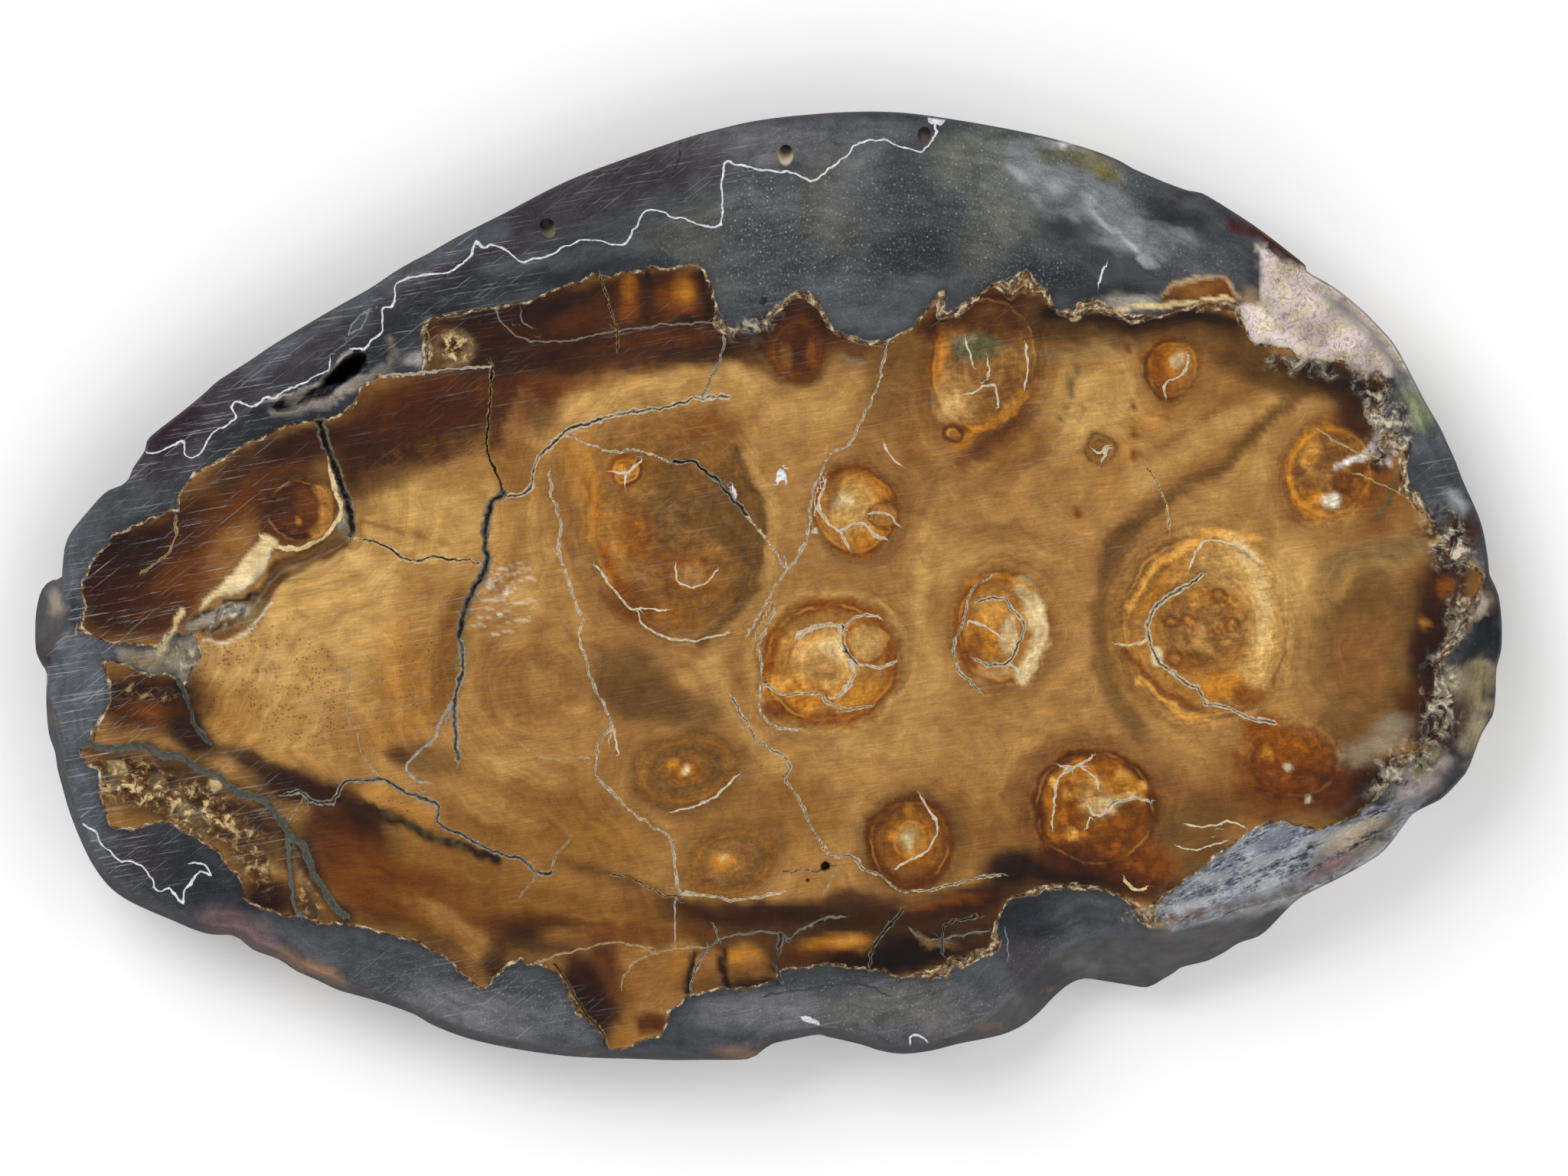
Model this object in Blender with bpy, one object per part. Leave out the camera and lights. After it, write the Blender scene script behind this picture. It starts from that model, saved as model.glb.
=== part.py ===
"""Woolly mammoth tooth slice: one natural slab of fossil tooth, sawn across and polished on one side.

The slab lies on its sawn back. Frame: +X along the slab, +Y across it, +Z out of the polished face,
origin on the surface it lies on, under the middle of its bounding box. Lengths are in metres.

The slab was seen from straight above, and its outline, cracks and worn places were picked by eye
in that picture. Their points stay in picture pixels (x to the right, y down). at() turns one into
a place on the slab, so that LENGTH sets the size of everything.
"""

import math

import bmesh
import bpy
from mathutils import Matrix, Vector, noise

LENGTH = 0.150
THICKNESS = 0.012

# Spacing of the points round the edge, and the rounding where the polished face meets the wall.
WALL_STEP = 0.0014
EDGE_ROUNDING = 0.0003
# A wall that flares out below the face drops this much for each metre that it runs out.
FLARE_SLOPE = 1.15
MOST_FLARE_DROP = 0.0072
# The natural wall: how far its bumps go in, how long they are, and how far it turns in at the back.
WALL_BUMPS = 0.0015
WALL_BUMP_LENGTH = 0.0065
BACK_TURN_IN = 0.0007
# The wall's section. Two points lie between the face's edge and the silhouette: each one's share of the
# way out and of the drop. Three more lie below the widest ring, at these shares of the way down.
ROUNDED_WAY, ROUNDED_DROP = 0.25, 0.6
SHELF_WAY, SHELF_DROP = 0.5, 0.48
SHELF_RIPPLE = 0.3
LOWER_SHARES = (0.30, 0.58, 0.82)
FOOT_PRESS = 0.5
PICKED_LEVELS = 4

# The silhouette, clockwise from the lump at the left end.
LEFT_END = [
    (44, 838), (43.7, 800), (52, 770), (66, 758), (80.5, 755.6), (81, 744), (84, 716), (90, 699),
    (100, 685), (116, 666), (130, 650), (142, 640), (158, 634), (168, 625), (173, 612), (189, 588),
    (191.5, 576), (202, 565),
]
UPPER_EDGE = [
    (220, 551), (240, 535.6), (266, 514), (285, 497), (321, 474), (360, 448), (400, 424), (441, 400),
    (482, 377), (515, 355), (541, 340), (559, 331), (600, 307.6), (661, 277), (720, 246), (770, 224),
    (838, 199.5), (900, 178.6), (940, 168), (979, 159), (1019, 153), (1061, 149), (1100, 146.3),
    (1142, 145.4), (1180, 147), (1214, 151), (1260, 158), (1300, 165), (1341, 173), (1380, 182),
    (1425, 195), (1461, 209), (1480, 220), (1501, 229), (1525, 239), (1553, 249), (1570, 252),
    (1604, 272), (1645, 299), (1688, 332), (1705, 346), (1707, 354),
]
RIGHT_END = [
    (1741, 374), (1765, 392), (1783, 407.6), (1800, 425), (1819, 446), (1833, 469), (1848, 498),
    (1862, 525), (1880, 556), (1890, 577), (1901, 601.5), (1912, 630), (1924, 656), (1933, 678),
    (1939, 700), (1944, 731), (1946, 751), (1952, 763), (1958, 779), (1961, 802), (1962.2, 828),
    (1961, 850), (1955, 874), (1954, 901), (1952, 927), (1947, 940), (1936, 958), (1927, 981),
    (1920, 1000), (1914, 1011), (1898, 1029), (1882, 1044), (1860, 1055), (1845, 1064), (1831, 1082),
    (1815, 1103), (1800, 1118), (1759, 1142), (1717, 1163),
]
FLARED_CORNER = [
    (1696, 1175), (1679, 1191), (1662, 1210), (1646, 1224), (1620, 1233), (1600, 1246), (1578, 1257),
    (1559, 1261.5), (1543, 1266), (1536, 1272), (1519, 1282.5), (1501, 1292), (1474, 1288.6),
    (1441, 1283), (1418, 1280), (1400, 1286), (1386, 1296.5), (1372, 1310), (1360, 1323),
    (1342, 1338), (1323, 1348), (1300, 1355),
]
LOWER_EDGE = [
    (1252, 1364), (1216, 1373), (1180, 1377), (1150, 1373), (1124, 1364.6), (1082, 1355), (1068, 1352),
    (1040, 1357), (1009, 1364), (994, 1374), (976, 1384), (920, 1385), (871, 1385.3), (840, 1384),
    (760, 1381.5), (700, 1375), (644, 1365), (600, 1353.5), (560, 1337), (542, 1326), (500, 1310.6),
    (460, 1299), (442, 1294), (412, 1280), (387, 1269), (363, 1253.5), (330, 1241), (313, 1227),
    (302, 1222), (276, 1221), (253.5, 1215), (223, 1202), (190, 1188), (162, 1174), (140, 1156.5),
    (121, 1131), (109, 1108), (97, 1080), (88, 1055), (81, 1030), (74, 1004), (71, 983), (63, 959),
    (60, 930), (60, 902), (61, 880), (54, 868), (47, 854),
]
SILHOUETTE = LEFT_END + UPPER_EDGE + RIGHT_END + FLARED_CORNER + LOWER_EDGE

# How far the face's edge lies inside the silhouette where nothing else is said.
CLEAN_INSET = 0.00035
LOWER_INSET = 0.0011
# The face's edge beside the lump and along the flared corner, each point under its silhouette point.
LUMP_FACE_EDGE = {
    (60, 902): (63, 902), (61, 880): (64, 880), (54, 868): (63, 868), (47, 854): (63, 855),
    (44, 838): (74, 842), (43.7, 800): (93, 816), (52, 770): (86, 794), (66, 758): (84, 776),
    (80.5, 755.6): (85, 759),
}
CORNER_FACE_EDGE = {
    (1696, 1175): (1690, 1169), (1679, 1191): (1669, 1176), (1662, 1210): (1652, 1180),
    (1646, 1224): (1636, 1184), (1620, 1233): (1614, 1190), (1600, 1246): (1596, 1196),
    (1578, 1257): (1574, 1202), (1559, 1261.5): (1556, 1207), (1543, 1266): (1542, 1211),
    (1536, 1272): (1531, 1213), (1519, 1282.5): (1517, 1215), (1501, 1292): (1500, 1215),
    (1474, 1288.6): (1474, 1214), (1441, 1283): (1446, 1216), (1418, 1280): (1422, 1221),
    (1400, 1286): (1402, 1229), (1386, 1296.5): (1386, 1238), (1372, 1310): (1370, 1249),
    (1360, 1323): (1353, 1263), (1342, 1338): (1335, 1282), (1323, 1348): (1316, 1304),
    (1300, 1355): (1294, 1326),
}
FACE_EDGE = {**LUMP_FACE_EDGE, **CORNER_FACE_EDGE}

# Open cracks in the face: width and depth in metres, then the way each one runs.
CRACKS = {
    "middle_crack": (0.0007, 0.0016, [
        (642, 480), (640, 530), (638, 600), (655, 640), (637, 690), (636, 723), (622, 765), (602, 825),
        (604, 875), (594, 920), (597, 992)]),
    "bow_crack": (0.0005, 0.0012, [
        (656, 643), (688, 642), (696, 618), (722, 580), (768, 551), (812, 540), (893, 527), (946, 518)]),
    "plate_tip_crack": (0.0004, 0.0010, [(915, 522), (932, 486), (946, 452), (944, 436)]),
    "long_crack": (0.0004, 0.0010, [
        (718, 618), (732, 685), (728, 712), (758, 812), (768, 870), (795, 944), (779, 1004),
        (830, 1063), (876, 1097), (886, 1166), (960, 1177), (1022, 1168)]),
    "upright_crack": (0.0004, 0.0009, [
        (1156, 453), (1140, 520), (1110, 578), (1086, 593), (1058, 647), (1052, 695), (1025, 745),
        (978, 826)]),
    "slanting_crack": (0.0005, 0.0010, [
        (741, 569), (857, 598), (906, 604), (946, 632), (973, 665), (1024, 738)]),
    "stone_crack": (0.0004, 0.0009, [(1008, 788), (990, 844), (993, 929), (1036, 952)]),
    "lower_crack": (0.0005, 0.0011, [
        (955, 910), (994, 970), (1030, 1000), (1025, 1025), (1055, 1080), (1085, 1118), (1143, 1143),
        (1170, 1161), (1237, 1157), (1306, 1143)]),
    "lobe_crack": (0.0011, 0.0022, [(417, 552), (428, 592), (441, 632), (454, 662), (452, 690)]),
    "honey_crack": (0.0005, 0.0011, [(452, 694), (491, 706), (536, 730), (594, 731), (622, 735)]),
    "lower_left_crack": (0.0006, 0.0013, [
        (385, 1052), (433, 1044), (470, 1016), (527, 1034), (572, 1056), (603, 1092), (656, 1118),
        (716, 1141)]),
    "groove_to_cavity": (0.0011, 0.0018, [(372, 530), (395, 518), (438, 503)]),
    "stone_arc_left": (0.0005, 0.0009, [(1566, 744), (1512, 792), (1506, 830), (1560, 882), (1602, 908)]),
    "stone_arc_right": (0.0005, 0.0009, [(1284, 776), (1322, 790), (1336, 818), (1326, 850)]),
}
# A groove's width swells and shrinks along it: its share at the two tips, its middle share, and the wave.
TIP_SHARE, MIDDLE_SHARE, WAVE_SHARE, WAVE_STEP = 0.3, 0.8, 0.2, 2.4
# How wide a groove's bottom is, as a share of its width on the face.
KEEL_SHARE = 0.22
CREVICE = (0.0024, 0.0015, [
    (226, 868), (248, 836), (292, 806), (330, 778), (352, 754), (390, 732), (440, 700)])
CAVITY_RIM = [
    (412, 505), (424, 487), (441, 471), (462, 461), (478, 462), (481, 472), (470, 488), (452, 500),
    (430, 508)]
CAVITY_DEPTH = 0.0065
CAVITY_NECK_DEPTH, CAVITY_NECK_SHARE = 0.35, 0.92
CAVITY_FLOOR_SHARE = 0.45

# Small holes drilled aslant from the face out through the wall of the upper edge: middle of the mouth,
# radius, the way each one heads along the slab, and its slant from upright in degrees.
HOLES = [
    ((716, 299), 0.00085, (-0.35, 0.94), 42),
    ((1026, 204), 0.00082, (0.05, 1.0), 46),
    ((1207, 176), 0.00068, (0.1, 1.0), 36),
]
HOLE_LENGTH = 0.012
# A shallow round pit in the face: middle, radius and depth.
SHALLOW_PIT = ((998, 393), 0.00045, 0.0012)
HOLE_SIDES = 14

# Places where the face is worn or broken away: centre, reach along and across, turn in degrees, depth.
WORN_PLACES = {
    "upper_right": [
        (1690, 385, 60, 34, 40, 0.0012), (1752, 425, 66, 36, 42, 0.0020), (1806, 470, 58, 34, 52, 0.0022),
        (1668, 322, 34, 13, 38, 0.0009)],
    "lower_right": [
        (1800, 1095, 84, 40, -36, 0.0030), (1730, 1130, 84, 38, -30, 0.0034),
        (1655, 1140, 80, 40, -32, 0.0026), (1578, 1172, 62, 30, -24, 0.0018),
        (1880, 1010, 62, 40, -52, 0.0016)],
    "right_edge": [(1948, 905, 62, 34, 88, 0.0013), (1950, 800, 50, 22, 80, 0.0010)],
}
WORN_GRID_STEP = 0.0019
WORN_ROUGHNESS = 0.0005
# A worn place reaches this many times its size, its grain is this fine (bumps for each metre), it fades in
# this fast from its border, and it starts this share of CLEAR_ABOVE higher.
WORN_REACH, WORN_GRAIN, WORN_FADE, WORN_LIFT = 1.5, 700, 3, 0.3
CLEAR_ABOVE = 0.0006
BLOCK_REACH = 1.6
LID_HEIGHT = THICKNESS * 1.5

# Finish of the whole slab.
HONEY = (0.36, 0.18, 0.06, 1.0)
POLISHED_ROUGHNESS = 0.35


def clear_scene():
    for obj in list(bpy.data.objects):
        bpy.data.objects.remove(obj, do_unlink=True)


LEFTMOST = min(x for x, _ in SILHOUETTE)
RIGHTMOST = max(x for x, _ in SILHOUETTE)
HIGHEST = min(y for _, y in SILHOUETTE)
LOWEST = max(y for _, y in SILHOUETTE)
M_PER_PX = LENGTH / (RIGHTMOST - LEFTMOST)


def at(x, y):
    """The place on the slab of a picture point."""
    middle_x = (LEFTMOST + RIGHTMOST) / 2
    middle_y = (HIGHEST + LOWEST) / 2
    return Vector(((x - middle_x) * M_PER_PX, (middle_y - y) * M_PER_PX))


def curve_point(before, start, end, after, share):
    """A point on the smooth curve from start to end, by Catmull and Rom's rule."""
    bend = 2 * before - 5 * start + 4 * end - after
    twist = 3 * start - before - 3 * end + after
    return start + 0.5 * share * (end - before + share * (bend + share * twist))


def smooth_pairs(outer, inner, step):
    """Both closed curves through their points, with the same number of points, about step apart."""
    pairs = []
    count = len(outer)
    for i in range(count):
        around = [(i + k) % count for k in (-1, 0, 1, 2)]
        parts = max(1, round((outer[around[2]] - outer[i]).length / step))
        for part in range(parts):
            share = part / parts
            on_outer = curve_point(*(outer[k] for k in around), share)
            on_inner = curve_point(*(inner[k] for k in around), share)
            pairs.append((on_outer, on_inner))
    return pairs


def inward_normals(points):
    """The direction into the slab at each point of a clockwise outline, smoothed over its neighbours."""
    count = len(points)
    normals = []
    for i in range(count):
        along = points[(i + 2) % count] - points[i - 2]
        normals.append(Vector((along.y, -along.x)).normalized())
    return normals


def face_edge_points():
    """The edge of the polished face, one point for each point of the silhouette."""
    outer = [at(*point) for point in SILHOUETTE]
    inner = []
    for point, place, inward in zip(SILHOUETTE, outer, inward_normals(outer)):
        if point in FACE_EDGE:
            inner.append(at(*FACE_EDGE[point]))
        else:
            inset = LOWER_INSET if point in LOWER_EDGE else CLEAN_INSET
            inner.append(place + inward * inset)
    return outer, inner


def wall_bump(x, y, z):
    """0 to 1: how far the natural wall is pressed in at a place."""
    where = Vector((x, y, z * 1.6)) / WALL_BUMP_LENGTH
    return min(1.0, max(0.0, 0.45 + 0.55 * noise.fractal(where, 0.9, 2.1, 4)))


def wall_levels(outer, inner, inward):
    """The points of the wall at one place of the edge, from the polished face down to the back."""
    run = (outer - inner).length
    drop = min(MOST_FLARE_DROP, EDGE_ROUNDING * 2 + FLARE_SLOPE * max(0.0, run - CLEAN_INSET))
    shelf = inner.lerp(outer, SHELF_WAY)
    ripple = SHELF_RIPPLE * run * (wall_bump(shelf.x, shelf.y, 0.0) - 0.5)
    levels = [
        (inner, THICKNESS),
        (inner.lerp(outer, ROUNDED_WAY), THICKNESS - EDGE_ROUNDING * ROUNDED_DROP),
        (shelf, THICKNESS - drop * SHELF_DROP - max(0.0, ripple)),
        (outer, THICKNESS - drop),
    ]
    lowest = THICKNESS - drop
    for share in LOWER_SHARES:
        z = lowest * (1 - share)
        press = WALL_BUMPS * wall_bump(outer.x, outer.y, z)
        levels.append((outer + inward * (press + BACK_TURN_IN * share ** 3), z))
    levels.append((outer + inward * (BACK_TURN_IN + FOOT_PRESS * WALL_BUMPS), 0.0))
    return levels


def evened(points):
    """The outline with each point drawn to its neighbours, which undoes any fold of an inward step."""
    count = len(points)
    return [(points[i - 1] + points[i] * 2 + points[(i + 1) % count]) / 4 for i in range(count)]


def make_slab():
    """The whole slab before anything is cut: a stack of rings, each bridged to the next and capped."""
    outer_points, inner_points = face_edge_points()
    pairs = smooth_pairs(outer_points, inner_points, WALL_STEP)
    normals = inward_normals([outer for outer, _ in pairs])
    columns = [wall_levels(outer, inner, inward) for (outer, inner), inward in zip(pairs, normals)]
    level_count = len(columns[0])

    bm = bmesh.new()
    rings = []
    for level in range(level_count):
        flat = [column[level][0] for column in columns]
        if level >= PICKED_LEVELS:
            flat = evened(evened(flat))
        heights = [column[level][1] for column in columns]
        verts = [bm.verts.new((p.x, p.y, z)) for p, z in zip(flat, heights)]
        rings.append([bm.edges.new((verts[i - 1], verts[i])) for i in range(len(verts))])
    for upper, lower in zip(rings, rings[1:]):
        bmesh.ops.bridge_loops(bm, edges=upper + lower)
    bmesh.ops.triangle_fill(bm, edges=rings[0], use_beauty=True)
    bmesh.ops.triangle_fill(bm, edges=rings[-1], use_beauty=True)
    bmesh.ops.recalc_face_normals(bm, faces=bm.faces)
    return object_from(bm, "tooth_slice")


def object_from(bm, name):
    mesh = bpy.data.meshes.new(name)
    bmesh.ops.triangulate(bm, faces=bm.faces)
    bm.to_mesh(mesh)
    bm.free()
    obj = bpy.data.objects.new(name, mesh)
    bpy.context.scene.collection.objects.link(obj)
    return obj


def cut(body, bm, name):
    """Cuts the closed shape in bm out of body."""
    bmesh.ops.recalc_face_normals(bm, faces=bm.faces)
    cutter = object_from(bm, name)
    cutter.hide_render = True
    cutter.display_type = "WIRE"
    boolean = body.modifiers.new(name, "BOOLEAN")
    boolean.operation = "DIFFERENCE"
    boolean.solver = "EXACT"
    boolean.object = cutter


def groove_sides(points, width):
    """The left and right edges of a groove along points, drawn in to a narrow tip at both ends."""
    left, right = [], []
    last = len(points) - 1
    for i, point in enumerate(points):
        along = (points[min(i + 1, last)] - points[max(i - 1, 0)]).normalized()
        across = Vector((-along.y, along.x))
        wave = MIDDLE_SHARE + WAVE_SHARE * math.sin(WAVE_STEP * i)
        half = width / 2 * (TIP_SHARE if i in (0, last) else wave)
        left.append(point + across * half)
        right.append(point - across * half)
    return left, right


def groove_cutter(width, depth, way):
    """A wedge that runs along a crack: its outline on the face, extruded down and pinched to a keel."""
    points = [at(*point) for point in way]
    left, right = groove_sides(points, width)
    keel = list(points) + list(reversed(points))
    bm = bmesh.new()
    rim = [bm.verts.new((p.x, p.y, THICKNESS + CLEAR_ABOVE)) for p in left + list(reversed(right))]
    top = bm.faces.new(rim)
    extruded = bmesh.ops.extrude_face_region(bm, geom=[top])["geom"]
    lowered = [v for v in extruded if isinstance(v, bmesh.types.BMVert)]
    for vert in lowered:
        nearest = min(keel, key=lambda p: (p - vert.co.xy).length)
        vert.co.xy = nearest.lerp(vert.co.xy, KEEL_SHARE)
        vert.co.z = THICKNESS - depth
    return bm


def cavity_cutter():
    """The open hollow near the upper left edge, narrowing as it goes down."""
    rim_points = [at(*point) for point in CAVITY_RIM]
    middle = sum(rim_points, Vector((0, 0))) / len(rim_points)
    bm = bmesh.new()
    rim = [bm.verts.new((p.x, p.y, THICKNESS + CLEAR_ABOVE)) for p in rim_points]
    face = bm.faces.new(rim)
    neck = (CAVITY_NECK_SHARE, CAVITY_DEPTH * CAVITY_NECK_DEPTH)
    for share, depth in (neck, (CAVITY_FLOOR_SHARE, CAVITY_DEPTH)):
        face = bmesh.ops.extrude_discrete_faces(bm, faces=[face])["faces"][0]
        for vert, point in zip(face.verts, rim_points):
            vert.co.xy = middle.lerp(point, share)
            vert.co.z = THICKNESS - depth
    bmesh.ops.holes_fill(bm, edges=bm.edges)
    return bm


def hole_cutter(centre, radius, heading, slant, depth):
    """A drill's path: a round bar through the face that heads sideways as it goes down."""
    place = at(*centre)
    bm = bmesh.new()
    bmesh.ops.create_cone(
        bm, cap_ends=True, segments=HOLE_SIDES, radius1=radius, radius2=radius, depth=depth * 2)
    turn_axis = Vector((heading[1], -heading[0], 0))
    turn = Matrix.Rotation(math.radians(slant), 4, turn_axis)
    mouth = Matrix.Translation((place.x, place.y, THICKNESS))
    bmesh.ops.transform(bm, matrix=mouth @ turn, verts=bm.verts)
    return bm


def worn_depth(x, y, places):
    """How deep the face is worn at a place: below zero outside all of them."""
    deepest = -CLEAR_ABOVE
    for centre_x, centre_y, along, across, turn, depth in places:
        centre = at(centre_x, centre_y)
        offset = Vector((x, y)) - centre
        angle = math.radians(-turn)
        run = (offset.x * math.cos(angle) + offset.y * math.sin(angle)) / (along * M_PER_PX)
        side = (-offset.x * math.sin(angle) + offset.y * math.cos(angle)) / (across * M_PER_PX)
        reach = 1.0 - math.hypot(run, side) / WORN_REACH
        if reach > 0:
            worn = depth * WORN_REACH * reach
            grain = noise.noise(Vector((x, y, 0)) * WORN_GRAIN)
            worn += WORN_ROUGHNESS * grain * min(1.0, WORN_FADE * reach)
            deepest = max(deepest, worn - CLEAR_ABOVE * WORN_LIFT)
    return deepest


def worn_cutter(places):
    """A block over the worn places, whose underside dips into the face where it is worn."""
    reach = BLOCK_REACH * M_PER_PX
    lows = [at(x, y) - Vector((r, r)) * reach for x, y, r, *_ in places]
    highs = [at(x, y) + Vector((r, r)) * reach for x, y, r, *_ in places]
    low = Vector((min(p.x for p in lows), min(p.y for p in lows)))
    high = Vector((max(p.x for p in highs), max(p.y for p in highs)))
    size = high - low
    bm = bmesh.new()
    bmesh.ops.create_grid(
        bm, x_segments=round(size.x / WORN_GRID_STEP), y_segments=round(size.y / WORN_GRID_STEP), size=0.5)
    placed = Matrix.Translation(((low.x + high.x) / 2, (low.y + high.y) / 2, 0))
    bmesh.ops.transform(bm, matrix=placed @ Matrix.Diagonal((size.x, size.y, 1, 1)), verts=bm.verts)
    for vert in bm.verts:
        vert.co.z = THICKNESS - worn_depth(vert.co.x, vert.co.y, places)
    rim = [edge for edge in bm.edges if edge.is_boundary]
    raised = bmesh.ops.extrude_edge_only(bm, edges=rim)["geom"]
    for vert in (v for v in raised if isinstance(v, bmesh.types.BMVert)):
        vert.co.z = LID_HEIGHT
    lid = [edge for edge in bm.edges if edge.is_boundary]
    bmesh.ops.triangle_fill(bm, edges=lid, use_beauty=True)
    return bm


def tooth_finish():
    material = bpy.data.materials.new("polished_fossil_tooth")
    material.use_nodes = True
    shader = material.node_tree.nodes["Principled BSDF"]
    shader.inputs["Base Color"].default_value = HONEY
    shader.inputs["Roughness"].default_value = POLISHED_ROUGHNESS
    shader.inputs["Metallic"].default_value = 0.0
    return material


def main():
    clear_scene()
    slab = make_slab()
    for name, places in WORN_PLACES.items():
        cut(slab, worn_cutter(places), "worn_" + name)
    for name, (width, depth, way) in CRACKS.items():
        cut(slab, groove_cutter(width, depth, way), name)
    cut(slab, groove_cutter(*CREVICE), "crevice")
    cut(slab, cavity_cutter(), "cavity")
    for number, (centre, radius, heading, slant) in enumerate(HOLES, 1):
        cut(slab, hole_cutter(centre, radius, heading, slant, HOLE_LENGTH), f"drilled_hole_{number}")
    pit_centre, pit_radius, pit_depth = SHALLOW_PIT
    cut(slab, hole_cutter(pit_centre, pit_radius, (0, 1), 0, pit_depth), "shallow_pit")
    slab.data.materials.append(tooth_finish())
    slab.data.shade_smooth()
    slab.data.set_sharp_from_angle(angle=math.radians(32))


main()
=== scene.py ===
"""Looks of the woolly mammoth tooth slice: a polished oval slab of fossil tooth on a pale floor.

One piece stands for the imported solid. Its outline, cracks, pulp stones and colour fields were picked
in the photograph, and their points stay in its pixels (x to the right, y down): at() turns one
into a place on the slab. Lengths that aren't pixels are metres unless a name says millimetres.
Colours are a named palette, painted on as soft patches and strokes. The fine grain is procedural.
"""

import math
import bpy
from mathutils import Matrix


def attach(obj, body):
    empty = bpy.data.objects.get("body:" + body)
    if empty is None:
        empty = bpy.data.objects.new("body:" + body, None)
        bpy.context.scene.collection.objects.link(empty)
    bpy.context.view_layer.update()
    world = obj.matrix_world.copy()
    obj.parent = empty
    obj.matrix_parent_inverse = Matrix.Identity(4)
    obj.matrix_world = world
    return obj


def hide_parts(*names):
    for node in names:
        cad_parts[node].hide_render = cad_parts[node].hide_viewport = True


bl_info = {
    "name": "Mammoth Tooth Slice",
    "version": (1, 0, 0),
    "blender": (4, 5, 0),
    "location": "3D View > Sidebar > Tooth Slice",
    "description": "Builds the polished tooth slab and the stage around it",
    "category": "Object",
}

import bmesh
import bpy
import numpy as np
from mathutils import Matrix, Vector, noise

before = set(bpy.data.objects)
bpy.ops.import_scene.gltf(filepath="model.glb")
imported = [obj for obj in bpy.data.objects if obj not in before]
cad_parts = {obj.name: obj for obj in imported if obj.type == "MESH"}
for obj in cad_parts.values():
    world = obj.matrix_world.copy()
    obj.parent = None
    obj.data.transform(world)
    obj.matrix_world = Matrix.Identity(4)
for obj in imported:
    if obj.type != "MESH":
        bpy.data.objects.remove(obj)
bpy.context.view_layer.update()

PHOTO_WIDTH, PHOTO_HEIGHT = 2048, 1536
LENGTH = 0.150
THICKNESS = 0.012
EDGE_ROUNDING = 0.0003
FLARE_SLOPE = 1.15
MOST_FLARE_DROP = 0.0072
WALL_BUMPS = 0.0015
WALL_BUMP_LENGTH = 0.0065
BACK_TURN_IN = 0.0007
CLEAN_INSET = 0.00035
LOWER_INSET = 0.0011

# The silhouette, clockwise from the lump at the left end.
LEFT_END = [
    (44, 838), (43.7, 800), (52, 770), (66, 758), (80.5, 755.6), (81, 744), (84, 716), (90, 699),
    (100, 685), (116, 666), (130, 650), (142, 640), (158, 634), (168, 625), (173, 612), (189, 588),
    (191.5, 576), (202, 565),
]
UPPER_EDGE = [
    (220, 551), (240, 535.6), (266, 514), (285, 497), (321, 474), (360, 448), (400, 424), (441, 400),
    (482, 377), (515, 355), (541, 340), (559, 331), (600, 307.6), (661, 277), (720, 246), (770, 224),
    (838, 199.5), (900, 178.6), (940, 168), (979, 159), (1019, 153), (1061, 149), (1100, 146.3),
    (1142, 145.4), (1180, 147), (1214, 151), (1260, 158), (1300, 165), (1341, 173), (1380, 182),
    (1425, 195), (1461, 209), (1480, 220), (1501, 229), (1525, 239), (1553, 249), (1570, 252),
    (1604, 272), (1645, 299), (1688, 332), (1705, 346), (1707, 354),
]
RIGHT_END = [
    (1741, 374), (1765, 392), (1783, 407.6), (1800, 425), (1819, 446), (1833, 469), (1848, 498),
    (1862, 525), (1880, 556), (1890, 577), (1901, 601.5), (1912, 630), (1924, 656), (1933, 678),
    (1939, 700), (1944, 731), (1946, 751), (1952, 763), (1958, 779), (1961, 802), (1962.2, 828),
    (1961, 850), (1955, 874), (1954, 901), (1952, 927), (1947, 940), (1936, 958), (1927, 981),
    (1920, 1000), (1914, 1011), (1898, 1029), (1882, 1044), (1860, 1055), (1845, 1064), (1831, 1082),
    (1815, 1103), (1800, 1118), (1759, 1142), (1717, 1163),
]
FLARED_CORNER = [
    (1696, 1175), (1679, 1191), (1662, 1210), (1646, 1224), (1620, 1233), (1600, 1246), (1578, 1257),
    (1559, 1261.5), (1543, 1266), (1536, 1272), (1519, 1282.5), (1501, 1292), (1474, 1288.6),
    (1441, 1283), (1418, 1280), (1400, 1286), (1386, 1296.5), (1372, 1310), (1360, 1323),
    (1342, 1338), (1323, 1348), (1300, 1355),
]
LOWER_EDGE = [
    (1252, 1364), (1216, 1373), (1180, 1377), (1150, 1373), (1124, 1364.6), (1082, 1355), (1068, 1352),
    (1040, 1357), (1009, 1364), (994, 1374), (976, 1384), (920, 1385), (871, 1385.3), (840, 1384),
    (760, 1381.5), (700, 1375), (644, 1365), (600, 1353.5), (560, 1337), (542, 1326), (500, 1310.6),
    (460, 1299), (442, 1294), (412, 1280), (387, 1269), (363, 1253.5), (330, 1241), (313, 1227),
    (302, 1222), (276, 1221), (253.5, 1215), (223, 1202), (190, 1188), (162, 1174), (140, 1156.5),
    (121, 1131), (109, 1108), (97, 1080), (88, 1055), (81, 1030), (74, 1004), (71, 983), (63, 959),
    (60, 930), (60, 902), (61, 880), (54, 868), (47, 854),
]
SILHOUETTE = LEFT_END + UPPER_EDGE + RIGHT_END + FLARED_CORNER + LOWER_EDGE

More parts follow.
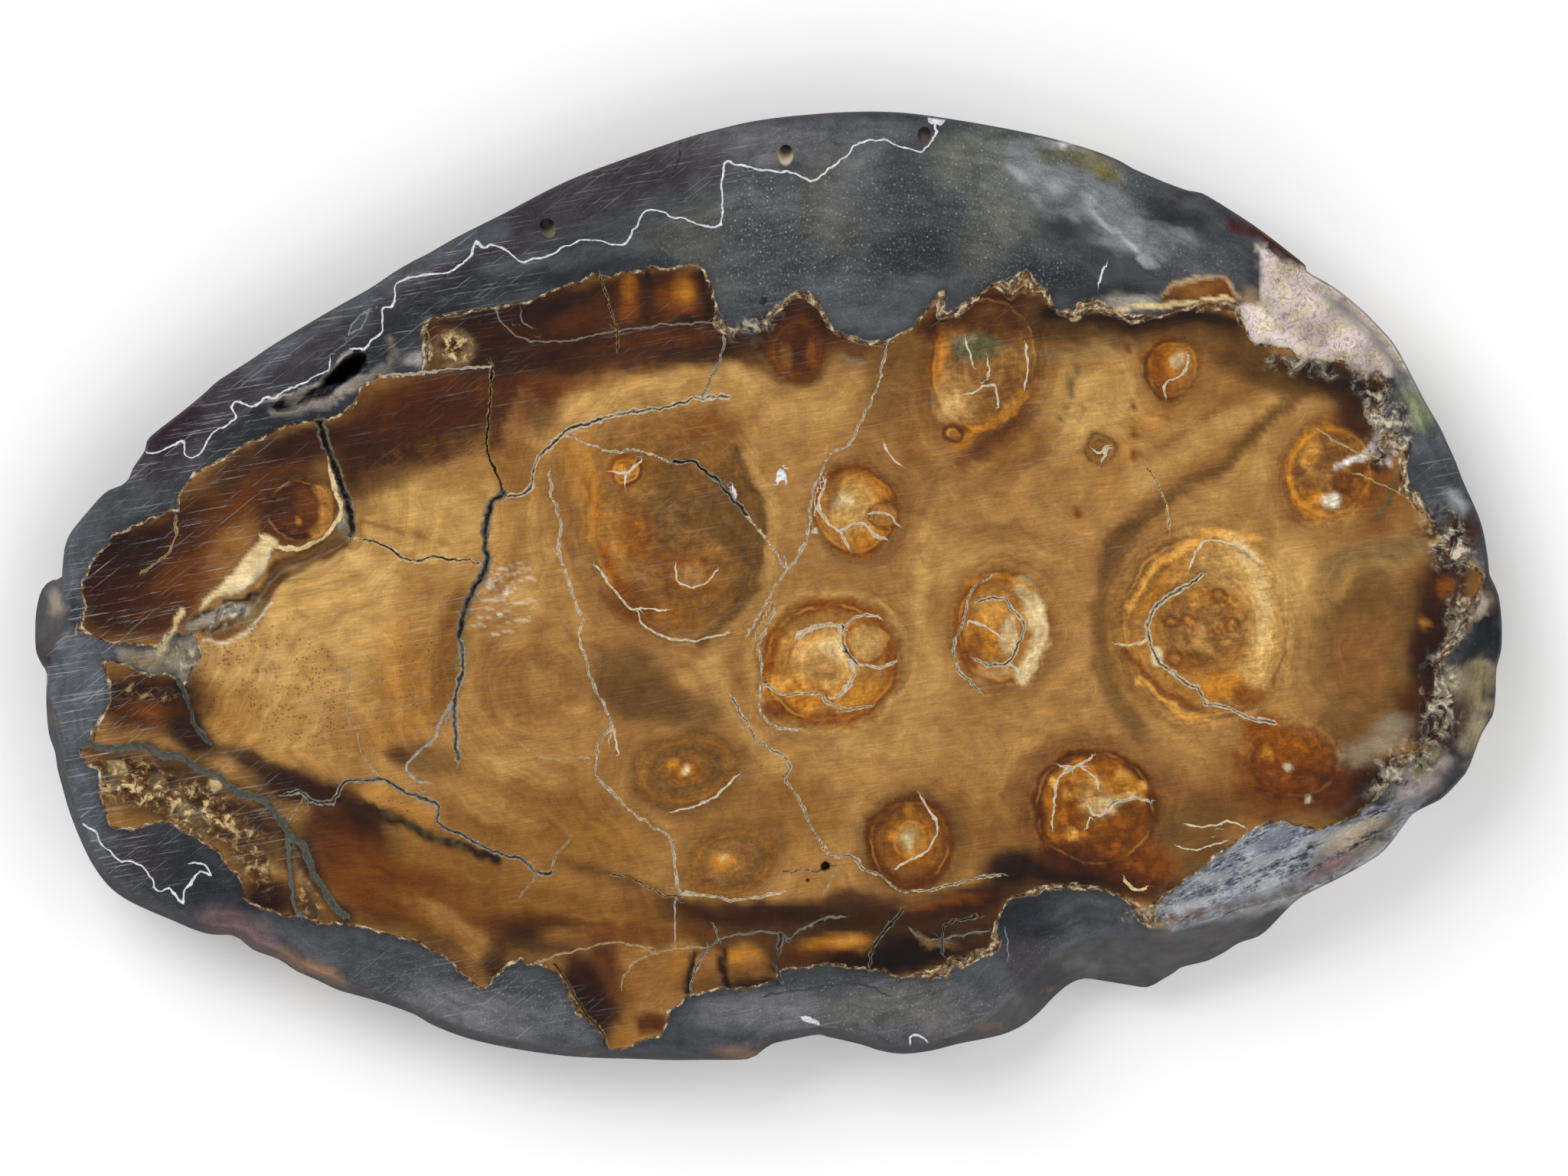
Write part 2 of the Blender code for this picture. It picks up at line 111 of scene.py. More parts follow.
# The face's edge beside the lump and along the flared corner, each point under its silhouette point.
LUMP_FACE_EDGE = {
    (60, 902): (63, 902), (61, 880): (64, 880), (54, 868): (63, 868), (47, 854): (63, 855),
    (44, 838): (74, 842), (43.7, 800): (93, 816), (52, 770): (86, 794), (66, 758): (84, 776),
    (80.5, 755.6): (85, 759),
}
CORNER_FACE_EDGE = {
    (1696, 1175): (1690, 1169), (1679, 1191): (1669, 1176), (1662, 1210): (1652, 1180),
    (1646, 1224): (1636, 1184), (1620, 1233): (1614, 1190), (1600, 1246): (1596, 1196),
    (1578, 1257): (1574, 1202), (1559, 1261.5): (1556, 1207), (1543, 1266): (1542, 1211),
    (1536, 1272): (1531, 1213), (1519, 1282.5): (1517, 1215), (1501, 1292): (1500, 1215),
    (1474, 1288.6): (1474, 1214), (1441, 1283): (1446, 1216), (1418, 1280): (1422, 1221),
    (1400, 1286): (1402, 1229), (1386, 1296.5): (1386, 1238), (1372, 1310): (1370, 1249),
    (1360, 1323): (1353, 1263), (1342, 1338): (1335, 1282), (1323, 1348): (1316, 1304),
    (1300, 1355): (1294, 1326),
}
FACE_EDGE = {**LUMP_FACE_EDGE, **CORNER_FACE_EDGE}

# Where the brown core of the tooth meets its grey rind, clockwise from the left.
CORE_EDGE = [
    (104, 815), (113, 790), (107, 775), (110, 757), (118, 739), (130, 723), (140, 711), (150, 700),
    (165, 693), (180, 684), (201, 675), (219, 667), (232, 667), (235, 645), (242, 634), (255, 619),
    (270, 610), (290, 600), (308, 587), (325, 578), (346, 572), (364, 560), (385, 555), (400, 550),
    (416, 550), (430, 548), (447, 539), (460, 533), (465, 523), (470, 508), (485, 500), (493, 492),
    (520, 490), (553, 488), (558, 470), (556, 445), (553, 424), (569, 416), (592, 410), (610, 407),
    (639, 403), (671, 399), (686, 396), (704, 390), (717, 383), (737, 375), (760, 367), (772, 359),
    (785, 361), (800, 361), (815, 356), (835, 355), (850, 351), (871, 352), (887, 350), (909, 346),
    (920, 355), (927, 370), (930, 386), (937, 412), (942, 430), (957, 433), (1000, 421), (1015, 404),
    (1035, 386), (1053, 385), (1067, 397), (1080, 419), (1089, 433), (1113, 443), (1136, 448),
    (1154, 450), (1176, 437), (1194, 426), (1216, 399), (1232, 381), (1225, 415), (1252, 408),
    (1274, 390), (1296, 372), (1307, 372), (1320, 381), (1340, 357), (1347, 377), (1365, 379),
    (1370, 390), (1379, 408), (1401, 412), (1414, 401), (1432, 397), (1454, 408), (1468, 412),
    (1480, 418), (1510, 414), (1540, 407), (1570, 400), (1612, 400), (1640, 452), (1683, 454),
    (1700, 469), (1734, 475), (1755, 469), (1762, 482), (1783, 496), (1800, 490), (1809, 505),
    (1790, 540), (1810, 560), (1835, 590), (1832, 620), (1834, 644), (1845, 648), (1859, 668),
    (1873, 683), (1879, 700), (1890, 715), (1915, 735), (1940, 755), (1928, 784), (1910, 807),
    (1898, 833), (1882, 858), (1877, 876), (1885, 907), (1877, 922), (1885, 940), (1880, 965),
    (1850, 985), (1815, 1000), (1800, 1040), (1770, 1065), (1720, 1085), (1700, 1078), (1660, 1072),
    (1640, 1080), (1600, 1110), (1560, 1140), (1530, 1165), (1505, 1185), (1504, 1208), (1489, 1194),
    (1479, 1179), (1461, 1170), (1441, 1163), (1400, 1157), (1364, 1161), (1344, 1167), (1321, 1173),
    (1313, 1183), (1307, 1198), (1300, 1212), (1299, 1220), (1305, 1231), (1290, 1245), (1275, 1248),
    (1260, 1257), (1243, 1255), (1235, 1268), (1215, 1273), (1170, 1275), (1156, 1266), (1137, 1266),
    (1106, 1263), (1086, 1259), (1070, 1260), (1045, 1265), (1021, 1265), (1007, 1282), (990, 1288),
    (963, 1291), (944, 1290), (921, 1295), (900, 1298), (889, 1307), (873, 1321), (870, 1339),
    (861, 1354), (838, 1358), (820, 1370), (797, 1372), (793, 1362), (782, 1343), (769, 1333),
    (755, 1320), (746, 1301), (741, 1285), (731, 1273), (713, 1263), (700, 1258), (686, 1260),
    (681, 1253), (661, 1263), (644, 1278), (636, 1290), (624, 1290), (610, 1276), (593, 1262),
    (580, 1249), (559, 1240), (545, 1229), (524, 1225), (501, 1218), (468, 1210), (440, 1206),
    (414, 1205), (395, 1195), (377, 1197), (363, 1193), (340, 1185), (317, 1175), (318, 1161),
    (315, 1145), (297, 1131), (284, 1113), (262, 1097), (244, 1088), (224, 1076), (204, 1074),
    (173, 1083), (142, 1080), (138, 1060), (132, 1037), (130, 1003), (115, 1000), (105, 978),
    (119, 970), (122, 956), (135, 935), (142, 917), (145, 894), (140, 880), (132, 866), (163, 865),
    (178, 880), (200, 882), (220, 880), (240, 895), (262, 850), (250, 825), (218, 830), (206, 845),
    (148, 840), (130, 833), (100, 822),
]
# The pale line along that edge: half its width in pixels, and places where it is a broad tan crust.
RIM_HALF_WIDTH = 2.1
BROAD_RIM = [
    (1335, 385, 44, 11), (1420, 405, 40, 11), (1590, 398, 44, 8), (1480, 412, 33, 7), (1250, 398, 33, 7),
    (1120, 440, 66, 5), (940, 425, 22, 8), (1010, 400, 44, 5), (1890, 740, 44, 8), (1800, 500, 44, 8),
    (1890, 930, 60, 13), (1812, 560, 60, 12),
    (1840, 640, 50, 8), (1905, 820, 60, 10), (1830, 1000, 60, 9), (1050, 385, 40, 6), (1240, 1250, 60, 9), (1500, 1190, 44, 7), (1280, 1240, 44, 7), (760, 1320, 55, 5), (560, 455, 33, 8),
    (150, 970, 44, 5), (90, 825, 33, 4), (1380, 1160, 66, 5),
]

# What the polish adds to every colour, and how bright the lamps make a white surface.
SHEEN, LAMP_GAIN = 0.012, 1.12
# Palette, in display values out of 255.
SOOT, UMBER, BARK, WALNUT = (38, 29, 23), (52, 37, 27), (60, 38, 24), (76, 46, 26)
CHESTNUT, RUSSET, RUST, SEPIA = (90, 50, 24), (104, 60, 26), (122, 68, 28), (98, 70, 40)
OLIVE_BROWN, TOBACCO, HAZEL, HONEY = (112, 80, 46), (132, 90, 44), (150, 104, 56), (168, 122, 68)
BUTTERSCOTCH, LIGHT_HONEY, PALE_HONEY = (168, 116, 56), (190, 146, 84), (208, 162, 94)
BUFF, CREAM, DARK_AMBER, AMBER = (205, 162, 100), (232, 206, 152), (140, 80, 26), (190, 124, 44)
ORANGE, MOSS, DRAB, PUTTY = (222, 160, 76), (80, 84, 58), (134, 106, 66), (150, 138, 114)
TAN, IVORY, STONE_GREY = (178, 150, 108), (222, 208, 180), (132, 126, 114)
SLATE, DEEP_SLATE, BLUE_SLATE = (72, 73, 77), (50, 51, 56), (92, 95, 101)
PLUM, DARK_PLUM, ASH, GREY_GREEN = (64, 59, 66), (52, 42, 48), (104, 104, 107), (90, 91, 86)
MIST, CHALK, BONE, MOSS_GREY = (132, 135, 136), (190, 191, 194), (228, 213, 206), (100, 102, 94)
OLIVE_SPOT, SMOKE, MAUVE, SAND = (128, 118, 62), (88, 89, 92), (112, 90, 92), (160, 122, 94)
WALL_GREY, BLUE_SPECK, PINK, CHIP_RED = (96, 94, 94), (78, 92, 124), (196, 150, 148), (72, 44, 40)
GREEN_TINT, WHITE, BLACK, PALE_STONE = (132, 138, 106), (232, 232, 236), (16, 14, 12), (176, 168, 154)

# Pulp stones: middle, half sizes and turn (clockwise, in degrees).
STONES = {
    "pear": (882, 688, 112, 138, -14), "pear_small": (817, 614, 18, 18, 0), "pear_arc": (650.9, 748, 24, 20, 0),
    "faint": (705, 893, 50, 48, 0), "left_lobe": (391, 668, 45, 42, 0), "upper_oval": (1042, 457, 33, 40, 0),
    "bright": (1118, 667, 52, 55, 0), "bright_small": (1156, 672, 20, 18, 0), "wide": (1083, 866, 87, 78, -8),
    "wide_bulb": (1134, 839, 28, 27, 0), "wide_inner": (1074, 866, 42, 42, 0), "crescent": (1308, 821, 60, 71, 0),
    "great": (1572, 820, 104, 118, -20), "great_core": (1578, 818, 52, 46, 0), "right_upper": (1737, 616, 55, 60, 20),
    "green": (1285, 476, 68, 88, 8), "green_ring": (1245, 569, 10, 10, 0), "top_right": (1530, 482, 32, 38, 10),
    "dot_right": (1437, 590, 18, 20, 0), "low_left": (897, 1007, 62, 43, -12), "low_oval": (955, 1128, 54, 38, -24),
    "low_bright": (1188, 1101, 54, 56, 0), "low_bright_core": (1188, 1096, 25, 26, 0),
    "orange": (1429, 1056, 80, 74, 16), "low_right": (1690, 990, 62, 50, 10), "low_right_small": (1620, 900, 30, 26, 20),
}

# How clear the rim of a stone is, where it isn't as clear as most.
STONE_RIMS = {
    "pear": 0.15, "faint": 0.0, "pear_arc": 0.3, "left_lobe": 0.3, "great": 0.6, "wide_inner": 0.2,
    "low_bright_core": 0.4, "upper_oval": 0.1, "green": 0.45, "low_right": 0.15, "low_right_small": 0.2,
    "low_left": 0.12, "low_oval": 0.08, "low_bright": 0.35, "dot_right": 0.3, "great_core": 0.0, "right_upper": 0.35, "wide": 0.5, "top_right": 0.3,
    "bright": 0.45, "bright_small": 0.4, "wide_bulb": 0.4, "crescent": 0.5, "orange": 0.35,
}

# Thin lines in the face: half width in pixels, how dark the middle is (0 to 1), depth in millimetres,
# colour of the sides, and the way each one runs.
LINES = {
    # Cracks of the core.
    "middle_crack_top": (2.4, 0.55, 0.7, TAN, [
        (642, 480), (641, 510), (638, 550), (637, 570), (639, 600), (650, 620), (657, 645)]),
    "middle_crack": (5.6, 0.55, 0.7, STONE_GREY, [
        (657, 645), (640, 660), (633, 700), (635, 740), (622, 765), (610, 790), (600, 830)]),
    "middle_crack_foot": (3.4, 0.35, 0.6, PALE_STONE, [
        (600, 830), (604, 875), (594, 915), (597, 992)]),
    "bow_crack": (3.2, 0.45, 0.4, IVORY, [
        (656, 647), (665, 648), (690, 642), (697, 615), (703, 597), (730, 572), (745, 560), (770, 552),
        (800, 543), (830, 537), (860, 533), (900, 523), (918, 520), (950, 518)]),
    "plate_tip_crack": (1.7, 0.2, 0.3, PALE_STONE, [(917, 520), (924, 504), (932, 488), (946, 453), (944, 439)]),
    "long_crack": (1.8, 0.15, 0.3, IVORY, [
        (718, 618), (722, 650), (732, 685), (728, 715), (738, 745), (745, 765), (755, 795), (760, 812),
        (757, 830), (765, 860), (770, 880), (778, 900), (790, 925), (797, 940), (797, 952), (785, 965),
        (780, 985), (778, 1010), (795, 1030), (820, 1055), (850, 1078), (872, 1090), (878, 1105),
        (882, 1130), (884, 1150), (888, 1160), (893, 1167), (920, 1170), (960, 1175), (1000, 1170),
        (1020, 1167)]),
    "long_crack_spur": (1.4, 0.1, 0.2, IVORY, [(797, 952), (803, 955), (806, 980)]),
    "long_crack_down": (1.1, 0.1, 0.2, PALE_STONE, [(882, 1172), (882, 1230)]),
    "long_crack_left": (1.7, 0.4, 0.3, TAN, [(800, 1143), (820, 1145), (850, 1160), (870, 1170), (890, 1172)]),
    "long_crack_side": (1.6, 0.1, 0, TAN, [(770, 990), (760, 988), (725, 992), (700, 985), (680, 970)]),
    "upright_crack": (1.6, 0.1, 0.3, IVORY, [
        (1157, 455), (1152, 480), (1148, 500), (1140, 520), (1120, 560), (1108, 580), (1085, 593),
        (1070, 620), (1060, 650), (1055, 700), (1040, 730), (1028, 745), (1004, 781), (978, 826)]),
    "slanting_crack": (1.5, 0.12, 0.3, IVORY, [
        (741, 569), (770, 580), (800, 590), (830, 588), (845, 592), (880, 604)]),
    "slanting_crack_open": (3.0, 0.7, 0.6, PALE_STONE, [
        (880, 604), (906, 603), (915, 612), (940, 630), (955, 650), (965, 660), (975, 672)]),
    "slanting_crack_end": (1.5, 0.12, 0.3, IVORY, [(975, 672), (1000, 705), (1024, 741)]),
    "pear_lower_crack": (1.4, 0.1, 0.2, IVORY, [
        (780, 740), (800, 768), (820, 790), (832, 797), (835, 808), (850, 825), (870, 832), (905, 838),
        (930, 832), (950, 828)]),
    "pear_lower_spur": (1.0, 0, 0, IVORY, [(832, 795), (870, 797)]),
    "wide_left_crack": (1.5, 0.15, 0.3, IVORY, [
        (1003, 785), (1012, 790), (1005, 810), (990, 845), (995, 870), (992, 925), (1000, 940),
        (1015, 950), (1040, 953)]),
    "lower_crack": (1.9, 0.25, 0.4, IVORY, [
        (955, 910), (973, 940), (994, 970), (1030, 995), (1028, 1020), (1045, 1045), (1060, 1080),
        (1085, 1118), (1110, 1117), (1120, 1125), (1130, 1137), (1150, 1143), (1170, 1161), (1196, 1164),
        (1237, 1157), (1277, 1145), (1306, 1143)]),
    "lower_crack_spur": (1.6, 0.3, 0.3, TAN, [(1090, 1130), (1070, 1137), (1040, 1138), (1022, 1140)]),
    "lower_crack_tick": (2, 0.3, 0, TAN, [(1090, 1145), (1078, 1163)]),
    "lobe_crack": (6.2, 0.7, 1.2, STONE_GREY, [
        (418, 550), (425, 580), (437, 610), (448, 640), (458, 670), (458, 700)]),
    "lobe_crack_lip": (2.6, 0, 0, CREAM, [
        (425, 590), (431, 608), (440, 650), (447, 665), (435, 690), (420, 703), (400, 713), (380, 717),
        (360, 712), (345, 700)]),
    "honey_crack": (2.6, 0.5, 0.5, CREAM, [
        (460, 703), (490, 708), (515, 722), (536, 732), (565, 728), (600, 732), (625, 735)]),
    "lower_left_crack": (2.9, 0.4, 0.5, PALE_STONE, [
        (370, 1038), (390, 1035), (405, 1045), (430, 1050), (440, 1040), (450, 1022), (470, 1020),
        (500, 1018), (530, 1035), (560, 1045), (573, 1053), (573, 1075), (600, 1090), (630, 1105),
        (655, 1117), (680, 1122), (700, 1138), (718, 1142)]),
    "lower_left_fork": (1.6, 0.3, 0.2, TAN, [(718, 1140), (725, 1120), (745, 1095)]),
    "lower_left_tail": (1.2, 0.3, 0.2, TAN, [(700, 1143), (680, 1170)]),
    "lower_left_hook": (1.6, 0.3, 0.2, TAN, [(393, 1047), (380, 1070)]),
    "field_crack": (1.4, 0.1, 0.2, TAN, [
        (455, 870), (455, 900), (452, 930), (465, 955), (473, 987), (495, 1014)]),
    "field_loop": (1.7, 0.1, 0.2, PALE_STONE, [
        (591, 917), (575, 945), (567, 965), (540, 987), (531, 1004), (540, 1018), (558, 1022)]),
    "plate_crack": (1.9, 0.6, 0.4, TAN, [(785, 360), (790, 380), (795, 395), (800, 410), (805, 430), (806, 455)]),
    "plate_arc_1": (1.0, 0.1, 0.1, STONE_GREY, [
        (650, 405), (655, 420), (670, 435), (690, 445), (705, 447), (750, 443), (805, 432), (860, 425),
        (940, 420)]),
    "plate_arc_2": (0.9, 0.1, 0, STONE_GREY, [(680, 405), (683, 420), (695, 428)]),
    "plate_foot": (1.5, 0.1, 0, PALE_STONE, [(500, 490), (550, 488), (590, 482), (640, 480)]),
    "low_plate_1": (1.4, 0.15, 0.2, TAN, [(700, 1257), (750, 1243), (800, 1232), (850, 1238)]),
    "low_plate_2": (1.4, 0.2, 0.2, TAN, [(812, 1290), (818, 1270), (840, 1250), (880, 1240), (920, 1237)]),
    "low_plate_3": (1.8, 0.4, 0.3, PALE_STONE, [(932, 1210), (937, 1228), (920, 1245), (905, 1275), (902, 1298)]),
    "low_plate_4": (1.3, 0.2, 0.2, STONE_GREY, [
        (937, 1228), (980, 1218), (1020, 1220), (1030, 1225), (1045, 1215), (1075, 1200), (1100, 1197)]),
    "low_plate_5": (2.8, 0.5, 0.4, STONE_GREY, [(1020, 1222), (1018, 1240), (1012, 1262), (1022, 1282)]),
    "low_plate_6": (2.4, 0.5, 0.4, STONE_GREY, [(1180, 1188), (1160, 1210), (1140, 1240), (1137, 1262)]),
    "low_plate_7": (2.2, 0.5, 0.4, STONE_GREY, [(1275, 1198), (1240, 1205), (1230, 1225), (1232, 1245)]),
    "low_plate_8": (1.4, 0.3, 0.2, STONE_GREY, [(1190, 1215), (1212, 1228), (1250, 1222), (1290, 1215)]),
    "tip_line": (2.0, 0.5, 0.3, DRAB, [(725, 1260), (745, 1290), (765, 1325), (785, 1345), (797, 1370)]),
    "right_crack_1": (1.4, 0.4, 0.3, CREAM, [(1500, 610), (1510, 630), (1520, 650), (1525, 670), (1527, 690)]),
    "right_crack_2": (1.2, 0.1, 0, IVORY, [(1155, 580), (1165, 600), (1175, 608)]),
    "right_crack_3": (1.2, 0.1, 0, IVORY, [(1550, 1077), (1570, 1082), (1605, 1072), (1625, 1080)]),
    "right_crack_4": (1.0, 0.1, 0, IVORY, [(1540, 1105), (1560, 1110), (1600, 1098)]),
    "right_crack_5": (2, 0.2, 0, CREAM, [(1470, 1150), (1480, 1162), (1495, 1160)]),
    "right_crack_6": (1.2, 0, 0, TAN, [(1720, 560), (1760, 585), (1800, 600)]),
    "right_crack_7": (1.2, 0, 0, TAN, [(1770, 618), (1830, 645)]),
    # Cracks of the pulp stones.
    "pear_small_1": (1.9, 0.1, 0, IVORY, [(800, 617), (820, 617), (835, 604)]),
    "pear_small_2": (1.4, 0.1, 0, IVORY, [(817, 616), (817, 630)]),
    "pear_arc": (1.2, 0, 0, IVORY, [(882, 740), (885, 758), (905, 768), (925, 758), (935, 745)]),
    "bright_1": (1.7, 0.2, 0.2, IVORY, [
        (1078, 630), (1070, 650), (1072, 670), (1085, 685), (1098, 695), (1115, 683), (1130, 683),
        (1140, 698), (1155, 705)]),
    "bright_2": (1.4, 0.2, 0, IVORY, [(1098, 695), (1107, 715)]),
    "bright_3": (1.4, 0.2, 0, IVORY, [(1138, 670), (1155, 670), (1175, 685)]),
    "wide_1": (3, 0.1, 0.3, IVORY, [(1043, 830), (1055, 822), (1075, 817), (1095, 818), (1100, 830)]),
    "wide_2": (2, 0.6, 0.4, IVORY, [(1100, 818), (1102, 840), (1108, 855), (1120, 865)]),
    "wide_3": (1.7, 0.3, 0.2, IVORY, [(1102, 820), (1115, 808), (1130, 803), (1150, 807)]),
    "wide_4": (1.8, 0.3, 0.2, IVORY, [(1120, 867), (1140, 870), (1155, 872), (1168, 865)]),
    "wide_5": (3.2, 0.1, 0.3, IVORY, [(1110, 865), (1115, 880), (1105, 900), (1093, 910)]),
    "wide_6": (2.1, 0.3, 0.3, IVORY, [
        (1003, 895), (1015, 905), (1030, 908), (1050, 905), (1072, 908), (1078, 915), (1095, 925),
        (1115, 925), (1135, 922)]),
    "crescent_left": (1.7, 0.3, 0.3, IVORY, [
        (1300, 752), (1280, 762), (1267, 775), (1262, 795), (1257, 820), (1247, 840), (1245, 850),
        (1253, 875), (1280, 903)]),
    "crescent_arc": (2.7, 0.42, 0.3, IVORY, [
        (1280, 785), (1295, 780), (1310, 782), (1323, 795), (1335, 810), (1337, 825), (1328, 845),
        (1315, 865), (1290, 868), (1275, 862)]),
    "crescent_1": (1.3, 0.1, 0, IVORY, [(1268, 812), (1285, 817), (1300, 827), (1310, 835)]),
    "crescent_2": (1.3, 0.1, 0, IVORY, [(1320, 868), (1343, 890)]),
    "great_arc": (2.9, 0.42, 0.3, IVORY, [
        (1570, 752), (1545, 768), (1520, 785), (1503, 800), (1500, 830), (1507, 850), (1515, 865),
        (1540, 885), (1565, 900), (1575, 918), (1600, 922), (1625, 935), (1665, 945)]),
    "great_left": (1.8, 0.2, 0, CREAM, [(1460, 840), (1490, 842), (1500, 832)]),
    "great_top": (1.3, 0, 0, IVORY, [
        (1555, 740), (1565, 715), (1580, 705), (1600, 708), (1625, 715), (1650, 735)]),
    "green_1": (1.3, 0.1, 0, IVORY, [(1262, 445), (1270, 475)]),
    "green_2": (1.3, 0.1, 0, IVORY, [(1290, 470), (1290, 490)]),
    "green_3": (1.4, 0.1, 0, IVORY, [(1263, 515), (1280, 508), (1300, 503), (1303, 530)]),
    "green_4": (1.3, 0.1, 0, IVORY, [(1340, 450), (1342, 480), (1338, 505)]),
    "top_right_1": (1.7, 0.2, 0.2, IVORY, [(1520, 515), (1523, 500), (1540, 493), (1550, 480), (1552, 465)]),
    "dot_right_1": (1.4, 0.2, 0, IVORY, [(1428, 588), (1437, 592), (1446, 584), (1441, 600)]),
    "low_left_1": (1.3, 0.1, 0, IVORY, [(880, 1060), (905, 1055), (935, 1040), (960, 1015)]),
    "low_bright_1": (1.3, 0.1, 0, IVORY, [(1203, 1041), (1217, 1062), (1225, 1087), (1206, 1114), (1170, 1134)]),
    "orange_1": (1.7, 0.2, 0, IVORY, [(1385, 1000), (1400, 1003), (1415, 998), (1425, 990)]),
    "orange_2": (1.4, 0.2, 0, IVORY, [(1400, 1003), (1385, 1015), (1378, 1030), (1375, 1080)]),
    "orange_3": (1.4, 0.2, 0, IVORY, [(1415, 1005), (1430, 1015), (1435, 1030)]),
    "orange_4": (1.9, 0.3, 0.2, IVORY, [(1420, 1050), (1430, 1065), (1445, 1060), (1460, 1045), (1500, 1045)]),
    "orange_5": (1.4, 0.2, 0, IVORY, [(1425, 1065), (1420, 1080)]),
    # Grey-blue veins of the lower left.
    "vein_1": (4.6, 0.15, 0.3, MOSS_GREY, [
        (110, 972), (150, 978), (190, 976), (211, 987), (234, 988), (260, 1004), (290, 1021), (316, 1037),
        (341, 1044), (362, 1065), (372, 1080), (385, 1097), (396, 1104), (405, 1131), (417, 1151),
        (432, 1178), (452, 1197)]),
    "vein_2": (2.4, 0.15, 0, MOSS_GREY, [(375, 1090), (378, 1130), (382, 1170), (390, 1195)]),
    "vein_3": (2.8, 0.2, 0.3, MOSS_GREY, [(233, 890), (245, 915), (255, 945), (272, 970)]),
    "fold_line": (1.7, 0.4, 0.2, TAN, [(228, 675), (230, 700), (220, 720), (205, 735), (185, 748)]),
    # White sutures of the rind.
    "suture_1": (1.2, 0, 0, WHITE, [
        (189, 588), (197, 594), (215, 585), (238, 575), (242, 582), (241, 594), (249, 599), (259, 593),
        (270, 579), (278, 566), (300, 553), (309, 544), (303, 532), (311, 523), (320, 529), (335, 530),
        (347, 519), (360, 520), (368, 512), (385, 505), (401, 498), (425, 485), (432, 469)]),
    "suture_2": (1.2, 0, 0, WHITE, [
        (460, 458), (476, 456), (485, 445), (497, 436), (500, 426), (498, 408), (502, 402), (514, 401),
        (516, 384), (517, 371), (525, 366), (548, 360), (580, 357), (595, 350), (604, 345), (615, 334),
        (621, 315), (632, 324), (640, 320), (654, 323), (668, 333), (683, 343), (700, 338), (722, 331),
        (737, 323), (755, 316), (775, 313), (789, 317), (811, 320), (821, 312), (828, 300), (835, 289),
        (840, 279), (850, 275), (861, 276), (876, 282), (896, 288), (922, 295), (938, 296), (943, 289),
        (942, 258), (944, 235), (946, 217), (952, 211), (960, 214), (979, 219), (1006, 223), (1034, 225),
        (1049, 231), (1060, 236), (1070, 233), (1083, 221), (1100, 208), (1111, 198), (1121, 189),
        (1136, 183), (1154, 183), (1167, 188), (1182, 194), (1198, 197), (1207, 196), (1216, 189),
        (1222, 171), (1216, 164), (1214, 152)]),
    "suture_sliver": (1.2, 0, 0, MIST, [(453, 439), (462, 422), (481, 404), (472, 429), (453, 439)]),
    "suture_curl": (0.8, 0.5, 0, ASH, [(966, 283), (961, 300), (970, 305), (995, 312), (1020, 322)]),
    "suture_tick": (1.9, 0, 0, WHITE, [(1223, 155), (1226, 162), (1235, 155)]),
    "suture_low_1": (1.2, 0, 0, WHITE, [
        (96, 1072), (125, 1086), (131, 1100), (155, 1122), (178, 1128), (192, 1140), (207, 1163),
        (222, 1161), (237, 1180), (240, 1165), (262, 1140), (275, 1142), (268, 1130), (250, 1127)]),
    "suture_low_2": (1.1, 0, 0, MIST, [(61, 928), (73, 935), (67, 950), (75, 978)]),
    "suture_lump": (1.2, 0, 0, MIST, [(100, 820), (98, 830), (85, 832), (70, 842), (55, 852)]),
    "suture_arc": (1.3, 0, 0, WHITE, [(1188, 1372), (1190, 1355), (1200, 1350), (1210, 1357), (1214, 1372)]),
    "suture_right": (1.1, 0, 0, MIST, [(1312, 1215), (1318, 1240), (1318, 1250)]),
    "white_streak": (1.4, 0, 0, WHITE, [(1436, 370), (1443, 350)]),
    # A painted highlight on the lower edge of the face.
    "painted_edge_highlight": (3, 0, 0, WHITE, [(1050, 1331), (1064, 1336)]),
    "rind_dark_line": (1.0, 0.3, 0, SLATE, [(1000, 1300), (1060, 1290), (1120, 1285), (1160, 1300)]),
    "rind_crack": (1.6, 0.9, 0.1, PLUM, [(887, 183), (889, 200), (884, 220)]),
    "flake_dot": (4, 0, 0, WHITE, [(1017, 625), (1021, 616), (1024, 624)]),
    "flake_dash": (2.4, 0, 0, WHITE, [(958, 637), (962, 648)]),
}
# The open crevice, the groove that runs into the cavity, the cavity and the drilled holes.
CREVICE_WAY = [
    (460, 700), (430, 715), (400, 730), (370, 740), (345, 760), (330, 790), (300, 800), (268, 812), (240, 838),
]
CREVICE_HALF, CREVICE_DEPTH = 15, 0.0009
CAVITY_GROOVE = [(366, 531), (395, 520), (430, 506)]
CAVITY_RIM = [
    (412, 505), (424, 487), (441, 471), (462, 461), (478, 462), (481, 472), (470, 488), (452, 500), (430, 508),
]
CAVITY_DEPTH = 0.0060
HOLES = [
    ((716, 299), 0.00085, (-0.35, 0.94), 42, STONE_GREY),
    ((1026, 204), 0.00082, (0.05, 1.0), 46, IVORY),
    ((1207, 176), 0.00068, (0.1, 1.0), 36, MAUVE),
]
HOLE_LENGTH = 0.012
# Small round pits: middle, radius in pixels, depth in millimetres and how strongly painted shade darkens them.
PITS = [(998, 393, 6, 0.4, 0.5), (1078, 1131, 7, 1.2, 1.0), (1055, 1150, 3, 0.3, 0.8)]
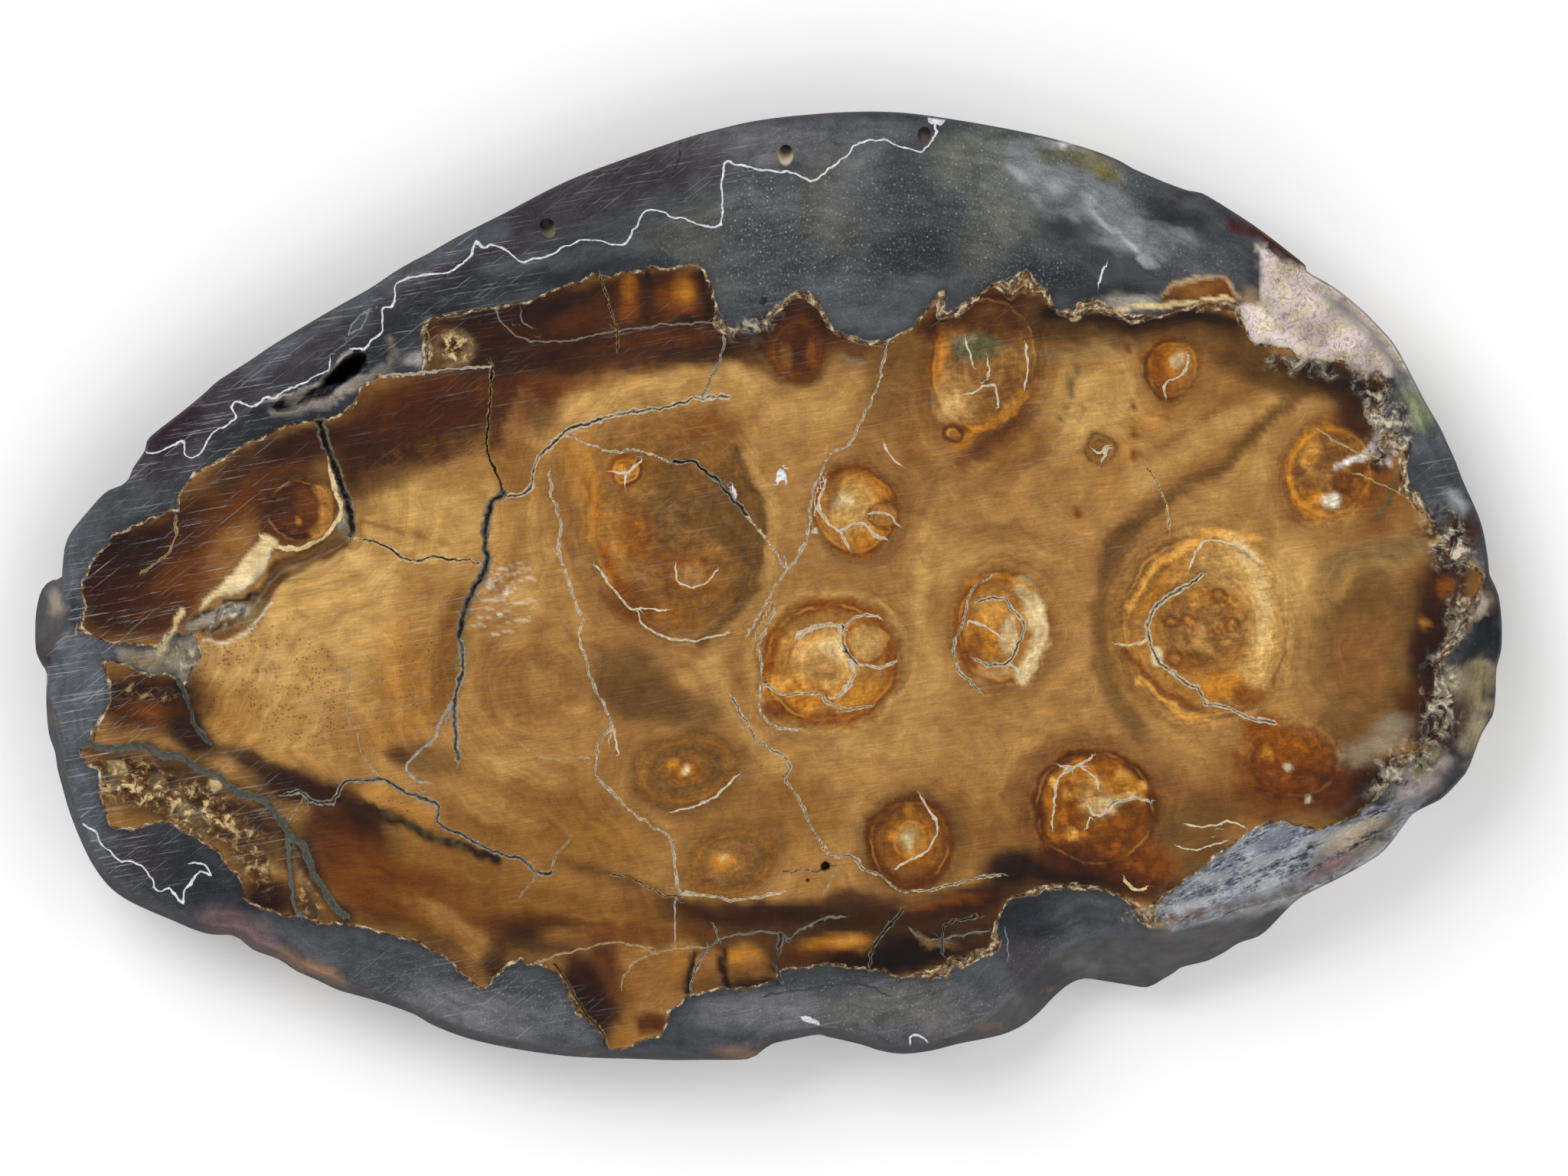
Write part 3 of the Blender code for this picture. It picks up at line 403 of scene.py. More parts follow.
# Two rough pale patches of the rind, and the fill of the crevice's lower end.
BONE_PATCH = [
    (1646, 323), (1706, 353), (1741, 374), (1783, 408), (1819, 446), (1840, 480), (1809, 490),
    (1762, 480), (1734, 475), (1700, 469), (1683, 454), (1640, 452), (1612, 400), (1650, 395), (1652, 345),
]
CHALK_PATCH = [
    (1505, 1180), (1530, 1165), (1560, 1140), (1600, 1110), (1640, 1080), (1660, 1072), (1700, 1080),
    (1760, 1072), (1810, 1050), (1850, 1040), (1880, 1040), (1845, 1064), (1800, 1118), (1759, 1142),
    (1717, 1163), (1660, 1190), (1600, 1200), (1530, 1212),
]
FILL_PATCH = [
    (150, 846), (205, 850), (215, 840), (235, 830), (245, 822), (255, 835), (262, 850), (255, 870),
    (245, 895), (235, 890), (225, 878), (190, 880), (160, 868),
]
WORN_PLACES = [
    (1690, 385, 60, 34, 40, 0.0012), (1752, 425, 66, 36, 42, 0.0020), (1806, 470, 58, 34, 52, 0.0022),
    (1668, 322, 34, 13, 38, 0.0009), (1800, 1095, 84, 40, -36, 0.0030), (1730, 1130, 84, 38, -30, 0.0034),
    (1655, 1140, 80, 40, -32, 0.0026), (1578, 1172, 62, 30, -24, 0.0018), (1880, 1010, 62, 40, -52, 0.0016),
    (1948, 905, 62, 34, 88, 0.0013), (1950, 800, 50, 22, 80, 0.0010),
]

LEFTMOST = min(x for x, _ in SILHOUETTE)
RIGHTMOST = max(x for x, _ in SILHOUETTE)
HIGHEST = min(y for _, y in SILHOUETTE)
LOWEST = max(y for _, y in SILHOUETTE)
MIDDLE_X, MIDDLE_Y = (LEFTMOST + RIGHTMOST) / 2, (HIGHEST + LOWEST) / 2
M_PER_PX = LENGTH / (RIGHTMOST - LEFTMOST)
MM_PER_PX = M_PER_PX * 1000


def at(x, y):
    """The place on the slab of a picture point."""
    return Vector(((x - MIDDLE_X) * M_PER_PX, (MIDDLE_Y - y) * M_PER_PX))


def picture_points(places):
    """The picture points of many places on the slab, as an array."""
    return np.stack([places[:, 0] / M_PER_PX + MIDDLE_X, MIDDLE_Y - places[:, 1] / M_PER_PX], axis=1)


def curve_point(before, start, end, after, share):
    """A point on the smooth curve from start to end, by Catmull and Rom's rule."""
    bend = 2 * before - 5 * start + 4 * end - after
    twist = 3 * start - before - 3 * end + after
    return start + 0.5 * share * (end - before + share * (bend + share * twist))


def smooth_pairs(outer, inner, step):
    """Both closed curves through their points, with the same number of points, about step apart."""
    pairs = []
    count = len(outer)
    for i in range(count):
        around = [(i + k) % count for k in (-1, 0, 1, 2)]
        parts = max(1, round((outer[around[2]] - outer[i]).length / step))
        for part in range(parts):
            share = part / parts
            on_outer = curve_point(*(outer[k] for k in around), share)
            on_inner = curve_point(*(inner[k] for k in around), share)
            pairs.append((on_outer, on_inner))
    return pairs


def inward_normals(points, reach=2):
    """The direction into the slab at each point of a clockwise outline, smoothed over its neighbours."""
    count = len(points)
    normals = []
    for i in range(count):
        along = points[(i + reach) % count] - points[i - reach]
        normals.append(Vector((along.y, -along.x)).normalized())
    return normals


def face_edge_points():
    """The edge of the polished face, one point for each point of the silhouette."""
    outer = [at(*point) for point in SILHOUETTE]
    inner = []
    for point, place, inward in zip(SILHOUETTE, outer, inward_normals(outer)):
        if point in FACE_EDGE:
            inner.append(at(*FACE_EDGE[point]))
        else:
            inset = LOWER_INSET if point in LOWER_EDGE else CLEAN_INSET
            inner.append(place + inward * inset)
    return outer, inner


def smooth_step(low, high, values):
    share = np.clip((values - low) / (high - low), 0.0, 1.0)
    return share * share * (3 - 2 * share)


def way_distance(points, way, reach):
    """Distance of each picture point to a line through way, as far as reach, and its side of the line."""
    way = np.array(way, dtype=float)
    best = np.full(len(points), float(reach))
    side = np.ones(len(points))
    low, high = way.min(axis=0) - reach, way.max(axis=0) + reach
    near = np.nonzero(np.all((points > low) & (points < high), axis=1))[0]
    spots = points[near]
    close, sign = best[near], side[near]
    for start, end in zip(way, way[1:]):
        run = end - start
        share = np.clip((spots - start) @ run / (run @ run), 0.0, 1.0)
        offset = spots - start - share[:, None] * run
        distance = np.hypot(offset[:, 0], offset[:, 1])
        closer = distance < close
        turn = run[0] * offset[:, 1] - run[1] * offset[:, 0]
        close = np.where(closer, distance, close)
        sign = np.where(closer, np.where(turn < 0, -1.0, 1.0), sign)
    best[near], side[near] = close, sign
    return best, side


def curved(way):
    """A picture way with two more points on the smooth curve in each stretch."""
    corners = [Vector(point) for point in way]
    last = len(corners) - 1
    fuller = []
    for i in range(last):
        around = [corners[min(max(i + k, 0), last)] for k in (-1, 0, 1, 2)]
        fuller += [tuple(curve_point(*around, share)) for share in (0.0, 1 / 3, 2 / 3)]
    return fuller + [tuple(corners[last])]


CURVED_LINES = {name: curved(line[-1]) for name, line in LINES.items()}


def inside(points, ring):
    """Which picture points lie inside a closed ring."""
    ring = np.array(ring, dtype=float)
    within = np.zeros(len(points), dtype=bool)
    x, y = points[:, 0], points[:, 1]
    for (ax, ay), (bx, by) in zip(ring, np.roll(ring, -1, axis=0)):
        if ay == by:
            continue
        spans = (ay > y) != (by > y)
        within ^= spans & (x < (bx - ax) * (y - ay) / (by - ay) + ax)
    return within


def ring_side(points, ring, reach):
    """Distance of each picture point to a closed ring, above zero inside it."""
    distance, _ = way_distance(points, list(ring) + [ring[0]], reach)
    return np.where(inside(points, ring), distance, -distance)


def patch_reach(points, x, y, half_x, half_y, turn=0.0):
    """1 on the rim of a turned ellipse, 0 in its middle."""
    angle = math.radians(turn)
    dx, dy = points[:, 0] - x, points[:, 1] - y
    along = (dx * math.cos(angle) + dy * math.sin(angle)) / half_x
    across = (-dx * math.sin(angle) + dy * math.cos(angle)) / half_y
    return np.hypot(along, across)


def field_noise(places, size, seed, octaves=3):
    """Smooth noise in -1 to 1 at many places, with features about size metres long."""
    shift = Vector((seed * 3.7, seed * 1.3, seed * 7.1))
    return np.array([noise.fractal(Vector(p) / size + shift, 1.0, 2.0, octaves) for p in places])


# Shape of the slab.
def wall_bump(x, y, z):
    """0 to 1: how far the natural wall is pressed in at a place."""
    where = Vector((x, y, z * 1.6)) / WALL_BUMP_LENGTH
    return min(1.0, max(0.0, 0.45 + 0.55 * noise.fractal(where, 0.9, 2.1, 4)))


def wall_levels(outer, inner, inward, lower_levels):
    """The points of the wall at one place of the edge, from the polished face down to the back."""
    run = (outer - inner).length
    drop = min(MOST_FLARE_DROP, EDGE_ROUNDING * 2 + FLARE_SLOPE * max(0.0, run - CLEAN_INSET))
    levels = []
    for share in (0.0, 0.12, 0.3, 0.5, 0.75, 1.0):
        spot = inner.lerp(outer, share)
        ripple = run * (wall_bump(spot.x, spot.y, 0.004) - 0.5) * math.sin(math.pi * share)
        z = THICKNESS - drop * share ** 1.3 - max(0.0, 0.3 * ripple)
        levels.append((spot, z))
    lowest = THICKNESS - drop
    for level in range(1, lower_levels):
        share = level / lower_levels
        z = lowest * (1 - share)
        coarse = wall_bump(outer.x, outer.y, z) * min(1.0, share * 3.4)
        ridge = 0.5 + 0.5 * noise.noise(Vector((outer.x * 260, outer.y * 260, z * 900)))
        press = WALL_BUMPS * coarse + 0.00028 * ridge
        levels.append((outer + inward * (press + BACK_TURN_IN * share ** 3), z))
    levels.append((outer + inward * (BACK_TURN_IN + 0.5 * WALL_BUMPS), 0.0))
    return levels


def evened(points):
    """The outline with each point drawn to its neighbours, which undoes any fold of an inward step."""
    count = len(points)
    return [(points[i - 1] + points[i] * 2 + points[(i + 1) % count]) / 4 for i in range(count)]


def remove_pinches(bm, verts):
    """Takes out grid points where two boundary runs touch, so that each run is a plain loop."""
    live = [v for v in verts if v.is_valid]
    while True:
        pinched = [v for v in live if v.is_valid and sum(e.is_boundary for e in v.link_edges) > 2]
        loose = [v for v in live if v.is_valid and not v.link_faces]
        if not pinched and not loose:
            return
        bmesh.ops.delete(bm, geom=pinched + loose, context="VERTS")
        live = [v for v in live if v.is_valid]


def make_grid(bm, rim, height, step):
    """A square grid over the inside of a rim (picture points), one step clear of it."""
    low, high = at(LEFTMOST, LOWEST), at(RIGHTMOST, HIGHEST)
    size = high - low
    before = set(bm.faces)
    made = bmesh.ops.create_grid(
        bm, x_segments=round(size.x / step), y_segments=round(size.y / step), size=0.5)
    place = Matrix.Translation(((low.x + high.x) / 2, (low.y + high.y) / 2, height))
    bmesh.ops.transform(bm, matrix=place @ Matrix.Diagonal((size.x, size.y, 1, 1)), verts=made["verts"])
    spots = picture_points(np.array([v.co[:] for v in made["verts"]]))
    depth = ring_side(spots, rim, 40)
    keep = depth > 0.8 * step / M_PER_PX
    outside = [v for v, kept in zip(made["verts"], keep) if not kept]
    bmesh.ops.delete(bm, geom=outside, context="VERTS")
    remove_pinches(bm, [v for v in made["verts"] if v.is_valid])
    return [f for f in bm.faces if f not in before]


def jittered(points, places):
    """Picture points pushed about by small noise, so that a drawn line comes out ragged."""
    flat = places * np.array([1, 1, 0.0])
    coarse = np.stack([field_noise(flat, 0.0011, 11, 2), field_noise(flat, 0.0011, 12, 2)], axis=1)
    fine = np.stack([field_noise(flat, 0.00045, 13, 2), field_noise(flat, 0.00045, 14, 2)], axis=1)
    return points + 3.0 * coarse + 1.3 * fine


def line_reach(spots, deep_only):
    """Distance in pixels from each spot to the nearest thin line, beyond its own half width."""
    best = np.full(len(spots), 60.0)
    for name, (half, _, depth, _, _) in LINES.items():
        if deep_only and depth < 0.25:
            continue
        best = np.minimum(best, way_distance(spots, CURVED_LINES[name], 60)[0] - half)
    if not deep_only:
        best = np.minimum(best, way_distance(spots, CORE_EDGE + CORE_EDGE[:1], 60)[0])
    cavity = np.abs(ring_side(spots, CAVITY_RIM, 60)) - 2
    for x, y, radius, _, _ in PITS:
        best = np.minimum(best, np.hypot(spots[:, 0] - x, spots[:, 1] - y) - radius)
    return np.minimum(best, cavity)


def stone_reach(spots):
    """Distance in pixels from each spot to the nearest pulp stone, its crowded inside or the crevice."""
    best = way_distance(spots, CREVICE_WAY, 90)[0] - 56
    best = np.minimum(best, (patch_reach(spots, 655, 780, 50, 52) - 1) * 50)
    best = np.minimum(best, (patch_reach(spots, 1560, 388, 66, 30) - 1) * 30)
    for name, (x, y, half_x, half_y, turn) in STONES.items():
        reach = patch_reach(spots, x, y, half_x, half_y, turn)
        gap = (reach - 1.02) * math.sqrt(half_x * half_y)
        best = np.minimum(best, np.abs(gap) if name in ("pear", "faint", "green") else gap)
    return best


def refine(bm, faces, reach, deep_only):
    """Splits the faces close to the thin lines into four."""
    middles = picture_points(np.array([f.calc_center_median()[:] for f in faces]))
    close = line_reach(middles, deep_only) < reach
    if not deep_only:
        close |= stone_reach(middles) < reach
    edges = {e for face, hit in zip(faces, close) if hit for e in face.edges}
    kept = {f for f in bm.faces} - set(faces)
    bmesh.ops.subdivide_edges(bm, edges=list(edges), cuts=1, use_grid_fill=True)
    return [f for f in bm.faces if f not in kept]


def face_drop(spots):
    """How far the polished face lies below its plane at each picture point, in metres."""
    drop = np.zeros(len(spots))
    for name, (half, _, depth, _, _) in LINES.items():
        if depth:
            distance, _ = way_distance(spots, CURVED_LINES[name], half * 2)
            drop = np.maximum(drop, 0.001 * depth * (1 - smooth_step(0.2 * half, 0.9 * half, distance)))
    distance, _ = way_distance(spots, CREVICE_WAY, 40)
    drop = np.maximum(drop, CREVICE_DEPTH * (1 - smooth_step(0.2 * CREVICE_HALF, 1.3 * CREVICE_HALF, distance)))
    distance, _ = way_distance(spots, CAVITY_GROOVE, 30)
    drop = np.maximum(drop, 0.0016 * (1 - smooth_step(3, 9, distance)))
    depth = ring_side(spots, CAVITY_RIM, 40)
    drop = np.maximum(drop, CAVITY_DEPTH * smooth_step(-1.0, 12.0, depth))
    for x, y, radius, depth, _ in PITS:
        reach = np.hypot(spots[:, 0] - x, spots[:, 1] - y) / radius
        drop = np.maximum(drop, 0.001 * depth * (1 - smooth_step(0.5, 1.05, reach)))
    return drop


def worn_drop(spots, places):
    """How deep the face is broken away at its rough places, and how rough it is there (0 to 1)."""
    drop = np.zeros(len(spots))
    rough = np.zeros(len(spots))
    near = np.zeros(len(spots), dtype=bool)
    for x, y, along, across, turn, depth in WORN_PLACES:
        reach = 1.0 - patch_reach(spots, x, y, along, across, turn) / 1.5
        drop = np.maximum(drop, depth * 1.5 * np.clip(reach, 0, 1) - 0.00018)
        rough = np.maximum(rough, smooth_step(0.02, 0.3, reach))
        near |= reach > 0
    which = np.nonzero(near)[0]
    chips = field_noise(places[which], 0.0014, 5, 4)
    drop[which] += 0.00045 * chips * rough[which]
    return np.clip(drop, 0, None), rough


def hole_bars(bm):
    """The drills' paths: round bars through the face that head sideways as they go down."""
    for centre, radius, heading, slant, _ in HOLES:
        place = at(*centre)
        made = bmesh.ops.create_cone(
            bm, cap_ends=True, segments=28, radius1=radius, radius2=radius, depth=HOLE_LENGTH * 2)
        turn = Matrix.Rotation(math.radians(slant), 4, Vector((heading[1], -heading[0], 0)))
        mouth = Matrix.Translation((place.x, place.y, THICKNESS))
        bmesh.ops.transform(bm, matrix=mouth @ turn, verts=made["verts"])
    for depth in (0.0004, 0.0009, 0.0014, 0.0021):
        geometry = bm.verts[:] + bm.edges[:] + bm.faces[:]
        bmesh.ops.bisect_plane(bm, geom=geometry, plane_co=(0, 0, THICKNESS - depth), plane_no=(0, 0, 1))
    bmesh.ops.recalc_face_normals(bm, faces=bm.faces)


def object_from(bm, name):
    mesh = bpy.data.meshes.new(name)
    bmesh.ops.triangulate(bm, faces=bm.faces)
    bm.to_mesh(mesh)
    bm.free()
    obj = bpy.data.objects.new(name, mesh)
    bpy.context.scene.collection.objects.link(obj)
    return obj


def slab_shape(settings):
    """The whole slab: fine face, wall rings, coarse back, grooves pressed in and holes bored through."""
    outer_points, inner_points = face_edge_points()
    pairs = smooth_pairs(outer_points, inner_points, settings.wall_step)
    normals = inward_normals([outer for outer, _ in pairs], 4)
    columns = [
        wall_levels(outer, inner, inward, settings.wall_levels)
        for (outer, inner), inward in zip(pairs, normals)
    ]
    flats = []
    for level in range(len(columns[0])):
        flat = [column[level][0] for column in columns]
        flats.append(flat if level < 6 else evened(evened(flat)))
    rims = [picture_points(np.array([p[:] for p in flats[level]])) for level in (0, -1)]

    bm = bmesh.new()
    face = make_grid(bm, [tuple(p) for p in rims[0][::3]], THICKNESS, settings.face_step)
    face = refine(bm, face, settings.line_reach, False)
    face = refine(bm, face, settings.line_reach * 0.4, True)
    face_verts = list({v for f in face for v in f.verts})
    face_rim = [e for e in bm.edges if e.is_boundary]
    back = make_grid(bm, [tuple(p) for p in rims[1][::3]], 0.0, settings.back_step)
    back_rim = list({e for f in back for e in f.edges if e.is_boundary})

    rings = []
    for level, flat in enumerate(flats):
        heights = [column[level][1] for column in columns]
        verts = [bm.verts.new((p.x, p.y, z)) for p, z in zip(flat, heights)]
        rings.append([bm.edges.new((verts[i - 1], verts[i])) for i in range(len(verts))])
    for upper, lower in zip(rings, rings[1:]):
        bmesh.ops.bridge_loops(bm, edges=upper + lower)
    bmesh.ops.triangle_fill(bm, edges=face_rim + rings[0], use_beauty=True)
    bmesh.ops.triangle_fill(bm, edges=back_rim + rings[-1], use_beauty=True)

    places = np.array([v.co[:] for v in face_verts])
    spots = picture_points(places)
    worn, _ = worn_drop(spots, places)
    drops = np.maximum(face_drop(jittered(spots, places)), worn)
    for vert, drop in zip(face_verts, drops):
        vert.co.z -= drop
    bmesh.ops.recalc_face_normals(bm, faces=bm.faces)
    slab = object_from(bm, "polished_slab")

    bars = bmesh.new()
    hole_bars(bars)
    cutter = object_from(bars, "hole_bars")
    boring = slab.modifiers.new("holes", "BOOLEAN")
    boring.operation = "DIFFERENCE"
    boring.solver = "EXACT"
    boring.object = cutter
    bpy.context.view_layer.update()
    bored = bpy.data.meshes.new_from_object(slab.evaluated_get(bpy.context.evaluated_depsgraph_get()))
    slab.modifiers.clear()
    slab.data = bored
    bored.name = "polished_slab"
    bpy.data.objects.remove(cutter, do_unlink=True)
    slab.data.shade_smooth()
    slab.data.set_sharp_from_angle(angle=math.radians(36))
    return slab


# Paint.
def light_of(colour):
    """A display colour out of 255 as light values, less the sheen and the gain of the lamps."""
    light = [((c / 255 + 0.055) / 1.055) ** 2.4 if c > 10 else c / 255 / 12.92 for c in colour]
    return np.array([max(value - SHEEN, 0.15 * value) / LAMP_GAIN for value in light])


class Canvas:
    """Colours at the slab's points, laid on as soft patches and strokes in picture pixels."""

    def __init__(self, points, base):
        self.points = points
        self.colour = np.tile(light_of(base), (len(points), 1))

    def lay(self, mask, colour):
        self.colour += mask[:, None] * (light_of(colour) - self.colour)

    def patch(self, colour, x, y, half_x, half_y=None, turn=0, strength=1.0, soft=0.45):
        reach = patch_reach(self.points, x, y, half_x, half_y or half_x, turn)
        self.lay(strength * (1 - smooth_step(1 - soft, 1 + soft, reach)), colour)

    def rim(self, colour, x, y, half_x, half_y, turn=0, width=0.12, strength=1.0):
        reach = patch_reach(self.points, x, y, half_x, half_y, turn)
        self.lay(strength * (1 - smooth_step(0.3 * width, width, np.abs(reach - 1))), colour)

    def stroke(self, colour, half, way, strength=1.0, soft=0.5):
        distance, _ = way_distance(self.points, way, half * 2.2)
        self.lay(strength * (1 - smooth_step(half * (1 - soft), half * (1 + soft), distance)), colour)

    def area(self, colour, ring, strength=1.0, soft=8.0):
        depth = ring_side(self.points, ring, soft * 3)
        self.lay(strength * smooth_step(-soft, soft, depth), colour)


def paint_left_lobe(canvas):
    canvas.patch(WALNUT, 250, 720, 190, 70, -38)
    canvas.patch(BARK, 150, 740, 60, 60)
    canvas.patch(UMBER, 185, 715, 45, 25, -30)
    canvas.patch(RUSSET, 330, 645, 90, 22, -44, 0.7)
    canvas.patch(HAZEL, 300, 720, 62, 20, -50, 0.9)
    canvas.patch(RUSSET, 235, 765, 60, 26, -40, 0.7)
    canvas.patch(BARK, 165, 802, 60, 26)
    canvas.patch(WALNUT, 210, 800, 40, 22, -20)
    canvas.patch(BARK, 400, 582, 60, 24, -20)
    canvas.patch(UMBER, 330, 600, 60, 20, -28, 0.8)
    canvas.patch(WALNUT, 391, 668, 62, 56)
    canvas.patch(CHESTNUT, 391, 668, 46, 42, 0, 0.95, 0.12)
    canvas.rim(BARK, 389, 668, 38, 34, 0, 0.25, 0.7)
    canvas.stroke(BUTTERSCOTCH, 8, [(418, 640), (428, 660), (426, 684), (412, 700)], 0.9)
    canvas.patch(BARK, 372, 664, 20, 18, 0, 0.7)
    canvas.patch(RUSSET, 396, 660, 12, 20, 0, 0.9)
    canvas.patch(BUTTERSCOTCH, 391, 682, 4, 4)


def paint_upper_plate(canvas):
    canvas.patch(WALNUT, 540, 560, 110, 60, -12)
    canvas.patch(BARK, 480, 600, 50, 60)
    canvas.patch(CHESTNUT, 600, 520, 140, 38, -8)
    canvas.patch(RUSSET, 700, 500, 90, 25, -12, 0.7)
    canvas.patch(BARK, 575, 545, 90, 36, -12, 0.7)
    canvas.patch(BARK, 690, 440, 140, 48, -10)
    canvas.patch(BARK, 780, 420, 130, 50, -8)
    canvas.patch(UMBER, 620, 445, 60, 34)
    canvas.patch(CHESTNUT, 760, 412, 40, 20, -8, 0.8)
    canvas.patch(UMBER, 690, 470, 60, 14, -8)
    canvas.patch(CHESTNUT, 660, 420, 50, 12, -8, 0.6)
    canvas.area(WALNUT, [(770, 372), (835, 358), (920, 350), (940, 372), (946, 430), (860, 440), (780, 452)], 1.0, 6)
    canvas.patch(RUST, 822, 386, 13, 28, 0)
    canvas.patch(AMBER, 822, 376, 8, 16, 0, 0.8)
    canvas.patch(RUST, 886, 384, 24, 28, 0)
    canvas.patch(AMBER, 890, 378, 14, 18, 0, 0.9)
    canvas.stroke(BARK, 4, [(846, 356), (850, 400), (846, 430)])
    canvas.stroke(UMBER, 5, [(914, 352), (924, 390), (926, 424)])
    canvas.patch(CHESTNUT, 762, 396, 12, 18, 0, 0.7)
    canvas.stroke(BARK, 9, [(600, 475), (700, 455), (800, 445), (930, 432)], 0.8)
    canvas.stroke(UMBER, 12, [(560, 430), (640, 420), (700, 412), (760, 390)], 0.7)
    canvas.patch(UMBER, 900, 425, 26, 14)
    canvas.patch(CHESTNUT, 860, 458, 100, 26, -10)
    canvas.patch(BARK, 800, 470, 80, 14, -10, 0.9)
    canvas.patch(UMBER, 910, 462, 60, 16, -8, 0.9)
    canvas.stroke(LIGHT_HONEY, 20, [(700, 560), (745, 540), (800, 522), (860, 508), (930, 498), (980, 505)])
    canvas.patch(PALE_HONEY, 830, 516, 110, 18, -12, 1.0)
    canvas.patch(PALE_HONEY, 722, 572, 20, 26, 40, 0.8)
    canvas.patch(LIGHT_HONEY, 724, 560, 36, 20, 40)
    canvas.patch(LIGHT_HONEY, 960, 500, 44, 20)
    canvas.stroke(WALNUT, 20, [(672, 510), (668, 545), (658, 580)], 0.9)
    canvas.patch(LIGHT_HONEY, 560, 645, 90, 30, -16)
    canvas.patch(LIGHT_HONEY, 590, 690, 60, 40, 0)
    canvas.patch(HAZEL, 600, 622, 50, 16, -12, 0.7)
    canvas.patch(OLIVE_BROWN, 510, 625, 46, 16, -14, 0.6)
    canvas.stroke(HAZEL, 12, [(690, 520), (672, 560), (668, 600), (672, 630)], 0.8)
    canvas.patch(CHESTNUT, 706, 536, 30, 34, 30, 0.75)
    canvas.patch(TOBACCO, 674, 612, 28, 38, 10, 0.7)


def paint_left_field(canvas):
    canvas.patch(LIGHT_HONEY, 450, 830, 190, 150, -30)
    canvas.patch(BUFF, 330, 850, 76, 50, -20, 0.65)
    canvas.patch(PALE_HONEY, 430, 780, 90, 50, -20, 0.55)
    canvas.patch(BUFF, 480, 745, 60, 22, 10, 0.6)
    canvas.patch(BUTTERSCOTCH, 350, 950, 100, 40, 20, 0.6)
    canvas.patch(LIGHT_HONEY, 400, 950, 70, 40, 0, 0.7)
    canvas.patch(HONEY, 480, 940, 60, 50, 0, 0.8)
    canvas.patch(BUTTERSCOTCH, 540, 890, 52, 66, 0, 0.9)
    canvas.patch(BUTTERSCOTCH, 540, 800, 30, 70, 10, 0.5)
    canvas.patch(TOBACCO, 588, 850, 22, 95, 10)
    canvas.patch(HAZEL, 560, 760, 30, 30, 0, 0.5)
    canvas.patch(BUTTERSCOTCH, 500, 965, 60, 26, 0, 0.6)
    canvas.patch(OLIVE_BROWN, 560, 990, 50, 20, 10, 0.8)
    canvas.patch(WALNUT, 520, 985, 20, 10, 0, 0.8)
    canvas.stroke(HAZEL, 7, [(515, 860), (540, 845), (560, 862), (556, 890), (530, 900)], 0.5)
    canvas.stroke(HAZEL, 5, [(420, 850), (450, 880), (450, 920)], 0.4)
    canvas.patch(HONEY, 680, 780, 56, 150, 8)
    canvas.patch(LIGHT_HONEY, 690, 740, 26, 80, 6, 0.6)
    canvas.patch(HONEY, 660, 700, 36, 50)
    canvas.patch(HAZEL, 640, 880, 26, 60)
    canvas.patch(HAZEL, 704, 893, 50, 60, 0, 0.9)
    canvas.patch(HONEY, 716, 880, 30, 34, 0, 0.7)
    canvas.patch(HONEY, 700, 1000, 110, 30, 10)
    canvas.patch(LIGHT_HONEY, 680, 1010, 60, 16, 10, 0.8)
    canvas.patch(TOBACCO, 720, 1084, 130, 60, 10, 0.9)
    canvas.patch(HONEY, 650, 1055, 60, 20, 20, 0.8)
    canvas.patch(BUTTERSCOTCH, 790, 1090, 50, 30, 10, 0.5)
    canvas.patch(HAZEL, 690, 1115, 60, 20, 10, 0.6)


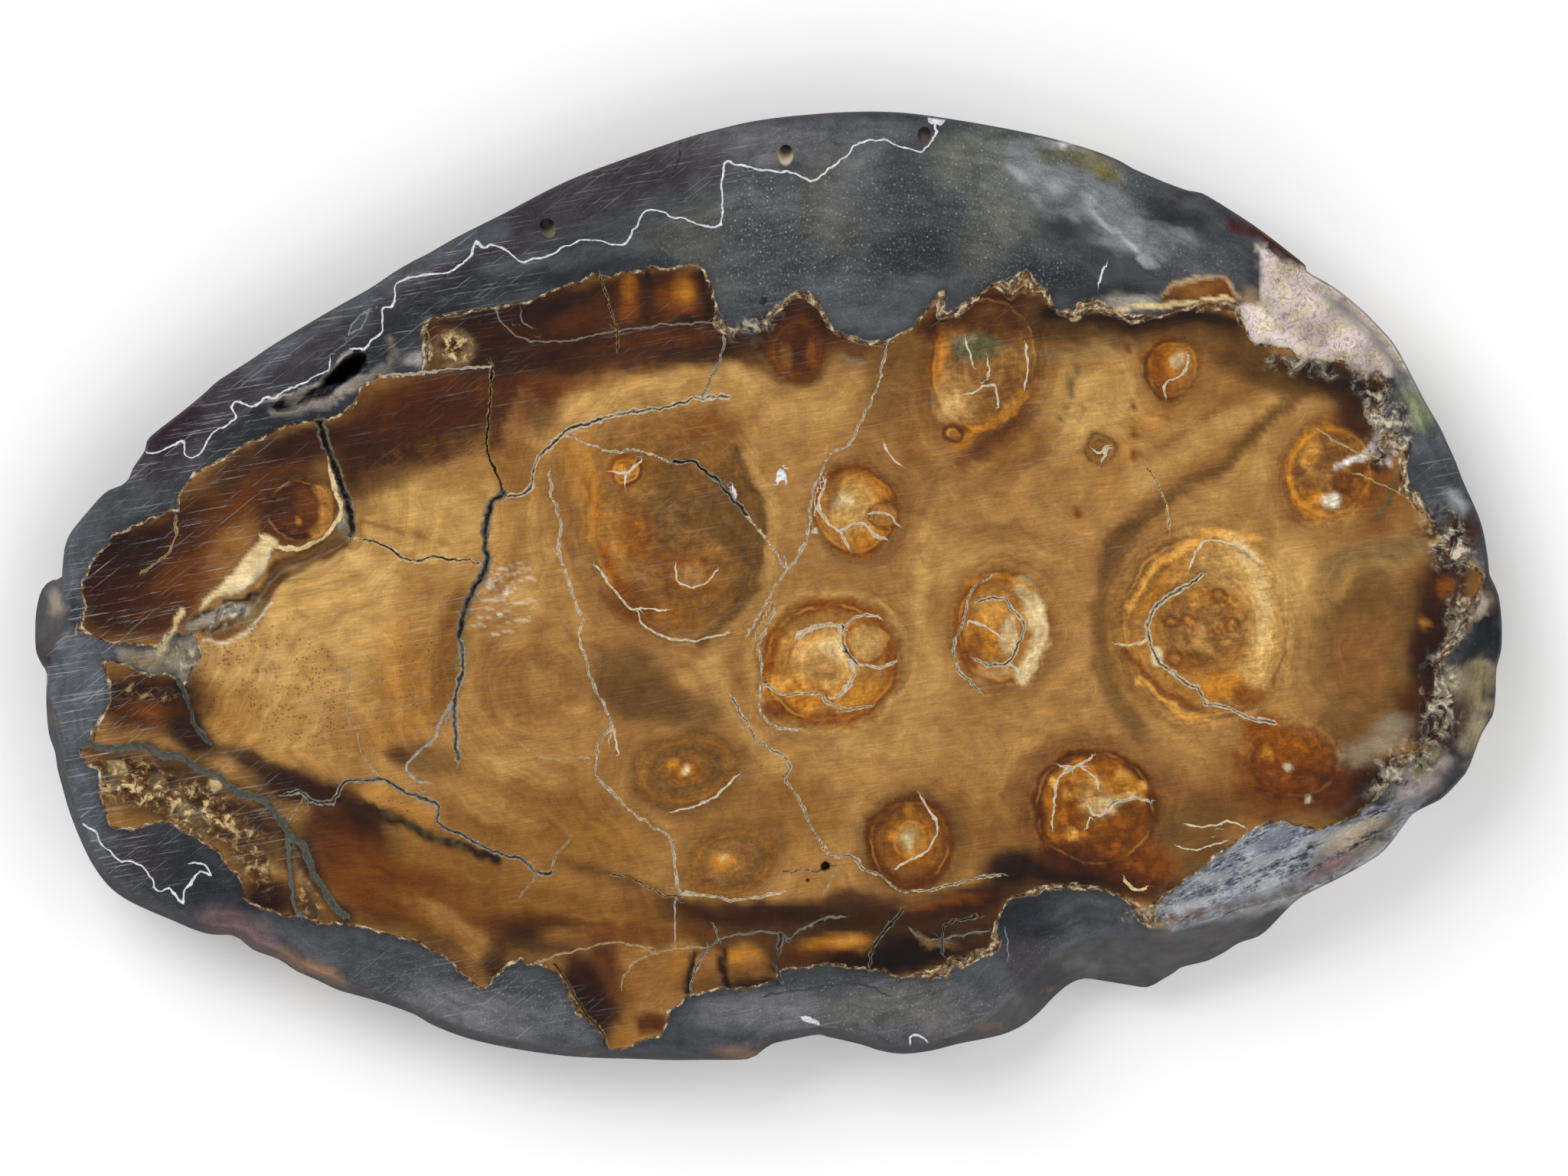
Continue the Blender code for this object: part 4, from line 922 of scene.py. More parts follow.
def paint_pear(canvas):
    canvas.patch(HONEY, 880, 690, 150, 180, -14, 0.7)
    canvas.patch(TOBACCO, 748, 640, 44, 70, -12, 0.6)
    canvas.patch(OLIVE_BROWN, 882, 690, 124, 150, -14, 0.9, 0.25)
    canvas.patch(TOBACCO, 882, 690, 108, 132, -14, 0.9, 0.3)
    canvas.patch(RUSSET, 860, 740, 70, 60, -14, 0.5)
    canvas.patch(OLIVE_BROWN, 884, 679, 50, 42, 0, 0.9)
    canvas.patch(OLIVE_BROWN, 905, 640, 60, 30, -10, 0.7)
    canvas.patch(DARK_AMBER, 830, 700, 24, 34, -14, 0.6)
    canvas.patch(DARK_AMBER, 850, 800, 50, 20, 10, 0.6)
    canvas.patch(SEPIA, 960, 700, 26, 70, -14, 0.7)
    canvas.patch(HAZEL, 830, 760, 36, 30, 30, 0.7)
    canvas.patch(BUTTERSCOTCH, 800, 720, 20, 60, -6, 0.9)
    canvas.stroke(DARK_AMBER, 6, [(785, 660), (783, 700), (793, 740), (812, 770)])
    canvas.stroke(BUTTERSCOTCH, 14, [(736, 575), (752, 620), (770, 660), (778, 700)], 0.9)
    canvas.stroke(DARK_AMBER, 4, [(742, 580), (762, 625), (778, 668)], 0.8)
    canvas.patch(BUTTERSCOTCH, 770, 600, 22, 40, -20, 0.8)
    canvas.stroke(AMBER, 5, [(768, 592), (774, 625), (778, 655), (775, 690)], 0.6)
    canvas.patch(TOBACCO, 925, 560, 42, 24, -14)
    canvas.patch(DARK_AMBER, 918, 556, 26, 12, -10, 0.6)
    canvas.patch(HAZEL, 850, 560, 50, 14, -8, 0.8)
    canvas.stroke(SEPIA, 7, [(960, 585), (985, 640), (995, 690), (985, 750), (960, 800), (915, 838)], 0.8)
    canvas.stroke(LIGHT_HONEY, 9, [(985, 590), (1008, 650), (1012, 700), (1000, 750)], 0.6)
    canvas.patch(RUSSET, 820, 785, 34, 22, 30, 0.7)
    canvas.patch(OLIVE_BROWN, 820, 890, 56, 50, 20)
    canvas.patch(SEPIA, 850, 915, 60, 26, 20, 0.9)
    canvas.patch(OLIVE_BROWN, 900, 925, 50, 20, 20, 0.7)
    canvas.patch(AMBER, 817, 612, 19, 18, 0, 1, 0.3)
    canvas.rim(DARK_AMBER, 817, 612, 19, 18, 0, 0.3)
    canvas.patch(HONEY, 903, 752, 22, 18, 0, 0.7)
    canvas.rim(DARK_AMBER, 903, 752, 24, 20, 0, 0.25, 0.8)
    canvas.patch(AMBER, 880, 690, 4, 4, 0, 0.7)
    for x, y, size in ((925, 600, 22), (900, 640, 14), (840, 640, 18), (935, 720, 14), (870, 800, 22), (905, 700, 12)):
        canvas.patch(BUTTERSCOTCH, x, y, size, size * 0.7, -30, 0.35)


def paint_middle(canvas):
    canvas.patch(HONEY, 1020, 640, 30, 110)
    canvas.patch(LIGHT_HONEY, 1060, 510, 90, 45, 0, 0.7)
    canvas.patch(TOBACCO, 1030, 470, 110, 44, 6, 0.9)
    canvas.patch(WALNUT, 985, 444, 60, 28, 10, 0.95)
    canvas.patch(WALNUT, 1050, 412, 60, 26, 0, 0.9)
    canvas.patch(CHESTNUT, 1105, 450, 50, 20, 10, 0.8)
    for x, y in ((960, 458), (985, 448), (1000, 462), (1015, 436), (1100, 470), (1130, 462)):
        canvas.stroke(STONE_GREY, 1.6, [(x - 26, y + 4), (x, y), (x + 26, y - 1)], 0.5)
    canvas.patch(SEPIA, 960, 470, 30, 20, -20, 0.8)
    canvas.stroke(LIGHT_HONEY, 12, [(1005, 770), (975, 800), (950, 835), (930, 870), (900, 890)], 0.8)
    canvas.stroke(LIGHT_HONEY, 12, [(930, 870), (950, 920), (985, 965), (1020, 1000)], 0.7)
    canvas.patch(TOBACCO, 1176, 530, 60, 120, 15, 0.75)
    canvas.patch(OLIVE_BROWN, 1165, 500, 30, 60, 10, 0.6)
    canvas.patch(HAZEL, 1180, 640, 60, 80, 0, 0.8)
    canvas.patch(HAZEL, 1160, 740, 60, 40, 0, 0.9)
    canvas.patch(HONEY, 1130, 760, 60, 22, 0, 0.7)
    canvas.stroke(LIGHT_HONEY, 10, [(1235, 640), (1215, 700), (1205, 760), (1200, 820), (1190, 900)], 0.8)
    canvas.patch(LIGHT_HONEY, 1200, 900, 50, 80, 0, 0.7)
    canvas.patch(LIGHT_HONEY, 1240, 730, 50, 30, 0, 0.7)
    canvas.patch(HONEY, 1290, 960, 60, 40)
    canvas.patch(LIGHT_HONEY, 1150, 970, 90, 20, 0, 0.6)
    canvas.patch(HAZEL, 960, 1060, 80, 34, 0, 0.8)
    canvas.patch(TOBACCO, 1040, 1060, 60, 50, 10, 0.7)
    canvas.patch(TOBACCO, 1240, 1080, 40, 60, 0, 0.8)
    canvas.patch(TOBACCO, 1310, 1090, 40, 60, 0, 0.7)
    canvas.patch(OLIVE_BROWN, 1350, 1140, 60, 24, 0, 0.9)
    canvas.patch(HAZEL, 820, 980, 60, 40, 0, 0.6)
    canvas.patch(LIGHT_HONEY, 1060, 500, 60, 40, 0, 0.5)


def paint_stone(canvas, name, fill, edge, halo, halo_reach=1.5, edge_width=0.16):
    """A round stone: a soft dark halo, an even body and a coloured edge."""
    x, y, half_x, half_y, turn = STONES[name]
    canvas.patch(halo, x, y, half_x * halo_reach, half_y * halo_reach, turn, 0.75, 0.28)
    canvas.patch(fill, x, y, half_x, half_y, turn, 1.0, 0.16)
    canvas.rim(edge, x, y, half_x * 0.96, half_y * 0.96, turn, edge_width)


def paint_middle_stones(canvas):
    paint_stone(canvas, "upper_oval", CHESTNUT, RUSSET, WALNUT, 1.35, 0.3)
    canvas.patch(WALNUT, 1042, 450, 12, 26, 10, 0.9)
    canvas.patch(DARK_AMBER, 1060, 462, 7, 22, 0, 0.8)
    canvas.patch(TOBACCO, 1026, 468, 6, 20, 0, 0.7)
    paint_stone(canvas, "bright", AMBER, DARK_AMBER, OLIVE_BROWN, 1.35)
    canvas.patch(PALE_HONEY, 1112, 660, 30, 32, 0, 0.9)
    canvas.patch(CREAM, 1102, 654, 12, 10, 0, 0.8)
    canvas.patch(CREAM, 1110, 650, 6, 5)
    canvas.patch(BUTTERSCOTCH, 1095, 700, 26, 12, 20, 0.8)
    canvas.patch(RUSSET, 1090, 640, 8, 30, 10, 0.6)
    canvas.patch(BUTTERSCOTCH, 1156, 672, 18, 17)
    canvas.rim(RUST, 1156, 672, 20, 18, 0, 0.22, 0.8)
    paint_stone(canvas, "wide", BUTTERSCOTCH, DARK_AMBER, TOBACCO, 1.3)
    canvas.rim(LIGHT_HONEY, 1083, 866, 104, 92, -8, 0.07, 0.6)
    canvas.patch(AMBER, 1040, 905, 44, 26, 10, 0.9)
    canvas.patch(RUST, 1015, 925, 24, 14, 10, 0.9)
    canvas.patch(ORANGE, 1020, 890, 14, 10)
    canvas.patch(PALE_HONEY, 1076, 862, 36, 34, 0, 0.85)
    canvas.patch(CREAM, 1090, 845, 16, 14, 0, 0.5)
    canvas.patch(HONEY, 1074, 872, 18, 16, 0, 0.8)
    canvas.patch(AMBER, 1120, 905, 34, 18, -20, 0.7)
    canvas.patch(LIGHT_HONEY, 1136, 838, 24, 24)
    canvas.rim(DARK_AMBER, 1134, 839, 28, 27, 0, 0.16, 0.9)
    canvas.patch(TOBACCO, 1040, 812, 26, 12, -20, 0.6)
    paint_stone(canvas, "crescent", BUTTERSCOTCH, DARK_AMBER, TOBACCO, 1.3)
    canvas.stroke(CREAM, 11, [(1335, 765), (1352, 795), (1358, 830), (1350, 862), (1335, 884)], 0.9)
    canvas.patch(AMBER, 1290, 830, 30, 36, 0, 0.8)
    canvas.patch(ORANGE, 1292, 800, 20, 14, 0, 0.8)
    canvas.patch(CREAM, 1318, 830, 9, 24, 8, 0.7)
    canvas.patch(RUST, 1270, 850, 12, 26, 20, 0.7)
    canvas.patch(BUFF, 1300, 880, 26, 12, 0, 0.7)
    canvas.stroke(AMBER, 4, [(1262, 765), (1290, 752), (1320, 754), (1345, 770)], 0.9)


def paint_upper_right(canvas):
    canvas.patch(UMBER, 1300, 404, 66, 22)
    canvas.patch(CHESTNUT, 1230, 430, 34, 16)
    paint_stone(canvas, "green", HAZEL, DARK_AMBER, CHESTNUT, 1.25, 0.12)
    canvas.patch(TOBACCO, 1300, 520, 44, 40, 0, 0.7)
    canvas.patch(RUSSET, 1300, 430, 50, 18, 8, 0.8)
    canvas.patch(WALNUT, 1290, 412, 56, 24, 8, 0.6)
    canvas.patch(HAZEL, 1285, 490, 34, 26, 0, 0.8)
    canvas.patch(MOSS, 1274, 456, 34, 17, -10, 0.9)
    canvas.patch(PUTTY, 1262, 448, 12, 6, -20, 0.5)
    canvas.patch(AMBER, 1230, 470, 10, 40, 8, 0.8)
    canvas.patch(LIGHT_HONEY, 1250, 520, 30, 30, 10, 0.8)
    canvas.patch(BUFF, 1245, 532, 14, 24, 10, 0.9)
    canvas.stroke(CHESTNUT, 8, [(1222, 420), (1250, 396), (1300, 388), (1345, 410), (1352, 450)], 0.9)
    canvas.stroke(AMBER, 6, [(1245, 587), (1280, 562), (1320, 537), (1342, 508)], 0.9)
    canvas.stroke(CHESTNUT, 10, [(1255, 604), (1300, 578), (1340, 548), (1364, 510), (1372, 460)], 0.8)
    canvas.patch(BUTTERSCOTCH, 1245, 569, 12)
    canvas.rim(RUST, 1245, 569, 11, 11, 0, 0.3)
    canvas.patch(TOBACCO, 1365, 470, 36, 60, 0, 0.9)
    canvas.patch(WALNUT, 1350, 425, 40, 16, 10, 0.8)
    canvas.stroke(SEPIA, 20, [(1350, 410), (1420, 424), (1500, 428), (1570, 420), (1620, 440)], 0.95)
    canvas.stroke(UMBER, 9, [(1370, 408), (1430, 412), (1500, 424), (1560, 412), (1610, 420)], 0.9)
    canvas.patch(DRAB, 1430, 458, 100, 14, -4, 0.8)
    for x, y in ((1385, 442), (1400, 456), (1430, 448), (1460, 452), (1490, 446)):
        canvas.stroke(SEPIA, 2.5, [(x - 30, y + 4), (x, y), (x + 34, y - 1)], 0.7)
    canvas.patch(LIGHT_HONEY, 1440, 530, 80, 60, -10, 0.9)
    canvas.patch(BUFF, 1400, 575, 36, 20, -20, 0.6)
    canvas.stroke(BUTTERSCOTCH, 16, [(1560, 470), (1540, 530), (1480, 560), (1440, 640)], 0.7)
    canvas.patch(PALE_HONEY, 1420, 560, 40, 30, 0, 0.5)
    canvas.patch(TOBACCO, 1330, 604, 70, 34, -40, 0.8)
    canvas.patch(HONEY, 1290, 650, 60, 40, 0, 0.7)
    canvas.patch(HONEY, 1380, 645, 80, 50, 0, 0.7)
    canvas.patch(HONEY, 1400, 800, 40, 120, 0, 0.8)
    canvas.stroke(MOSS, 2.5, [(1380, 550), (1392, 532), (1400, 516), (1410, 480)], 0.7)
    canvas.stroke(MOSS, 2.5, [(1392, 560), (1412, 540), (1420, 520)], 0.5)
    paint_stone(canvas, "top_right", DARK_AMBER, RUSSET, TOBACCO, 1.5)
    canvas.patch(AMBER, 1538, 474, 18, 20, 0, 0.9)
    canvas.patch(CREAM, 1538, 470, 8, 9, 0, 0.9)
    paint_stone(canvas, "dot_right", TOBACCO, OLIVE_BROWN, HAZEL, 1.4)
    canvas.patch(RUST, 1475, 456, 6)
    canvas.patch(RUST, 1408, 672, 7)
    for x, y, size in ((1480, 527, 4), (1483, 570, 6), (1483, 595, 5)):
        canvas.patch(RUST, x, y, size)
    canvas.patch(HAZEL, 1600, 500, 60, 40, 0, 0.9)
    canvas.patch(OLIVE_BROWN, 1600, 455, 60, 20, 10, 0.9)
    canvas.patch(SEPIA, 1690, 492, 100, 26, 12)
    canvas.patch(UMBER, 1750, 500, 60, 20, 20, 0.9)
    canvas.patch(BARK, 1780, 540, 36, 34, 0, 0.9)


def paint_right(canvas):
    canvas.stroke(HAZEL, 15, [(1440, 750), (1470, 700), (1540, 640), (1640, 570), (1720, 500)], 0.8)
    canvas.stroke(LIGHT_HONEY, 18, [(1490, 625), (1560, 580), (1620, 540), (1690, 500)], 0.8)
    canvas.stroke(LIGHT_HONEY, 20, [(1560, 690), (1630, 625), (1680, 570), (1710, 540)], 0.7)
    canvas.stroke(SEPIA, 8, [(1430, 760), (1450, 705), (1510, 660), (1600, 605), (1690, 520)], 0.8)
    canvas.stroke(TOBACCO, 7, [(1640, 450), (1600, 520), (1540, 570), (1500, 600)], 0.5)
    canvas.patch(HONEY, 1640, 660, 60, 26, -30, 0.6)
    paint_stone(canvas, "right_upper", TOBACCO, AMBER, RUSSET, 1.4, 0.14)
    canvas.patch(RUST, 1790, 640, 50, 46, 0, 0.6)
    canvas.patch(CHESTNUT, 1790, 690, 40, 20, 0, 0.5)
    canvas.patch(HAZEL, 1730, 610, 34, 30, 0, 0.9)
    canvas.patch(ORANGE, 1712, 590, 12, 20, 20, 0.8)
    canvas.patch(AMBER, 1715, 650, 14, 12, 0, 0.9)
    canvas.patch(RUSSET, 1752, 630, 12, 14, 0, 0.8)
    canvas.patch(IVORY, 1737, 652, 13, 9, -20)
    canvas.stroke(BONE, 4, [(1745, 608), (1768, 600), (1790, 588), (1800, 574)])
    canvas.stroke(BONE, 6, [(1778, 598), (1796, 590)])
    canvas.stroke(BONE, 4, [(1816, 576), (1820, 592), (1812, 606)])
    canvas.patch(SOOT, 1800, 606, 12, 14, 0, 0.8)
    canvas.stroke(MOSS, 5, [(1826, 636), (1812, 654), (1800, 668)], 0.8)
    canvas.patch(TOBACCO, 1840, 640, 20, 30, 0, 0.6)
    canvas.patch(LIGHT_HONEY, 1700, 800, 56, 90)
    canvas.patch(PALE_HONEY, 1690, 760, 30, 60, 0, 0.7)
    canvas.patch(HONEY, 1740, 700, 50, 30, -20, 0.8)
    canvas.patch(OLIVE_BROWN, 1790, 850, 86, 110, 0, 0.95)
    canvas.patch(DRAB, 1790, 730, 70, 22, -10, 0.8)
    canvas.patch(HAZEL, 1780, 860, 46, 60, 0, 0.6)
    canvas.stroke(LIGHT_HONEY, 7, [(1745, 780), (1765, 745), (1800, 735), (1830, 745)], 0.5)
    canvas.patch(DRAB, 1830, 715, 34, 20, 0, 0.8)
    canvas.patch(BARK, 1868, 850, 28, 110)
    canvas.patch(BARK, 1892, 762, 34, 50, 20)
    canvas.patch(DARK_AMBER, 1890, 768, 14, 12, 0, 0.8)
    canvas.patch(BUTTERSCOTCH, 1858, 815, 7)
    canvas.patch(WALNUT, 1850, 930, 30, 40)
    canvas.patch(UMBER, 1868, 950, 16, 30)


def paint_great_stone(canvas):
    band = [(1480, 690), (1450, 740), (1437, 800), (1440, 870), (1460, 920), (1500, 970), (1550, 1020), (1600, 1070)]
    canvas.stroke(SEPIA, 13, band, 0.75)
    canvas.stroke(HONEY, 9, [(1498, 700), (1470, 750), (1457, 800), (1460, 860), (1480, 905), (1520, 955)], 0.8)
    canvas.patch(TOBACCO, 1560, 820, 118, 122, -20, 0.8, 0.22)
    canvas.area(BUTTERSCOTCH, [
        (1458, 840), (1480, 790), (1500, 760), (1530, 730), (1570, 702), (1620, 698), (1655, 720),
        (1665, 780), (1665, 850), (1650, 900), (1610, 930), (1570, 930), (1520, 905), (1485, 880)], 0.95, 10)
    canvas.stroke(ORANGE, 5, [(1478, 792), (1490, 765), (1515, 735), (1545, 713), (1580, 698), (1640, 700)])
    canvas.stroke(AMBER, 4, [(1494, 800), (1506, 775), (1530, 748), (1560, 725)])
    canvas.stroke(ORANGE, 4, [(1485, 885), (1510, 905), (1540, 930), (1575, 942)])
    canvas.stroke(RUST, 5, [(1468, 852), (1500, 885), (1535, 912), (1565, 925)], 0.8)
    canvas.patch(TOBACCO, 1550, 800, 40, 50, 0, 0.3)
    canvas.patch(LIGHT_HONEY, 1600, 740, 50, 30, 0, 0.8)
    canvas.patch(AMBER, 1580, 790, 30, 20, 0, 0.6)
    canvas.stroke(PALE_HONEY, 20, [(1612, 712), (1640, 750), (1652, 800), (1650, 850), (1632, 885)])
    canvas.stroke(CREAM, 9, [(1618, 716), (1644, 756), (1654, 800), (1650, 840)], 0.4)
    canvas.patch(HONEY, 1576, 822, 46, 38, 0, 0.8)
    canvas.patch(RUST, 1550, 862, 22, 14, 0, 0.6)
    for x, y, size in ((1553, 813, 9), (1592, 778, 10), (1607, 815, 7), (1530, 815, 8), (1532, 858, 8), (1590, 824, 5)):
        canvas.patch(BUTTERSCOTCH, x, y, size)
        canvas.rim(RUST, x, y, size, size, 0, 0.5, 0.8)
    canvas.patch(AMBER, 1600, 896, 30, 16, 10, 0.9)
    canvas.patch(RUST, 1635, 908, 22, 16, 0, 0.8)
    canvas.patch(CREAM, 1512, 858, 7, 11)
    canvas.patch(ORANGE, 1540, 742, 24, 8, -38, 0.7)


def paint_lower_stones(canvas):
    paint_stone(canvas, "low_left", OLIVE_BROWN, TOBACCO, OLIVE_BROWN, 1.35, 0.3)
    canvas.patch(TOBACCO, 897, 1007, 34, 24, -12)
    canvas.patch(DARK_AMBER, 898, 1008, 20, 15)
    canvas.patch(BUTTERSCOTCH, 898, 1008, 11, 9)
    canvas.patch(CREAM, 899, 1008, 5)
    canvas.patch(AMBER, 880, 998, 8)
    paint_stone(canvas, "low_oval", OLIVE_BROWN, TOBACCO, OLIVE_BROWN, 1.35, 0.3)
    canvas.patch(HAZEL, 950, 1126, 32, 20, -24)
    canvas.patch(AMBER, 943, 1126, 14, 10)
    canvas.patch(BUFF, 945, 1122, 6)
    paint_stone(canvas, "low_bright", TOBACCO, RUSSET, OLIVE_BROWN, 1.35, 0.24)
    canvas.patch(DARK_AMBER, 1190, 1098, 36, 36)
    canvas.patch(AMBER, 1190, 1094, 26, 25)
    canvas.patch(PALE_HONEY, 1188, 1094, 17, 18)
    canvas.patch(CREAM, 1188, 1098, 9, 12)
    canvas.patch(AMBER, 1184, 1062, 8)
    canvas.patch(AMBER, 1160, 1095, 7)
    paint_stone(canvas, "orange", AMBER, CHESTNUT, CHESTNUT, 1.28, 0.16)
    canvas.patch(DARK_AMBER, 1390, 1060, 30, 40, 0, 0.8)
    canvas.patch(DARK_AMBER, 1440, 1085, 60, 40, 0, 0.7)
    canvas.patch(RUST, 1470, 1075, 34, 34, 0, 0.8)
    canvas.patch(CHESTNUT, 1420, 1110, 50, 14, 0, 0.8)
    canvas.patch(DARK_AMBER, 1440, 1000, 30, 14, 0, 0.7)
    canvas.patch(BUFF, 1432, 1046, 22, 28, 0, 0.6)
    canvas.patch(CREAM, 1446, 1050, 18, 12, -10, 0.7)
    canvas.patch(BUFF, 1470, 1040, 16, 8, 0, 0.9)
    for x, y, size in ((1378, 1020, 8), (1395, 1035, 7), (1465, 1012, 8), (1492, 1030, 7), (1400, 1090, 8)):
        canvas.patch(ORANGE, x, y, size, size, 0, 0.9)
    canvas.patch(CHESTNUT, 1530, 1060, 40, 40, 0, 0.7)
    canvas.patch(HAZEL, 1570, 1050, 50, 40, 0, 0.7)
    canvas.patch(HONEY, 1560, 985, 60, 34, 20, 0.8)


def paint_lower_right(canvas):
    canvas.patch(RUST, 1700, 1010, 100, 54, 6)
    canvas.patch(CHESTNUT, 1745, 1030, 46, 34, 0, 0.9)
    canvas.patch(BARK, 1790, 1020, 26, 30, 0, 0.9)
    canvas.patch(DARK_AMBER, 1670, 970, 40, 24, 0, 0.8)
    canvas.patch(DARK_AMBER, 1650, 950, 24, 16)
    canvas.patch(AMBER, 1655, 985, 10)
    canvas.patch(PUTTY, 1795, 968, 50, 20, -30, 0.9)
    canvas.patch(OLIVE_BROWN, 1760, 950, 40, 26, 0, 0.8)
    canvas.patch(RUSSET, 1640, 1050, 60, 26, 0, 0.7)
    canvas.patch(OLIVE_BROWN, 1560, 1080, 60, 34, -20, 0.9)
    canvas.patch(RUST, 1480, 1128, 70, 34, 10)
    canvas.patch(CHESTNUT, 1410, 1128, 60, 20, 10, 0.9)
    canvas.patch(CHESTNUT, 1500, 1165, 40, 16, 10, 0.8)
    canvas.patch(SOOT, 1330, 1134, 50, 24, -10, 0.95)
    canvas.patch(UMBER, 1400, 1148, 60, 10, 8, 0.9)
    canvas.patch(SEPIA, 1570, 1120, 34, 16, -30, 0.8)
    canvas.patch(WALNUT, 1390, 1128, 40, 12, 20, 0.8)
    canvas.patch(IVORY, 1682, 1001, 4)
    canvas.patch(IVORY, 1708, 1040, 5)


def paint_lower_band(canvas):
    canvas.area(BARK, [
        (880, 1192), (960, 1186), (1040, 1184), (1110, 1160), (1200, 1172), (1306, 1150), (1310, 1200), (1290, 1250),
        (1150, 1275), (1020, 1275), (900, 1235)], 0.85, 8)
    canvas.patch(BARK, 900, 1190, 210, 16, 2)
    canvas.patch(BARK, 820, 1160, 80, 12, 20, 0.9)
    canvas.patch(UMBER, 1150, 1205, 150, 30, 0, 0.7)
    canvas.patch(BARK, 1240, 1180, 90, 20, -10)
    canvas.patch(RUST, 1225, 1174, 56, 7, -6, 0.8)
    canvas.patch(TOBACCO, 720, 1180, 160, 44, 12)
    canvas.patch(HAZEL, 740, 1150, 120, 16, 10, 0.7)
    canvas.patch(TOBACCO, 560, 1150, 110, 56, 14)
    canvas.patch(RUSSET, 600, 1180, 120, 26, 24, 0.8)
    canvas.patch(TOBACCO, 560, 1205, 60, 20, 26, 0.9)
    canvas.patch(HONEY, 595, 1205, 50, 12, 34, 0.8)
    canvas.patch(RUSSET, 500, 1190, 50, 20, 20, 0.9)
    canvas.patch(TOBACCO, 640, 1190, 60, 20, 20, 0.6)
    canvas.patch(WALNUT, 730, 1215, 110, 18, 8, 0.9)
    canvas.patch(UMBER, 690, 1232, 50, 16, 10, 0.8)
    canvas.patch(WALNUT, 645, 1250, 20, 26, 20, 0.8)
    canvas.patch(HAZEL, 760, 1225, 50, 14, 0, 0.8)
    canvas.patch(HAZEL, 830, 1275, 46, 46, 0)
    canvas.patch(CHESTNUT, 790, 1275, 24, 50, -10, 0.8)
    canvas.patch(TOBACCO, 815, 1305, 20, 34, 10, 0.5)
    canvas.patch(RUSSET, 850, 1220, 80, 12, 0, 0.7)
    canvas.patch(HAZEL, 886, 1262, 18, 34, 12)
    canvas.patch(BUTTERSCOTCH, 884, 1256, 9, 22, 12, 0.9)
    canvas.patch(HAZEL, 926, 1264, 18, 26, 8)
    canvas.patch(BUTTERSCOTCH, 972, 1256, 26, 26, 0, 0.95)
    canvas.patch(AMBER, 968, 1246, 20, 8, -8, 0.9)
    canvas.stroke(UMBER, 4, [(908, 1244), (902, 1270), (898, 1296)])
    canvas.stroke(UMBER, 5, [(950, 1240), (948, 1268), (952, 1288)])
    canvas.patch(UMBER, 990, 1285, 40, 8, 0, 0.9)
    canvas.patch(AMBER, 1092, 1236, 46, 13, -8)
    canvas.patch(ORANGE, 1105, 1230, 22, 7, -8, 0.7)
    canvas.patch(RUSSET, 1060, 1250, 40, 10, 0, 0.8)
    canvas.patch(BARK, 1120, 1256, 40, 12)
    canvas.patch(SOOT, 1190, 1245, 60, 24, -6)
    canvas.patch(BARK, 768, 1296, 26, 66, -26)
    canvas.patch(WALNUT, 798, 1268, 20, 46, -16, 0.5)
    canvas.patch(CHESTNUT, 850, 1338, 22, 16)
    canvas.patch(BUTTERSCOTCH, 815, 1350, 14, 20)
    canvas.stroke(DRAB, 5, [(1195, 1222), (1215, 1235), (1250, 1230)], 0.8)


def paint_lower_left(canvas):
    canvas.patch(UMBER, 400, 1032, 80, 22, 12)
    canvas.patch(UMBER, 340, 1000, 60, 14, 24, 0.9)
    canvas.patch(BARK, 460, 1085, 60, 26, 20)
    canvas.patch(WALNUT, 420, 1110, 40, 50, 0, 0.9)
    canvas.patch(RUSSET, 470, 1140, 60, 40, 20, 0.9)
    canvas.patch(BUTTERSCOTCH, 525, 1058, 62, 13, 24)
    canvas.patch(HONEY, 500, 1050, 30, 8, 20, 0.7)
    canvas.stroke(UMBER, 7, [(470, 1052), (540, 1082), (600, 1107), (650, 1124)])
    canvas.stroke(MOSS, 2.5, [(500, 1062), (545, 1082), (600, 1106)], 0.8)
    canvas.patch(UMBER, 470, 1060, 40, 16, 30, 0.9)
    canvas.patch(WALNUT, 200, 920, 84, 40)
    canvas.patch(RUSSET, 190, 925, 40, 12, 10, 0.8)
    canvas.patch(RUST, 215, 940, 30, 10, 20, 0.6)
    canvas.patch(UMBER, 250, 960, 44, 22, 40)
    canvas.patch(UMBER, 170, 900, 50, 10, 10, 0.7)
    canvas.patch(OLIVE_BROWN, 200, 1030, 90, 46, 12)
    canvas.patch(BARK, 170, 1000, 50, 10, 6, 0.9)
    canvas.patch(UMBER, 260, 1030, 60, 14, 34, 0.8)
    canvas.patch(SEPIA, 340, 1095, 50, 50)
    canvas.patch(UMBER, 320, 1065, 50, 12, 30, 0.8)
    canvas.patch(BARK, 350, 1170, 34, 22)
    for name, half in (("vein_1", 10), ("vein_2", 6), ("vein_3", 7)):
        canvas.stroke(UMBER, half, LINES[name][-1], 0.75, 0.7)
    for x, y, size in (
            (155, 1008, 12), (205, 1022, 11), (195, 1035, 8), (233, 1033, 8), (283, 1027, 9), (255, 1065, 13),
            (240, 1050, 7), (262, 1085, 8), (405, 1190, 9), (272, 1072, 7), (150, 1022, 6)):
        canvas.patch(CREAM, x, y, size, size * 0.8, 20, 0.9)
    canvas.stroke(SAND, 5, [(390, 1142), (402, 1160), (408, 1178)], 0.9)
    for way in ([(160, 1020), (175, 1045)], [(190, 1050), (215, 1068)], [(220, 1010), (225, 1040)],
                [(280, 1060), (300, 1100)], [(330, 1060), (345, 1100)], [(345, 1120), (352, 1150)]):
        canvas.stroke(UMBER, 3, way, 0.8)


